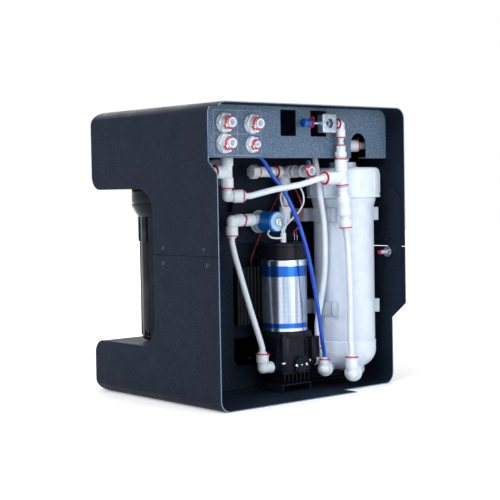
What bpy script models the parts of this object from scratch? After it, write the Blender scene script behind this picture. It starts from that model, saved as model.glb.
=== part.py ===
"""Reverse osmosis unit: folded steel case with its plumbing bay open at the rear.

Metres, +Z up. The origin is the middle of the case's underside. The cartridge
recess faces -Y and the open service bay faces +Y.
"""

import math

import bmesh
import bpy
from mathutils import Matrix, Vector

# General
PART_NAME = "reverse_osmosis_unit"
GAP = 0.0003
MERGE = 0.00001
OVERLAP = 0.001
X_AXIS = Vector((1, 0, 0))
Y_AXIS = Vector((0, 1, 0))
Z_AXIS = Vector((0, 0, 1))
ARM_STEPS = 8
MID_STEPS = 12
ROUND_STEPS = 20
BEND_STEPS = 4
HEX_SIDES = 6
TUBE_RESOLUTION = 2
CURVE_SAMPLES = 20
ALONG_SHARE = 0.9
RIB_FOOT_SHARE = 0.5
RIB_TIP_SHARE = 0.3
SHARP_ANGLE = math.radians(50)

# Case
CASE_WIDTH = 0.390
CASE_DEPTH = 0.324
CASE_HEIGHT = 0.450
SHEET = 0.0015
BEND_RADIUS = 0.018
SPLIT_HEIGHT = 0.226
SIDE_CORNER_RADIUS = 0.022
RECESS_TOP = 0.326
RECESS_BOTTOM = 0.0836
RECESS_BACK = 0.003
RECESS_CORNER_RADIUS = 0.038
RECESS_FOLD_RADIUS = 0.003
LEFT_NOTCH_BACK = 0.142
LEFT_NOTCH_TOP = 0.443
LEFT_NOTCH_BOTTOM = 0.364
LEFT_NOTCH_CHAMFER_END = 0.345
RIGHT_NOTCH_BACK = 0.1315
RIGHT_NOTCH_TOP = 0.1088
RIGHT_NOTCH_CHAMFER_END = 0.1336
FLOOR_NOTCH_X = -0.080

# Connection panel
PANEL_FACE_Y = 0.122
PANEL_BOTTOM = 0.370
PANEL_FLANGE_DEPTH = 0.018
PANEL_TAB_BACK = 0.150
PANEL_TAB_BOTTOM = 0.3716
PANEL_TAB_TOP = 0.402
PANEL_TAB_SLOT = (0.139, 0.146, 0.380, 0.396)
WINDOW_BOTTOM = 0.4033
WINDOW_TOP = 0.4435
WINDOW_ONE_X = (0.0048, 0.037)
WINDOW_TWO_X = (-0.059, -0.0255)
ARCH_X = (-0.147, -0.113)
ARCH_TOP = 0.410

# Partition
PARTITION_FACE_Y = 0.0168
PARTITION_FLANGE_FRONT = 0.034
PARTITION_SIDE_FLANGE_Z = (0.020, 0.430)
PARTITION_NOTCH_X = 0.048
PARTITION_NOTCH_Z = 0.287
PARTITION_OPENING_X = (-0.062, 0.050)
PARTITION_OPENING_Z = (0.040, 0.237)
PARTITION_OPENING_RADIUS = 0.014
PARTITION_NOTCH_RADIUS = 0.006

# Side straps
STRAP_THICKNESS = 0.0015
STRAP_FRONT_Y = 0.060
STRAP_TOP = 0.360
STRAP_NARROW_Y = 0.1258
STRAP_WIDE_Y = 0.155
STRAP_NARROW_Z = 0.333
STRAP_WIDE_Z = 0.307
STRAP_SHELF = 0.290
STRAP_ROUND = 0.007
STRAP_BOTTOM = 0.194
STRAP_FOOT_Y = 0.126

# Case fasteners
SCREW_SHANK_RADIUS = 0.0019
CASE_SCREWS_YZ = ((0.029, 0.237), (0.129, 0.237), (0.029, 0.214), (0.137, 0.214))
STUD_YZ = (0.125, 0.2165)
STUD_RADIUS = 0.003
STUD_LENGTH = 0.019
STUD_HEX_RADIUS = 0.0068
STUD_HEX_HEIGHT = 0.006

# Push fittings, large for 9.5 mm tube and small for 6.35 mm tube
LARGE_TUBE = 0.00475
SMALL_TUBE = 0.003175
LARGE_BODY = 0.0084
LARGE_COLLAR = 0.0099
LARGE_COLLET = 0.0074
PLUG_RADIUS = 0.0062
SMALL_BODY = 0.0062
SMALL_COLLAR = 0.0072
SMALL_COLLET = 0.0052
CLIP_THICKNESS = 0.0018
COLLET_THICKNESS = 0.0022
COLLAR_STEP = 0.0012
COLLAR_CHAMFER = 0.0010
ARM_SHRINK_SHARE = 0.985
DOME_SHARE = 0.62
CLIP_RIM = 0.0012
CLIP_TAB_LENGTH = 0.0050
CLIP_TAB_HALF = 0.0034
CLIP_TAB_OVERLAP_SHARE = 0.8
CLIP_TURNS = {
    "bulkhead_small": math.radians(100),
    "union": math.radians(120),
    "stack_elbow_down": math.radians(60),
    "stack_elbow_side": math.radians(200),
    "connector": math.radians(70),
    "stack_tee_up": math.radians(80),
    "stack_tee_side": math.radians(170),
    "stack_tee_down": math.radians(100),
    "check_valve": math.radians(90),
    "left_tee_down": math.radians(60),
    "left_tee_side": math.radians(200),
    "elbow_a": math.radians(185),
    "ball_valve": math.radians(160),
    "valve_tee_down": math.radians(80),
    "valve_tee_side": math.radians(190),
    "barrel": math.radians(190),
    "elbow_out_down": math.radians(100),
    "elbow_out_side": math.radians(160),
    "elbow_in_up": math.radians(80),
    "elbow_in_side": math.radians(190),
    "port_elbow": math.radians(90),
    "feed_tee": math.radians(100),
    "pump_left": math.radians(100),
    "pump_right": math.radians(80),
}

# Bulkheads through the connection panel
BULKHEAD_LARGE_XZ = ((0.1495, 0.421), (0.0958, 0.4202), (0.1496, 0.3906))
BULKHEAD_SMALL_XZ = (0.0961, 0.3895)
BULKHEAD_FLANGE = 0.0148
BULKHEAD_FLANGE_SMALL = 0.0123
BULKHEAD_FLANGE_THICKNESS = 0.0040
BULKHEAD_CONE = 0.0108
BULKHEAD_CONE_SMALL = 0.0088
BULKHEAD_CONE_TIP = 0.1375
BULKHEAD_CONE_TIP_SMALL = 0.1330
BULKHEAD_THREAD = 0.0085
BULKHEAD_THREAD_SMALL = 0.0068
BULKHEAD_TIP = 0.1450
BULKHEAD_TIP_SMALL = 0.1385
BULKHEAD_INNER = 0.0970
NUT_SPAN_SHARE = 1.42
NUT_HEIGHT = 0.006
BORE_DEPTH = 0.014

# Needle valve group
VALVE_Y = 0.137
VALVE_Z = 0.4232
BLOCK_X = (-0.0612, -0.0318)
BLOCK_DEPTH = 0.013
BLOCK_HEIGHT = 0.029
BLOCK_CORNER = 0.003
BLOCK_HEX_RADIUS = 0.0070
BLOCK_HEX_DEPTH = 0.0075
BLOCK_STEM_RADIUS = 0.0022
SPINDLE_RADIUS = 0.0032
SPINDLE_BASE_DEPTH = 0.0110
SPINDLE_TIP_DEPTH = 0.0045
SPINDLE_SLOT = 0.0010
UNION_END = 0.008
UNION_DISC = 0.0063
UNION_NECK = 0.0044
UNION_RING = 0.0056
UNION_DISC_X = 0.0025
UNION_NECK_X = -0.0015
UNION_INNER_X = -0.0117

# Stack of fittings at the right of the bay
STACK_X = -0.0763
STACK_Y = 0.137
STACK_ELBOW_Z = 0.4214
STACK_ELBOW_REACH_X = 0.0060
STACK_ELBOW_REACH = 0.0197
CONNECTOR_PIN = 0.0040
CONNECTOR_CLIP_Z = 0.3896
CONNECTOR_HEX_TOP = 0.3790
CONNECTOR_HEX_BOTTOM = 0.3712
CONNECTOR_HEX_RADIUS = 0.0095
STACK_TEE_Z = 0.3396
STACK_TEE_UP = 0.0284
STACK_TEE_DOWN = 0.0126
STACK_TEE_LEFT = 0.0363
STACK_TEE_LEFT_Z = -0.0016
STACK_LEAN = math.radians(5.9)
CHECK_RING = 0.0096
CHECK_WAIST = 0.0080
CHECK_BODY = 0.0105
CHECK_LOW_WAIST = 0.0070
CHECK_COLLAR = 0.0100
CHECK_LEVELS = (0.3205, 0.3190, 0.3110, 0.3065, 0.2796, 0.2770, 0.2720, 0.2605)

# Left tee and the elbow below it
LEFT_TEE = (0.110, 0.080, 0.3496)
LEFT_TEE_UP = 0.0225
LEFT_TEE_DOWN = 0.0250
LEFT_TEE_SIDE = 0.0240
ELBOW_A = (0.110, 0.080, 0.3125)
ELBOW_A_TURN = math.radians(150)
ELBOW_A_REACH = 0.0250

# Ball valve and its tee
BALL_VALVE_X = -0.0365
BALL_VALVE_Z = 0.350
BALL_VALVE_BACK = 0.0700
BALL_VALVE_MOUTH = 0.1130
BALL_VALVE_COLLAR = 0.0100
BALL_VALVE_BODY = 0.0092
BALL_CENTRE_Y = 0.0830
BALL_RADIUS = 0.0066
BALL_BORE = 0.0030
STEM_RADIUS = 0.0030
LEVER_X = -0.0565
LEVER_THICKNESS = 0.0040
LEVER_LENGTH = 0.037
LEVER_WIDTH = 0.010
VALVE_TEE = (-0.0365, 0.046, 0.350)
VALVE_TEE_FRONT = 0.0205
VALVE_TEE_DOWN = 0.0270
VALVE_TEE_SIDE = 0.0180
SIDE_BARREL_X = (-0.0142, 0.0120)
SIDE_BARREL_RADIUS = 0.0088
SIDE_HEX_X = (0.0120, 0.0380)
SIDE_HEX_RADIUS = 0.0112

# Solenoid valve
SOLENOID_Y = 0.044
SOLENOID_Z = 0.2745
SOLENOID_BODY_X = (-0.0070, 0.0260)
SOLENOID_BODY_Y = (0.030, 0.0597)
SOLENOID_BODY_HALF = 0.0150
SOLENOID_COLLAR_START = 0.0300
COIL_X = 0.007
COIL_Z = 0.271
COIL_RADIUS = 0.0165
COIL_START = 0.0600
COIL_END = 0.0790
CORE_TUBE = 0.0061
CORE_BORE = 0.0048
CORE_NUT = 0.0078
CORE_NUT_HEIGHT = 0.0050
PLUNGER_RADIUS = 0.0045
PLUNGER_Y = (0.0530, 0.0740)
CORE_Y = (0.0500, 0.0780)
ELBOW_OUT = (0.0730, 0.044, 0.2745)
ELBOW_OUT_DOWN = 0.0240
ELBOW_OUT_SIDE = 0.0215
ELBOW_IN = (-0.0375, 0.046, 0.2765)
ELBOW_IN_UP = 0.0185
ELBOW_IN_SIDE = 0.0180

# Booster pump
PUMP_X = -0.016
PUMP_Y = 0.064
CAN_RADIUS = 0.037
CAN_BORE = 0.029
CAN_BOTTOM = 0.0978
CAN_TOP = 0.211
CAP_RADIUS = 0.0350
CAP_TOP = 0.238
CAP_GROOVE_RADIUS = 0.0338
CAP_GROOVE_Z = (0.2300, 0.2320)
ROTOR_RADIUS = 0.026
ROTOR_Z = (0.110, 0.200)
SHAFT_RADIUS = 0.004
SHAFT_Z = (0.0880, 0.2200)
HEAD_TOP = CAN_BOTTOM - GAP
HEAD_FLANGE_RADIUS = 0.0385
HEAD_FLANGE_BOTTOM = 0.0895
HEAD_HALF = 0.0335
HEAD_CORNER = 0.0120
HEAD_BOTTOM = 0.0345
HEAD_COLUMN_RADIUS = 0.0048
HEAD_COLUMN_OFFSET = 0.0270
HEAD_COLUMN_BOTTOM = 0.0500
HEAD_PANEL_DEPTH = 0.0022
HEAD_PANEL_Z = (0.0560, 0.0840)
HEAD_PANEL_HALF = 0.0150
FIN_BOTTOM = 0.0150
FIN_THICKNESS = 0.0022
FIN_PITCH = 0.0084
FIN_COUNT = 7
FIN_HALF_DEPTH = 0.0280
FIN_TOP = 0.0370
PORT_RADIUS = 0.0088
PORT_LEFT_X = 0.0218
PORT_RIGHT_X = -0.0570
SWITCH_X = (-0.0550, -0.0390)
SWITCH_Y = (0.0930, 0.1040)
SWITCH_Z = (0.0535, 0.0880)
COVER_RADIUS = 0.0130
COVER_LOBE = 0.0014
COVER_LOBES = 10
COVER_THICKNESS = 0.0050
COVER_XZ = (-0.0180, 0.0445)
ELBOW_PUMP_LEFT = (0.0400, 0.0740, 0.0425)
ELBOW_PUMP_LEFT_UP = 0.0225
ELBOW_PUMP_RIGHT = (-0.0670, 0.0858, 0.0480)
ELBOW_PUMP_RIGHT_UP = 0.0185
BRACKET_X = (-0.046, 0.014)
BRACKET_Y = (0.0345, 0.0920)
BRACKET_THICKNESS = 0.002
BRACKET_TOP = FIN_BOTTOM - GAP

# Membrane housing
HOUSING_X = -0.1295
HOUSING_Y = 0.086
HOUSING_RADIUS = 0.049
HOUSING_BORE = 0.044
HOUSING_BASE_RADIUS = 0.050
HOUSING_SEAM = 0.075
HOUSING_DOME_TOP = 0.059
HOUSING_BOTTOM = 0.024
HOUSING_NECK_Z = (0.291, 0.306)
HOUSING_NECK_RADIUS = 0.0525
HOUSING_THREAD_RADIUS = 0.0515
HOUSING_TOP = 0.338
HOUSING_FLOOR = 0.062
DOME_STEPS = 5
PORT_TURN = math.radians(35)
PORT_SPACING = 0.0221
PORT_BOSS_RADIUS = 0.0100
PORT_BOSS_START = 0.004
PORT_BOSS_END = 0.0480
PERMEATE_Z = 0.0335
BRINE_Z = 0.0270
ELBOW_PORT_REACH = 0.0170
PERMEATE_UP = 0.0160
BRINE_UP = 0.0270
BRINE_FLANGE_RADIUS = 0.0143
PERMEATE_FLANGE_RADIUS = 0.0098
PORT_FLANGE_THICKNESS = 0.005
KNUCKLE_RADIUS = 0.0092
MEMBRANE_RADIUS = HOUSING_BORE - GAP
MEMBRANE_TOP = 0.330
CAP_OUTER = 0.060
CAP_ROOT = 0.0572
CAP_BASE_Z = 0.3067
CAP_SHOULDER_Z = 0.3400
CAP_CROWN_Z = 0.3550
CAP_FILLET = 0.010
CAP_BOSS_RADIUS = 0.0225
CAP_BOSS_TOP = 0.3650
CAP_RIBS = 16
CAP_RIB_SHARE = 0.30
CRADLE_THICKNESS = 0.004
CRADLE_Z = ((0.118, 0.140), (0.269, 0.2905))
CRADLE_HALF_OPENING = math.radians(57)
CRADLE_LUG = 0.007
CRADLE_BASE_X = (-0.183, -0.076)
CRADLE_ARC_STEPS = 18

# Feed tee over the membrane cap
FEED_Z = 0.391
FEED_TURN = math.radians(-30)
FEED_REACH = 0.0260
FEED_DOWN = FEED_Z - CAP_BOSS_TOP - GAP
PLUG_LENGTH = 0.010

# Cartridges and their manifold
CARTRIDGE_XS = (-0.122, 0.0, 0.122)
CARTRIDGE_Y = -0.057
CEILING_Z = RECESS_TOP + SHEET + GAP
CARTRIDGE_COLLAR = 0.0564
CARTRIDGE_COLLAR_BOTTOM = 0.299
CARTRIDGE_SHOULDER = 0.0467
CARTRIDGE_SHOULDER_Z = 0.282
CARTRIDGE_FOOT_RADIUS = 0.0440
CARTRIDGE_FOOT_FILLET = 0.006
CARTRIDGE_BOTTOM = 0.0865
CARTRIDGE_NECK = 0.0200
CARTRIDGE_NECK_TOP = 0.3520
CARTRIDGE_GRIP_Z = (0.250, 0.276)
CARTRIDGE_GRIP_ROOT = 0.0446
CARTRIDGE_GRIP_TIP = 0.0470
CARTRIDGE_GRIPS = 10
GRIP_SHARE = 0.42
NECK_HOLE_RADIUS = 0.030
MANIFOLD_HEAD = 0.040
MANIFOLD_BASE_Z = CEILING_Z + SHEET + GAP
MANIFOLD_TOP = 0.372
MANIFOLD_BAR_HALF = 0.013
MANIFOLD_BAR_Z = (0.345, 0.368)

# Power adapter
ADAPTER_X = (-0.012, 0.045)
ADAPTER_Y = (RECESS_BACK + 2 * SHEET + 2 * GAP, 0.0235)
ADAPTER_Z = (0.106, 0.199)
ADAPTER_RIBS = 8
ADAPTER_RIB_DEPTH = 0.0015

# Wires
LEAD_RADIUS = 0.0014
TERMINAL_RADIUS = 0.0019
TERMINALS_XY = ((-0.0375, 0.066), (-0.0430, 0.066))
TERMINAL_TOP = 0.2480
CONNECTOR_AT = (0.0015, 0.0845)
CONNECTOR_RADIUS = 0.0045
PLUG_TOP = 0.253
LEAD_LOOP = (
    (-0.0012, 0.0880, 0.2650),
    (0.0003, 0.0885, 0.2837),
    (0.0066, 0.0885, 0.2980),
    (0.0092, 0.0880, 0.3095),
    (0.0052, 0.0880, 0.3180),
    (-0.0060, 0.0880, 0.3250),
    (-0.0190, 0.0880, 0.3285),
    (-0.0310, 0.0880, 0.3255),
    (-0.0375, 0.0880, 0.3170),
    (-0.0399, 0.0880, 0.3087),
    (-0.0387, 0.0880, 0.2986),
    (-0.0287, 0.0880, 0.2858),
    (-0.0140, 0.0875, 0.2745),
)
LEAD_COIL_START = (0.0197, 0.0720, 0.2575)
LEAD_COIL = ((0.0270, 0.0765, 0.2530), (0.0255, 0.0820, 0.2475), (0.0160, 0.0845, 0.2455))
LEAD_PUMP = (
    (-0.0435, 0.0690, 0.2592),
    (-0.0488, 0.0700, 0.2737),
    (-0.0527, 0.0700, 0.2911),
    (-0.0504, 0.0690, 0.3028),
    (-0.0470, 0.0650, 0.3160),
    (-0.0490, 0.0520, 0.3290),
    (-0.0530, 0.0370, 0.3320),
    (-0.0480, 0.0240, 0.3180),
    (-0.0300, 0.0205, 0.2880),
    (-0.0060, 0.0205, 0.2500),
    (0.0060, 0.0190, 0.2250),
)
LEAD_PUMP_END = (0.010, 0.0145)
TWIN_RADIUS = 0.0016

# Tube routes between their fittings
ROUTE_BRINE = ((-0.0885, 0.137, 0.225), (-0.0916, 0.137, 0.144), (-0.0900, 0.138, 0.085))
ROUTE_PERMEATE = (
    (0.0930, 0.0830, 0.3880),
    (0.0800, 0.0820, 0.3830),
    (0.0540, 0.0950, 0.3700),
    (0.0348, 0.0980, 0.3440),
    (0.0179, 0.1040, 0.3210),
    (0.0051, 0.1100, 0.2940),
    (-0.0094, 0.1140, 0.2580),
    (-0.0207, 0.1170, 0.2180),
    (-0.0325, 0.1170, 0.1710),
    (-0.0440, 0.1150, 0.1220),
    (-0.0530, 0.1120, 0.0820),
)
ROUTE_A = ((0.0400, 0.1085, 0.3215), (0.0000, 0.1235, 0.3285))
ROUTE_C = ((0.0700, 0.0470, 0.2200), (0.0646, 0.0500, 0.1970), (0.0538, 0.0600, 0.1420))
ROUTE_D = (
    (-0.0678, 0.0860, 0.1060),
    (-0.0683, 0.0940, 0.1430),
    (-0.0700, 0.1010, 0.1850),
    (-0.0703, 0.1032, 0.2280),
    (-0.0680, 0.1038, 0.2700),
    (-0.0650, 0.1000, 0.3080),
    (-0.0648, 0.0945, 0.3420),
    (-0.0648, 0.0895, 0.3660),
    (-0.0720, 0.0745, 0.3860),
    (-0.0850, 0.0625, 0.3915),
)
ROUTE_LINK_UP = ((0.1095, 0.0800, 0.3950), (0.1050, 0.0820, 0.4100))
ROUTE_LINK_SIDE = ((0.1560, 0.0800, 0.3520), (0.1640, 0.0810, 0.3640), (0.1580, 0.0830, 0.3820))

# Finishes: linear colour, roughness, metallic
FINISHES = {
    "coated_steel": ((0.012, 0.018, 0.026), 0.55, 0.0),
    "zinc_steel": ((0.55, 0.56, 0.58), 0.35, 1.0),
    "white_plastic": ((0.80, 0.82, 0.84), 0.35, 0.0),
    "grey_plastic": ((0.35, 0.38, 0.40), 0.40, 0.0),
    "blue_plastic": ((0.01, 0.08, 0.45), 0.35, 0.0),
    "light_blue_plastic": ((0.10, 0.42, 0.75), 0.40, 0.0),
    "black_plastic": ((0.010, 0.010, 0.012), 0.35, 0.0),
    "gloss_black": ((0.008, 0.008, 0.010), 0.12, 0.0),
    "white_tube": ((0.75, 0.77, 0.80), 0.40, 0.0),
    "blue_tube": ((0.01, 0.10, 0.55), 0.35, 0.0),
    "brushed_can": ((0.62, 0.64, 0.67), 0.28, 1.0),
    "membrane": ((0.60, 0.62, 0.66), 0.50, 0.0),
    "wire": ((0.60, 0.60, 0.62), 0.45, 0.0),
}


# Scene set-up


def clear_scene():
    """Remove every object that the scene starts with."""
    for item in list(bpy.data.objects):
        bpy.data.objects.remove(item, do_unlink=True)


def new_collection(name):
    """Make a collection under the scene's own."""
    made = bpy.data.collections.new(name)
    bpy.context.scene.collection.children.link(made)
    return made


def finish(name):
    """Return the named finish as a material, made once for each node."""
    colour, roughness, metallic = FINISHES[name]
    made = bpy.data.materials.new(name)
    made.use_nodes = True
    shader = made.node_tree.nodes["Principled BSDF"]
    shader.inputs["Base Color"].default_value = (*colour, 1.0)
    shader.inputs["Roughness"].default_value = roughness
    shader.inputs["Metallic"].default_value = metallic
    return made


def as_part(item, name, finish_name):
    """Put a finished object among the parts under its node's name."""
    item.name = name
    item.data.name = name
    for holder in list(item.users_collection):
        holder.objects.unlink(item)
    PARTS.objects.link(item)
    item.hide_render = False
    item.display_type = "TEXTURED"
    item.data.materials.clear()
    item.data.materials.append(finish(finish_name))
    return item


def as_tool(item):
    """Put an object that only cuts or joins among the cutters."""
    for holder in list(item.users_collection):
        holder.objects.unlink(item)
    CUTTERS.objects.link(item)
    item.hide_render = True
    item.display_type = "WIRE"
    return item


# Shapes


def from_bmesh(form, name):
    """Turn a bmesh into an object among the cutters."""
    mesh = bpy.data.meshes.new(name)
    form.to_mesh(mesh)
    form.free()
    return as_tool(link_object(name, mesh))


def link_object(name, data):
    """Make an object from its data and link it to the scene."""
    made = bpy.data.objects.new(name, data)
    bpy.context.scene.collection.objects.link(made)
    return made


def block(low, high, bevel=0.0, bevel_axis=None):
    """Box between two corners; bevel rounds the edges along bevel_axis, or all of them."""
    low, high = Vector(low), Vector(high)
    form = bmesh.new()
    bmesh.ops.create_cube(form, size=1.0)
    size = high - low
    bmesh.ops.scale(form, vec=size, verts=form.verts)
    if bevel:
        edges = [
            edge
            for edge in form.edges
            if bevel_axis is None
            or abs((edge.verts[1].co - edge.verts[0].co).normalized().dot(bevel_axis)) > ALONG_SHARE
        ]
        bmesh.ops.bevel(
            form, geom=edges, offset=bevel, segments=BEND_STEPS, profile=0.5, affect="EDGES"
        )
    made = from_bmesh(form, "block")
    made.location = (low + high) / 2
    return made


def turned(profile, at, direction=Z_AXIS, steps=ARM_STEPS, spin=0.0):
    """Turn (radius, height) points, listed top to bottom, about the direction through at."""
    form = bmesh.new()
    verts = [form.verts.new((radius, 0.0, height)) for radius, height in profile]
    for first, second in zip(verts, verts[1:]):
        form.edges.new((first, second))
    made = from_bmesh(form, "turned")
    screw = made.modifiers.new("Screw", "SCREW")
    screw.axis = "Z"
    screw.angle = math.tau
    screw.steps = steps
    screw.render_steps = steps
    screw.use_merge_vertices = True
    screw.merge_threshold = MERGE
    screw.use_normal_calculate = False
    place(made, at, direction, spin)
    return made


def place(item, at, direction, spin=0.0):
    """Stand an object's own Z along the direction, at a point."""
    turn = Z_AXIS.rotation_difference(Vector(direction).normalized()).to_matrix().to_4x4()
    item.matrix_world = Matrix.Translation(Vector(at)) @ turn @ Matrix.Rotation(spin, 4, "Z")


def rod(start, end, radius, steps=ARM_STEPS, spin=0.0):
    """Cylinder or prism from one point to another."""
    start, end = Vector(start), Vector(end)
    form = bmesh.new()
    length = (end - start).length
    bmesh.ops.create_cone(
        form, cap_ends=True, segments=steps, radius1=radius, radius2=radius, depth=length
    )
    made = from_bmesh(form, "rod")
    place(made, (start + end) / 2, end - start, spin)
    return made


def clear_radius(radius, steps):
    """Corner radius of a faceted bore whose flats stay one gap clear of a round of the given radius."""
    return (radius + GAP) / math.cos(math.pi / steps)


def sheet_outline(points, thickness, at, across, up):
    """Flat outline, filled and extruded both ways by half its thickness, in the across and up plane."""
    curve = bpy.data.curves.new("outline", "CURVE")
    curve.dimensions = "2D"
    curve.fill_mode = "BOTH"
    curve.extrude = thickness / 2
    spline = curve.splines.new("POLY")
    spline.points.add(len(points) - 1)
    for point, (first, second) in zip(spline.points, points):
        point.co = (first, second, 0.0, 1.0)
    spline.use_cyclic_u = True
    drawn = link_object("outline", curve)
    across, up = Vector(across), Vector(up)
    out = across.cross(up)
    axes = Matrix((across, up, out)).transposed().to_4x4()
    drawn.matrix_world = Matrix.Translation(Vector(at)) @ axes
    return meshed(drawn)


def meshed(drawn):
    """Swap a curve object, or one with modifiers, for a welded mesh in its place."""
    bpy.context.view_layer.update()
    graph = bpy.context.evaluated_depsgraph_get()
    mesh = bpy.data.meshes.new_from_object(drawn.evaluated_get(graph))
    form = bmesh.new()
    form.from_mesh(mesh)
    bmesh.ops.remove_doubles(form, verts=form.verts, dist=MERGE)
    form.to_mesh(mesh)
    form.free()
    made = link_object(drawn.name, mesh)
    made.matrix_world = drawn.matrix_world.copy()
    bpy.data.objects.remove(drawn, do_unlink=True)
    return as_tool(made)


def change(base, others, operation):
    """Apply one kind of Boolean between the base and each of the others."""
    for other in others:
        step = base.modifiers.new(operation.title(), "BOOLEAN")
        step.operation = operation
        step.solver = "EXACT"
        step.object = as_tool(other)
    return base


def joined(base, *others):
    """Union of the base and the others."""
    return change(base, others, "UNION")


def cut(base, *others):
    """The base with the others taken out of it."""
    return change(base, others, "DIFFERENCE")


def assembled(*groups):
    """Union of every solid in the lists given, the first of them being the base."""
    solids = [solid for group in groups for solid in group]
    return joined(solids[0], *solids[1:])


def arc(centre, radius, start, end, steps):
    """Points of an arc, both ends included, with angles in radians."""
    return [
        (
            centre[0] + radius * math.cos(start + (end - start) * index / steps),
            centre[1] + radius * math.sin(start + (end - start) * index / steps),
        )
        for index in range(steps + 1)
    ]


def smooth_route(knots, spacing):
    """Evenly spaced points of a smooth curve through the inner knots; the outer ones aim its ends."""
    knots = [Vector(knot) for knot in knots]
    dense = []
    for index in range(1, len(knots) - 2):
        before, first, second, after = knots[index - 1 : index + 3]
        for part in range(CURVE_SAMPLES):
            share = part / CURVE_SAMPLES
            dense.append(
                0.5
                * (
                    2 * first
                    + (second - before) * share
                    + (2 * before - 5 * first + 4 * second - after) * share**2
                    + (3 * first - before - 3 * second + after) * share**3
                )
            )
    dense.append(knots[-2])
    lengths = [0.0]
    for first, second in zip(dense, dense[1:]):
        lengths.append(lengths[-1] + (second - first).length)
    count = max(2, round(lengths[-1] / spacing))
    route = []
    cursor = 0
    for index in range(count + 1):
        wanted = lengths[-1] * index / count
        while cursor < len(dense) - 2 and lengths[cursor + 1] < wanted:
            cursor += 1
        run = lengths[cursor + 1] - lengths[cursor]
        route.append(dense[cursor].lerp(dense[cursor + 1], min(1.0, (wanted - lengths[cursor]) / run)))
    return route


def tube(knots, radius, spacing):
    """Round tube, straight at both ends and smooth between the inner knots."""
    curve = bpy.data.curves.new("tube", "CURVE")
    curve.dimensions = "3D"
    curve.bevel_depth = radius
    curve.bevel_resolution = TUBE_RESOLUTION
    curve.use_fill_caps = True
    spline = curve.splines.new("POLY")
    route = [Vector(knots[0]), *smooth_route(knots, spacing), Vector(knots[-1])]
    spline.points.add(len(route) - 1)
    for point, place_at in zip(spline.points, route):
        point.co = (*place_at, 1.0)
    return meshed(link_object("tube", curve))


def toothed(root, tip, teeth, share):
    """Outline of a ring of flat-topped ribs."""
    points = []
    for index in range(teeth):
        corners = (
            (root, -RIB_FOOT_SHARE),
            (tip, -RIB_TIP_SHARE),
            (tip, RIB_TIP_SHARE),
            (root, RIB_FOOT_SHARE),
        )
        for radius, turn in corners:
            angle = math.tau * (index + turn * 2 * share) / teeth
            points.append((radius * math.cos(angle), radius * math.sin(angle)))
    return points


# Case

CLEAR = 0.010
HALF_WIDTH = CASE_WIDTH / 2
HALF_DEPTH = CASE_DEPTH / 2
INNER_HALF_WIDTH = HALF_WIDTH - SHEET - GAP
INNER_BOTTOM = SHEET + GAP
INNER_TOP = CASE_HEIGHT - SHEET - GAP
INNER_BEND = BEND_RADIUS - SHEET - GAP


def side_outline(inset, recess_radius):
    """Front and recess outline of the case's side in Y and Z, moved into the case by the inset."""
    front = -HALF_DEPTH + inset
    low, high = inset, CASE_HEIGHT - inset
    top, bottom = RECESS_TOP + inset, RECESS_BOTTOM - inset
    back = RECESS_BACK + inset
    outer = SIDE_CORNER_RADIUS - inset
    inner = recess_radius + inset
    step = BEND_STEPS
    quarter = math.pi / 2
    return [
        *arc((front + outer, high - outer), outer, quarter, 2 * quarter, step),
        *arc((front + outer, top + outer), outer, 2 * quarter, 3 * quarter, step),
        *arc((back - inner, top - inner), inner, quarter, 0.0, step),
        *arc((back - inner, bottom + inner), inner, 0.0, -quarter, step),
        *arc((front + outer, bottom - outer), outer, quarter, 2 * quarter, step),
        *arc((front + outer, low + outer), outer, 2 * quarter, 3 * quarter, step),
    ]


def side_solid():
    """The side outline carried past the case behind, above and below, and across its whole width."""
    outline = side_outline(0.0, RECESS_CORNER_RADIUS)
    behind = HALF_DEPTH + CLEAR
    over, under = CASE_HEIGHT + CLEAR, -CLEAR
    points = [(behind, under), (behind, over), (outline[0][0], over), *outline, (outline[-1][0], under)]
    return sheet_outline(points, CASE_WIDTH + CLEAR, (0, 0, 0), Y_AXIS, Z_AXIS)


def bent_sheet(path, near, far, along, thickness_offset):
    """Solidified surface swept from near to far along an axis, over an open path of points."""
    form = bmesh.new()
    verts = [form.verts.new(point) for point in path]
    edges = [form.edges.new(pair) for pair in zip(verts, verts[1:])]
    for vert in verts:
        vert.co += along * near
    swept = bmesh.ops.extrude_edge_only(form, edges=edges)["geom"]
    moved = [item for item in swept if isinstance(item, bmesh.types.BMVert)]
    bmesh.ops.translate(form, verts=moved, vec=along * (far - near))
    made = from_bmesh(form, "sheet")
    shell = made.modifiers.new("Solidify", "SOLIDIFY")
    shell.thickness = SHEET
    shell.offset = thickness_offset
    shell.use_even_offset = True
    return made


def wrap(split, far):
    """Half of the case: one sheet bent into a U, from the split height to its far side and back."""
    sign = 1.0 if far > split else -1.0
    centre = far - sign * BEND_RADIUS
    side = HALF_WIDTH - BEND_RADIUS
    quarter = math.pi / 2
    right = arc((side, centre), BEND_RADIUS, 0.0, sign * quarter, BEND_STEPS)
    left = [(-x, z) for x, z in reversed(right)]
    path = [(HALF_WIDTH, split), *right, *left, (-HALF_WIDTH, split)]
    return bent_sheet(
        [(x, 0.0, z) for x, z in path], -HALF_DEPTH, HALF_DEPTH, Y_AXIS, -sign
    )


def screw_hole(x, y, z):
    """Cutter for a case screw through a side wall."""
    return rod((x - CLEAR, y, z), (x + CLEAR, y, z), SCREW_SHANK_RADIUS + GAP)


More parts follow.
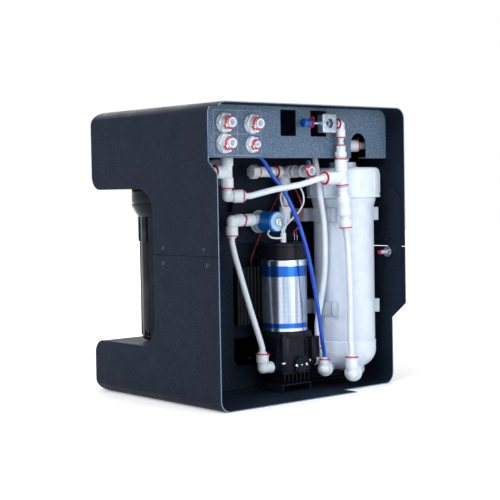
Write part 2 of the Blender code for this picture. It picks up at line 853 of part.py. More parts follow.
def upper_cover():
    """Top and upper sides, with the cut-away in the left wall's rear edge."""
    notch = [
        (LEFT_NOTCH_BACK, LEFT_NOTCH_TOP),
        (LEFT_NOTCH_BACK, LEFT_NOTCH_BOTTOM),
        (HALF_DEPTH, LEFT_NOTCH_CHAMFER_END),
        (HALF_DEPTH + CLEAR, LEFT_NOTCH_CHAMFER_END),
        (HALF_DEPTH + CLEAR, LEFT_NOTCH_TOP),
    ]
    cutter = sheet_outline(notch, BEND_RADIUS * 2, (HALF_WIDTH, 0, 0), Y_AXIS, Z_AXIS)
    cover = wrap(SPLIT_HEIGHT + GAP / 2, CASE_HEIGHT)
    change(cover, [side_solid()], "INTERSECT")
    holes = [
        screw_hole(side * HALF_WIDTH, y, z)
        for side in (-1, 1)
        for y, z in CASE_SCREWS_YZ
        if z > SPLIT_HEIGHT
    ]
    return as_part(cut(cover, cutter, *holes), "upper_cover", "coated_steel")


def lower_tray():
    """Floor and lower sides, with the cut-away at the right rear corner."""
    tray = wrap(SPLIT_HEIGHT - GAP / 2, 0.0)
    change(tray, [side_solid()], "INTERSECT")
    beyond = HALF_DEPTH + CLEAR
    notch = [
        (RIGHT_NOTCH_BACK, -CLEAR),
        (beyond, -CLEAR),
        (beyond, RIGHT_NOTCH_CHAMFER_END),
        (HALF_DEPTH, RIGHT_NOTCH_CHAMFER_END),
        (RIGHT_NOTCH_BACK, RIGHT_NOTCH_TOP),
    ]
    wide = HALF_WIDTH + FLOOR_NOTCH_X + CLEAR
    middle = (FLOOR_NOTCH_X - HALF_WIDTH - CLEAR) / 2
    cutter = sheet_outline(notch, wide, (middle, 0, 0), Y_AXIS, Z_AXIS)
    holes = [
        screw_hole(side * HALF_WIDTH, y, z)
        for side in (-1, 1)
        for y, z in CASE_SCREWS_YZ
        if z < SPLIT_HEIGHT
    ]
    return as_part(cut(tray, cutter, *holes), "lower_tray", "coated_steel")


def inner_envelope(front, back):
    """Space inside the two wraps, between two depths."""
    return block(
        (-INNER_HALF_WIDTH, front, INNER_BOTTOM),
        (INNER_HALF_WIDTH, back, INNER_TOP),
        INNER_BEND,
        Y_AXIS,
    )


def front_fascia():
    """One sheet down the front, round the cartridge recess and down to the floor."""
    outline = side_outline(SHEET + GAP, RECESS_FOLD_RADIUS)
    path = [(0.0, y, z) for y, z in outline]
    sheet = bent_sheet(path, -HALF_WIDTH, HALF_WIDTH, X_AXIS, 1.0)
    change(sheet, [inner_envelope(-HALF_DEPTH, HALF_DEPTH)], "INTERSECT")
    holes = [
        rod(
            (x, CARTRIDGE_Y, RECESS_TOP - CLEAR),
            (x, CARTRIDGE_Y, RECESS_TOP + CLEAR),
            NECK_HOLE_RADIUS,
            MID_STEPS,
        )
        for x in CARTRIDGE_XS
    ]
    return as_part(cut(sheet, *holes), "front_fascia", "coated_steel")


def connection_panel():
    """Recessed plate with its folded foot, side tab, two windows and an arched slot."""
    plate = inner_envelope(PANEL_FACE_Y - SHEET, PANEL_FACE_Y)
    cut(
        plate,
        block(
            (-HALF_WIDTH, PANEL_FACE_Y - CLEAR, -CLEAR),
            (HALF_WIDTH, PANEL_FACE_Y + CLEAR, PANEL_BOTTOM),
        ),
    )
    foot = block(
        (-INNER_HALF_WIDTH, PANEL_FACE_Y - PANEL_FLANGE_DEPTH, PANEL_BOTTOM),
        (INNER_HALF_WIDTH, PANEL_FACE_Y - SHEET / 2, PANEL_BOTTOM + SHEET),
    )
    tab = block(
        (INNER_HALF_WIDTH - SHEET, PANEL_FACE_Y - SHEET / 2, PANEL_TAB_BOTTOM),
        (INNER_HALF_WIDTH, PANEL_TAB_BACK, PANEL_TAB_TOP),
    )
    near, far, low, high = PANEL_TAB_SLOT
    slot = block((INNER_HALF_WIDTH - CLEAR, near, low), (HALF_WIDTH + CLEAR, far, high))
    windows = [
        block((x[0], PANEL_FACE_Y - CLEAR, WINDOW_BOTTOM), (x[1], PANEL_FACE_Y + CLEAR, WINDOW_TOP))
        for x in (WINDOW_ONE_X, WINDOW_TWO_X)
    ]
    half = (ARCH_X[1] - ARCH_X[0]) / 2
    centre = ((ARCH_X[0] + ARCH_X[1]) / 2, ARCH_TOP - half)
    arch = [
        *arc(centre, half, 0.0, math.pi, MID_STEPS // 2),
        (ARCH_X[0], PANEL_BOTTOM - CLEAR),
        (ARCH_X[1], PANEL_BOTTOM - CLEAR),
    ]
    slot_depth = 2 * PANEL_FLANGE_DEPTH + 2 * CLEAR
    opening = sheet_outline(arch, slot_depth, (0, PANEL_FACE_Y, 0), X_AXIS, Z_AXIS)
    threads = [(x, z, BULKHEAD_THREAD) for x, z in BULKHEAD_LARGE_XZ]
    threads.append((*BULKHEAD_SMALL_XZ, BULKHEAD_THREAD_SMALL))
    holes = [
        rod(
            (x, PANEL_FACE_Y - CLEAR, z),
            (x, PANEL_FACE_Y + CLEAR, z),
            clear_radius(thread, MID_STEPS),
            MID_STEPS,
        )
        for x, z, thread in threads
    ]
    joined(plate, foot, tab)
    cut(plate, slot, *windows, opening, *holes)
    return as_part(plate, "connection_panel", "coated_steel")


def partition():
    """Upright plate behind the bay, with its floor flange, side flanges, notch and opening."""
    plate = inner_envelope(PARTITION_FACE_Y - SHEET, PARTITION_FACE_Y)
    corner = block(
        (PARTITION_NOTCH_X, PARTITION_FACE_Y - CLEAR, PARTITION_NOTCH_Z),
        (HALF_WIDTH + CLEAR, PARTITION_FACE_Y + CLEAR, CASE_HEIGHT + CLEAR),
        PARTITION_NOTCH_RADIUS,
        Y_AXIS,
    )
    window = block(
        (PARTITION_OPENING_X[0], PARTITION_FACE_Y - CLEAR, PARTITION_OPENING_Z[0]),
        (PARTITION_OPENING_X[1], PARTITION_FACE_Y + CLEAR, PARTITION_OPENING_Z[1]),
        PARTITION_OPENING_RADIUS,
        Y_AXIS,
    )
    cut(plate, corner, window)
    half = HALF_WIDTH - BEND_RADIUS
    floor = block(
        (-half, PARTITION_FACE_Y - SHEET / 2, INNER_BOTTOM),
        (half, PARTITION_FLANGE_FRONT, INNER_BOTTOM + SHEET),
    )
    low, high = PARTITION_SIDE_FLANGE_Z
    right = block(
        (-INNER_HALF_WIDTH, PARTITION_FACE_Y - SHEET / 2, low),
        (-INNER_HALF_WIDTH + SHEET, PARTITION_FLANGE_FRONT, high),
    )
    left = block(
        (INNER_HALF_WIDTH - SHEET, PARTITION_FACE_Y - SHEET / 2, low),
        (INNER_HALF_WIDTH, PARTITION_FLANGE_FRONT, PARTITION_NOTCH_Z - CLEAR),
    )
    holes = [
        screw_hole(side * HALF_WIDTH, y, z)
        for side in (-1, 1)
        for y, z in CASE_SCREWS_YZ
        if y < PARTITION_FLANGE_FRONT
    ]
    return as_part(cut(joined(plate, floor, right, left), *holes), "partition", "coated_steel")


def strap_outline():
    """Outline of a side strap in Y and Z: a shelf along the top and a rounded tab down the rear."""
    inner, outer = STRAP_FOOT_Y + STRAP_ROUND, STRAP_WIDE_Y - STRAP_ROUND
    centre_z = STRAP_BOTTOM + STRAP_ROUND
    quarter = math.pi / 2
    return [
        (STRAP_FRONT_Y, STRAP_TOP),
        (STRAP_FRONT_Y, STRAP_SHELF),
        (STRAP_FOOT_Y, STRAP_SHELF),
        *arc((inner, centre_z), STRAP_ROUND, 2 * quarter, 3 * quarter, BEND_STEPS),
        *arc((outer, centre_z), STRAP_ROUND, 3 * quarter, 4 * quarter, BEND_STEPS),
        (STRAP_WIDE_Y, STRAP_WIDE_Z),
        (STRAP_NARROW_Y, STRAP_NARROW_Z),
        (STRAP_NARROW_Y, STRAP_TOP),
    ]


def side_strap(side):
    """Profiled strap inside one side wall, which bridges the joint between the wraps."""
    middle = side * (INNER_HALF_WIDTH - STRAP_THICKNESS / 2)
    strap = sheet_outline(strap_outline(), STRAP_THICKNESS, (middle, 0, 0), Y_AXIS, Z_AXIS)
    holes = [screw_hole(side * HALF_WIDTH, y, z) for y, z in CASE_SCREWS_YZ if y > STRAP_FRONT_Y]
    return cut(strap, *holes)


def side_straps():
    """The left strap, and the right strap with the earth stud and its nut."""
    as_part(side_strap(1), "strap_left", "coated_steel")
    y, z = STUD_YZ
    seat = INNER_HALF_WIDTH - STRAP_THICKNESS / 2
    pin = rod((-seat, y, z), (-seat + STUD_LENGTH, y, z), STUD_RADIUS)
    nut = rod((-seat, y, z), (-seat + STUD_HEX_HEIGHT, y, z), STUD_HEX_RADIUS, HEX_SIDES)
    return as_part(joined(side_strap(-1), nut, pin), "strap_right", "coated_steel")


# Push fittings


class Size:
    """Radii shared by the arms of one size of push fitting."""

    def __init__(self, body, collar, collet, tube_radius):
        self.body = body
        self.collar = collar
        self.collet = collet
        self.tube = tube_radius


LARGE = Size(LARGE_BODY, LARGE_COLLAR, LARGE_COLLET, LARGE_TUBE)
SMALL = Size(SMALL_BODY, SMALL_COLLAR, SMALL_COLLET, SMALL_TUBE)
MOUTH_PAST_CLIP = CLIP_THICKNESS / 2 + COLLET_THICKNESS


def arm(size, at, direction, reach, first=False, turn=None):
    """One arm of a fitting; reach is from its centre to the middle of the clip under its collet."""
    direction = Vector(direction).normalized()
    under, over = reach - CLIP_THICKNESS / 2, reach + CLIP_THICKNESS / 2
    shoulder = min(size.body, under / 2)
    body = size.body if first else size.body * ARM_SHRINK_SHARE
    tip = reach + MOUTH_PAST_CLIP
    rim = size.collar + CLIP_RIM
    profile = [
        (0.0, tip),
        (size.collet, tip),
        (size.collet, over),
        (rim, over),
        (rim, under),
        (size.collar, under),
        (size.collar, shoulder + COLLAR_STEP),
        (body, shoulder),
    ]
    if first:
        profile += [(body, 0.0), (body * DOME_SHARE, -body * DOME_SHARE), (0.0, -body * DOME_SHARE)]
    else:
        profile += [(body, 0.0), (0.0, 0.0)]
    made = [turned(profile, at, direction)]
    if turn is not None:
        made.append(clip_tab(size, Vector(at) + direction * reach, direction, turn))
    return made


def plain_arm(radius, at, direction, length, steps=ARM_STEPS):
    """Plain round arm from the centre of a fitting."""
    direction = Vector(direction).normalized()
    return rod(Vector(at), Vector(at) + direction * length, radius, steps)


def mouth(at, direction, reach):
    """Where a tube ends at an arm."""
    return Vector(at) + Vector(direction).normalized() * (reach + MOUTH_PAST_CLIP + GAP)


def clip_tab(size, at, direction, turn):
    """Eyelet tab of a locking clip, turned about the arm."""
    direction = Vector(direction).normalized()
    side = Z_AXIS.cross(direction).normalized() if abs(direction.z) < ALONG_SHARE else X_AXIS
    up = direction.cross(side)
    across = side * math.cos(turn) + up * math.sin(turn)
    inner = size.collar * CLIP_TAB_OVERLAP_SHARE
    outer = size.collar + CLIP_RIM + CLIP_TAB_LENGTH
    points = [
        (inner, -CLIP_TAB_HALF),
        (outer, -CLIP_TAB_HALF),
        (outer, CLIP_TAB_HALF),
        (inner, CLIP_TAB_HALF),
    ]
    thickness = CLIP_THICKNESS * ARM_SHRINK_SHARE
    return sheet_outline(points, thickness, at, across, direction.cross(across))


# Connection panel fittings


def bulkhead(size, x, z, large):
    """Bulkhead with its outer flange, cone, clip and collet, and the nut on its threaded inner end."""
    flange = BULKHEAD_FLANGE if large else BULKHEAD_FLANGE_SMALL
    cone = BULKHEAD_CONE if large else BULKHEAD_CONE_SMALL
    thread = BULKHEAD_THREAD if large else BULKHEAD_THREAD_SMALL
    cone_tip = BULKHEAD_CONE_TIP if large else BULKHEAD_CONE_TIP_SMALL
    tip = BULKHEAD_TIP if large else BULKHEAD_TIP_SMALL
    bore = size.tube + GAP
    seat = PANEL_FACE_Y + GAP
    rim = (cone + size.collet) / 2
    profile = [
        (0.0, tip - BORE_DEPTH),
        (bore, tip - BORE_DEPTH),
        (bore, tip),
        (size.collet, tip),
        (size.collet, cone_tip + CLIP_THICKNESS),
        (rim, cone_tip + CLIP_THICKNESS),
        (rim, cone_tip),
        (cone, seat + BULKHEAD_FLANGE_THICKNESS),
        (flange, seat + BULKHEAD_FLANGE_THICKNESS),
        (flange, seat),
        (thread, seat),
        (thread, BULKHEAD_INNER),
        (0.0, BULKHEAD_INNER),
    ]
    back = PANEL_FACE_Y - SHEET - GAP
    tab_at = Vector((x, cone_tip + CLIP_THICKNESS / 2, z))
    return joined(
        turned(profile, (x, 0.0, z), Y_AXIS, MID_STEPS),
        clip_tab(SMALL, tab_at, Y_AXIS, CLIP_TURNS["bulkhead_small"]),
        rod((x, back - NUT_HEIGHT, z), (x, back, z), thread * NUT_SPAN_SHARE, HEX_SIDES),
    )


def bulkheads():
    """Three large bulkheads and a small one."""
    for index, (x, z) in enumerate(BULKHEAD_LARGE_XZ, 1):
        as_part(bulkhead(LARGE, x, z, True), f"bulkhead_large_{index}", "white_plastic")
    x, z = BULKHEAD_SMALL_XZ
    as_part(bulkhead(SMALL, x, z, False), "bulkhead_small", "white_plastic")


# Needle valve group


def valve_block():
    """Square metal block with a hexagonal recess, a spindle bore and a stem out of each side."""
    half_depth, half_height = BLOCK_DEPTH / 2, BLOCK_HEIGHT / 2
    body = block(
        (BLOCK_X[0], VALVE_Y - half_depth, VALVE_Z - half_height),
        (BLOCK_X[1], VALVE_Y + half_depth, VALVE_Z + half_height),
        BLOCK_CORNER,
        Y_AXIS,
    )
    x = sum(BLOCK_X) / 2
    face = VALVE_Y + half_depth
    union_end = UNION_INNER_X - CLIP_THICKNESS - COLLET_THICKNESS / 2 - GAP
    left = rod(
        (BLOCK_X[1] - OVERLAP, VALVE_Y, VALVE_Z), (union_end, VALVE_Y, VALVE_Z), BLOCK_STEM_RADIUS
    )
    end = STACK_X + STACK_ELBOW_REACH_X + MOUTH_PAST_CLIP + GAP
    right = rod((BLOCK_X[0] + OVERLAP, VALVE_Y, VALVE_Z), (end, VALVE_Y, VALVE_Z), BLOCK_STEM_RADIUS)
    recess = rod(
        (x, face - BLOCK_HEX_DEPTH, VALVE_Z),
        (x, face + CLEAR, VALVE_Z),
        BLOCK_HEX_RADIUS,
        HEX_SIDES,
        math.pi / 2,
    )
    bore_radius = clear_radius(SPINDLE_RADIUS, ARM_STEPS)
    bore = rod((x, face - SPINDLE_BASE_DEPTH, VALVE_Z), (x, face, VALVE_Z), bore_radius)
    return as_part(cut(joined(body, left, right), recess, bore), "valve_block", "zinc_steel")


def valve_spindle():
    """Slotted needle spindle at the bottom of the block's recess, on its own axis."""
    x = sum(BLOCK_X) / 2
    face = VALVE_Y + BLOCK_DEPTH / 2
    base = SPINDLE_BASE_DEPTH - GAP
    profile = [
        (0.0, -SPINDLE_TIP_DEPTH),
        (SPINDLE_RADIUS, -SPINDLE_TIP_DEPTH),
        (SPINDLE_RADIUS, -base),
        (0.0, -base),
    ]
    spindle = meshed(turned(profile, (x, face, VALVE_Z), Y_AXIS))
    slot = block(
        (x - SPINDLE_RADIUS * 2, face - SPINDLE_TIP_DEPTH - SPINDLE_SLOT, VALVE_Z - SPINDLE_SLOT / 2),
        (x + SPINDLE_RADIUS * 2, face, VALVE_Z + SPINDLE_SLOT / 2),
    )
    return as_part(cut(spindle, slot), "valve_spindle", "zinc_steel")


def blue_union():
    """Blue push union on the block's left stem, with its end disc and ring."""
    reach = -UNION_INNER_X
    over = reach + CLIP_THICKNESS
    profile = [
        (0.0, over + COLLET_THICKNESS / 2),
        (SMALL_COLLET, over + COLLET_THICKNESS / 2),
        (SMALL_COLLET, over),
        (SMALL_COLLAR, over),
        (SMALL_COLLAR, reach),
        (UNION_RING, reach),
        (UNION_RING, -UNION_NECK_X + OVERLAP),
        (UNION_NECK, -UNION_NECK_X),
        (UNION_NECK, -UNION_DISC_X),
        (UNION_DISC, -UNION_DISC_X),
        (UNION_DISC, -UNION_END),
        (0.0, -UNION_END),
    ]
    at = Vector((UNION_INNER_X - CLIP_THICKNESS / 2, VALVE_Y, VALVE_Z))
    body = turned(profile, (0.0, VALVE_Y, VALVE_Z), -X_AXIS, MID_STEPS)
    clip = clip_tab(SMALL, at, -X_AXIS, CLIP_TURNS["union"])
    return as_part(joined(body, clip), "blue_union", "blue_plastic")


# Stack of fittings at the right, whose lower part leans to the right

STACK_UP = Vector((math.sin(STACK_LEAN), 0.0, math.cos(STACK_LEAN)))
STACK_TEE = Vector((STACK_X, STACK_Y, STACK_TEE_Z))


def stack_elbow():
    """Small elbow from the valve block down into the stack."""
    at = (STACK_X, STACK_Y, STACK_ELBOW_Z)
    across = Vector((STACK_X, VALVE_Y, VALVE_Z))
    down = arm(SMALL, at, -Z_AXIS, STACK_ELBOW_REACH, first=True, turn=CLIP_TURNS["stack_elbow_down"])
    side = arm(SMALL, across, X_AXIS, STACK_ELBOW_REACH_X, turn=CLIP_TURNS["stack_elbow_side"])
    return as_part(assembled(down, side), "stack_elbow", "white_plastic")


def stack_connector():
    """Stem adaptor with a hexagon, between the elbow and the tee."""
    top = STACK_ELBOW_Z - STACK_ELBOW_REACH - MOUTH_PAST_CLIP - GAP
    bottom = STACK_TEE_Z + STACK_TEE_UP + MOUTH_PAST_CLIP + GAP
    under, over = CONNECTOR_CLIP_Z - CLIP_THICKNESS / 2, CONNECTOR_CLIP_Z + CLIP_THICKNESS / 2
    rim = SMALL_COLLAR + CLIP_RIM
    profile = [
        (0.0, top),
        (CONNECTOR_PIN, top),
        (CONNECTOR_PIN, over + COLLET_THICKNESS),
        (SMALL_COLLET, over + COLLET_THICKNESS),
        (SMALL_COLLET, over),
        (rim, over),
        (rim, under),
        (SMALL_COLLAR, under),
        (SMALL_COLLAR, CONNECTOR_HEX_TOP - OVERLAP),
        (LARGE_TUBE, CONNECTOR_HEX_BOTTOM + OVERLAP),
        (LARGE_TUBE, bottom),
        (0.0, bottom),
    ]
    at = Vector((STACK_X, STACK_Y, CONNECTOR_CLIP_Z))
    clip = clip_tab(SMALL, at, Z_AXIS, CLIP_TURNS["connector"])
    body = turned(profile, (STACK_X, STACK_Y, 0.0))
    hexagon = rod(
        (STACK_X, STACK_Y, CONNECTOR_HEX_BOTTOM),
        (STACK_X, STACK_Y, CONNECTOR_HEX_TOP),
        CONNECTOR_HEX_RADIUS,
        HEX_SIDES,
    )
    return as_part(joined(hexagon, body, clip), "stack_connector", "white_plastic")


def stack_tee():
    """Large tee with its branch toward the left of the bay."""
    at = Vector((STACK_X, STACK_Y, STACK_TEE_Z))
    branch = at + Z_AXIS * STACK_TEE_LEFT_Z
    up = arm(LARGE, at, Z_AXIS, STACK_TEE_UP, turn=CLIP_TURNS["stack_tee_up"])
    left = arm(LARGE, branch, X_AXIS, STACK_TEE_LEFT, first=True, turn=CLIP_TURNS["stack_tee_side"])
    down = arm(LARGE, at, -STACK_UP, STACK_TEE_DOWN, turn=CLIP_TURNS["stack_tee_down"])
    return as_part(assembled(left, up, down), "stack_tee", "white_plastic")


def check_valve():
    """Ringed non-return valve under the tee, with the collar that takes the brine tube."""
    ring, neck, waist, shoulder, foot, low, collar, groove = [
        level - STACK_TEE_Z for level in CHECK_LEVELS
    ]
    top = -STACK_TEE_DOWN - MOUTH_PAST_CLIP - GAP
    under = groove - CLIP_THICKNESS
    rim = LARGE_COLLAR + CLIP_RIM
    profile = [
        (0.0, top),
        (CHECK_RING, top),
        (CHECK_RING, ring),
        (CHECK_WAIST, neck),
        (CHECK_WAIST, waist),
        (CHECK_BODY, shoulder),
        (CHECK_BODY, foot),
        (CHECK_LOW_WAIST, low),
        (CHECK_LOW_WAIST, collar),
        (CHECK_COLLAR, collar),
        (CHECK_COLLAR, groove),
        (rim, groove),
        (rim, under),
        (LARGE_COLLET, under),
        (LARGE_COLLET, under - COLLET_THICKNESS),
        (0.0, under - COLLET_THICKNESS),
    ]
    body = turned(profile, STACK_TEE, STACK_UP, MID_STEPS)
    tab_at = STACK_TEE + STACK_UP * (groove - CLIP_THICKNESS / 2)
    ring = clip_tab(LARGE, tab_at, -STACK_UP, CLIP_TURNS["check_valve"])
    return as_part(joined(body, ring), "check_valve", "white_plastic")


# Left tee, elbow and ball valve


def left_tee():
    """Large tee under the connection panel."""
    up = arm(LARGE, LEFT_TEE, Z_AXIS, LEFT_TEE_UP)
    down = arm(LARGE, LEFT_TEE, -Z_AXIS, LEFT_TEE_DOWN, first=True, turn=CLIP_TURNS["left_tee_down"])
    side = arm(LARGE, LEFT_TEE, X_AXIS, LEFT_TEE_SIDE, turn=CLIP_TURNS["left_tee_side"])
    return as_part(assembled(down, up, side), "left_tee", "white_plastic")


def elbow_a():
    """Stem elbow under the left tee, turned toward the stack."""
    direction = Vector((math.cos(ELBOW_A_TURN), math.sin(ELBOW_A_TURN), 0.0))
    side = arm(LARGE, ELBOW_A, direction, ELBOW_A_REACH, turn=CLIP_TURNS["elbow_a"])
    top = LEFT_TEE[2] - LEFT_TEE_DOWN - MOUTH_PAST_CLIP - GAP - ELBOW_A[2]
    body = LARGE.body * ARM_SHRINK_SHARE
    profile = [
        (0.0, top),
        (LARGE.body, top),
        (body, 0.0),
        (body * DOME_SHARE, -body * DOME_SHARE),
        (0.0, -body * DOME_SHARE),
    ]
    stem = turned(profile, ELBOW_A)
    return as_part(assembled([stem], side), "elbow_a", "white_plastic")


def ball_valve_body():
    """Ball valve pointing out of the bay, with its bore, ball seat and stem bore."""
    clip = BALL_VALVE_MOUTH - MOUTH_PAST_CLIP
    under, over = clip - CLIP_THICKNESS / 2, clip + CLIP_THICKNESS / 2
    end = VALVE_TEE[1] + VALVE_TEE_FRONT + MOUTH_PAST_CLIP + GAP
    seat_radius = clear_radius(BALL_RADIUS, ARM_STEPS)
    seat_end = BALL_CENTRE_Y + seat_radius
    bore = LARGE_TUBE + GAP
    rim = LARGE_COLLAR + CLIP_RIM
    profile = [
        (0.0, seat_end - OVERLAP),
        (bore, seat_end - OVERLAP),
        (bore, BALL_VALVE_MOUTH),
        (LARGE_COLLET, BALL_VALVE_MOUTH),
        (LARGE_COLLET, over),
        (rim, over),
        (rim, under),
        (BALL_VALVE_BODY, under),
        (BALL_VALVE_BODY, BALL_VALVE_BACK + 3 * OVERLAP),
        (BALL_VALVE_COLLAR, BALL_VALVE_BACK + 2 * OVERLAP),
        (BALL_VALVE_COLLAR, end),
        (0.0, end),
    ]
    ring_at = Vector((BALL_VALVE_X, clip, BALL_VALVE_Z))
    ring = clip_tab(LARGE, ring_at, Y_AXIS, CLIP_TURNS["ball_valve"])
    body = turned(profile, (BALL_VALVE_X, 0.0, BALL_VALVE_Z), Y_AXIS, MID_STEPS)
    centre = (BALL_VALVE_X, BALL_CENTRE_Y, BALL_VALVE_Z)
    bonnet = rod(centre, (LEVER_X + LEVER_THICKNESS, *centre[1:]), STEM_RADIUS * 2)
    seat = ball(seat_radius)
    hole = rod(centre, (LEVER_X - CLEAR, *centre[1:]), clear_radius(STEM_RADIUS, ARM_STEPS))
    return as_part(cut(joined(body, bonnet, ring), seat, hole), "ball_valve_body", "white_plastic")


def ball(radius):
    """Sphere at the centre of the ball valve."""
    form = bmesh.new()
    bmesh.ops.create_uvsphere(form, u_segments=ARM_STEPS, v_segments=ARM_STEPS // 2, radius=radius)
    made = from_bmesh(form, "ball")
    place(made, (BALL_VALVE_X, BALL_CENTRE_Y, BALL_VALVE_Z), -X_AXIS)
    return made


def ball_valve_lever():
    """Flat blue lever with its stem and the bored ball that it turns."""
    centre = Vector((BALL_VALVE_X, BALL_CENTRE_Y, BALL_VALVE_Z))
    half_length, half_width = LEVER_LENGTH / 2, LEVER_WIDTH / 2
    outer = LEVER_X - LEVER_THICKNESS / 2
    inner = LEVER_X + LEVER_THICKNESS / 2
    grip = block(
        (outer, centre.y - half_width, centre.z - half_length),
        (inner, centre.y + half_width, centre.z + half_length),
        half_width / 2,
        X_AXIS,
    )
    stem = rod((inner - OVERLAP * 3, centre.y, centre.z), tuple(centre), STEM_RADIUS)
    bore = rod(centre - Z_AXIS * CLEAR, centre + Z_AXIS * CLEAR, BALL_BORE)
    lever = cut(joined(grip, ball(BALL_RADIUS), stem), bore)
    return as_part(lever, "ball_valve_lever", "light_blue_plastic")


def valve_tee():
    """Tee behind the ball valve, with the side barrel and its hexagon."""
    at = Vector(VALVE_TEE)
    front = arm(LARGE, at, Y_AXIS, VALVE_TEE_FRONT, first=True)
    down = arm(LARGE, at, -Z_AXIS, VALVE_TEE_DOWN, turn=CLIP_TURNS["valve_tee_down"])
    side = arm(LARGE, at, X_AXIS, VALVE_TEE_SIDE, turn=CLIP_TURNS["valve_tee_side"])
    return as_part(assembled(front, down, side), "valve_tee", "white_plastic")


def side_barrel():
    """Non-return barrel with a hexagon end, on the valve tee's side branch."""
    start = VALVE_TEE[0] + VALVE_TEE_SIDE + MOUTH_PAST_CLIP + GAP
    y, z = VALVE_TEE[1:]
    ring = SIDE_BARREL_X[1] - COLLET_THICKNESS
    rim = LARGE_COLLAR + CLIP_RIM
    profile = [
        (0.0, SIDE_HEX_X[0] + OVERLAP),
        (LARGE_COLLET, SIDE_HEX_X[0] + OVERLAP),
        (LARGE_COLLET, ring + CLIP_THICKNESS),
        (rim, ring + CLIP_THICKNESS),
        (rim, ring),
        (SIDE_BARREL_RADIUS, ring),
        (SIDE_BARREL_RADIUS, start + CONNECTOR_PIN),
        (LARGE_TUBE, start + CONNECTOR_PIN),
        (LARGE_TUBE, start),
        (0.0, start),
    ]
    tab_at = Vector((ring + CLIP_THICKNESS / 2, y, z))
    ring_clip = clip_tab(LARGE, tab_at, X_AXIS, CLIP_TURNS["barrel"])
    barrel = turned(profile, (0.0, y, z), X_AXIS)
    hexagon = rod((SIDE_HEX_X[0], y, z), (SIDE_HEX_X[1], y, z), SIDE_HEX_RADIUS, HEX_SIDES)
    return as_part(joined(hexagon, barrel, ring_clip), "side_barrel", "white_plastic")


# Solenoid valve


def solenoid_body():
    """Valve body with its two ports, and the core tube and nut that hold the coil."""
    y_low, y_high = SOLENOID_BODY_Y
    body = block(
        (SOLENOID_BODY_X[0], y_low, SOLENOID_Z - SOLENOID_BODY_HALF),
        (SOLENOID_BODY_X[1], y_high, SOLENOID_Z + SOLENOID_BODY_HALF),
        COLLAR_CHAMFER * 3,
        X_AXIS,
    )
    collar = rod(
        (SOLENOID_COLLAR_START, SOLENOID_Y, SOLENOID_Z),
        (ELBOW_OUT[0] - ELBOW_OUT_SIDE - MOUTH_PAST_CLIP - GAP, SOLENOID_Y, SOLENOID_Z),
        LARGE_COLLAR,
        MID_STEPS,
    )
    neck = rod(
        (SOLENOID_BODY_X[1] - OVERLAP, SOLENOID_Y, SOLENOID_Z),
        (SOLENOID_COLLAR_START + OVERLAP, SOLENOID_Y, SOLENOID_Z),
        LARGE_BODY,
    )
    y, z = ELBOW_IN[1:]
    port_end = ELBOW_IN[0] + ELBOW_IN_SIDE + MOUTH_PAST_CLIP + GAP
    right = rod((SOLENOID_BODY_X[0] + OVERLAP, y, z), (port_end, y, z), LARGE_BODY)
    core = rod((COIL_X, CORE_Y[0], COIL_Z), (COIL_X, COIL_END + CORE_NUT_HEIGHT, COIL_Z), CORE_TUBE)
    bore = rod((COIL_X, CORE_Y[0] + OVERLAP, COIL_Z), (COIL_X, CORE_Y[1], COIL_Z), CORE_BORE)
    vent = rod(
        (COIL_X, CORE_Y[0] + 2 * OVERLAP, COIL_Z),
        (COIL_X, CORE_Y[0] + 2 * OVERLAP, COIL_Z - 2 * SOLENOID_BODY_HALF),
        STEM_RADIUS / 2,
    )
    nut_start = COIL_END + GAP
    nut = rod(
        (COIL_X, nut_start, COIL_Z),
        (COIL_X, nut_start + CORE_NUT_HEIGHT - OVERLAP, COIL_Z),
        CORE_NUT,
        HEX_SIDES,
    )
    body = joined(body, neck, collar, right, core, nut)
    return as_part(cut(body, bore, vent), "solenoid_body", "grey_plastic")


def solenoid_coil():
    """Blue coil can round the core tube."""
    bore = clear_radius(CORE_TUBE, MID_STEPS)
    profile = [
        (bore, COIL_END),
        (COIL_RADIUS - COLLAR_CHAMFER * 2, COIL_END),
        (COIL_RADIUS, COIL_END - COLLAR_CHAMFER * 2),
        (COIL_RADIUS, COIL_START),
        (bore, COIL_START),
        (bore, COIL_END),
    ]
    made = turned(profile, (COIL_X, 0.0, COIL_Z), Y_AXIS, MID_STEPS)
    return as_part(made, "solenoid_coil", "blue_plastic")


def solenoid_plunger():
    """Sprung plunger inside the core tube."""
    made = rod((COIL_X, PLUNGER_Y[0], COIL_Z), (COIL_X, PLUNGER_Y[1], COIL_Z), PLUNGER_RADIUS)
    return as_part(made, "solenoid_plunger", "zinc_steel")


def elbow_solenoid_out():
    """Elbow from the solenoid's left port down to the pump's inlet tube."""
    down = arm(LARGE, ELBOW_OUT, -Z_AXIS, ELBOW_OUT_DOWN, turn=CLIP_TURNS["elbow_out_down"])
    side = arm(LARGE, ELBOW_OUT, -X_AXIS, ELBOW_OUT_SIDE, first=True, turn=CLIP_TURNS["elbow_out_side"])
    return as_part(assembled(side, down), "elbow_solenoid_out", "white_plastic")


def elbow_solenoid_in():
    """Elbow from the valve tee's tube into the solenoid's right port."""
    up = arm(LARGE, ELBOW_IN, Z_AXIS, ELBOW_IN_UP, first=True, turn=CLIP_TURNS["elbow_in_up"])
    side = arm(LARGE, ELBOW_IN, X_AXIS, ELBOW_IN_SIDE, turn=CLIP_TURNS["elbow_in_side"])
    return as_part(assembled(up, side), "elbow_solenoid_in", "white_plastic")


# Booster pump


def pump_motor_can():
    """Steel sleeve of the motor, with the bore that the rotor turns in."""
    profile = [
        (CAN_BORE, CAN_TOP),
        (CAN_RADIUS, CAN_TOP),
        (CAN_RADIUS, CAN_BOTTOM),
        (CAN_BORE, CAN_BOTTOM),
        (CAN_BORE, CAN_TOP),
    ]
    made = turned(profile, (PUMP_X, PUMP_Y, 0.0), steps=ROUND_STEPS)
    return as_part(made, "pump_motor_can", "brushed_can")


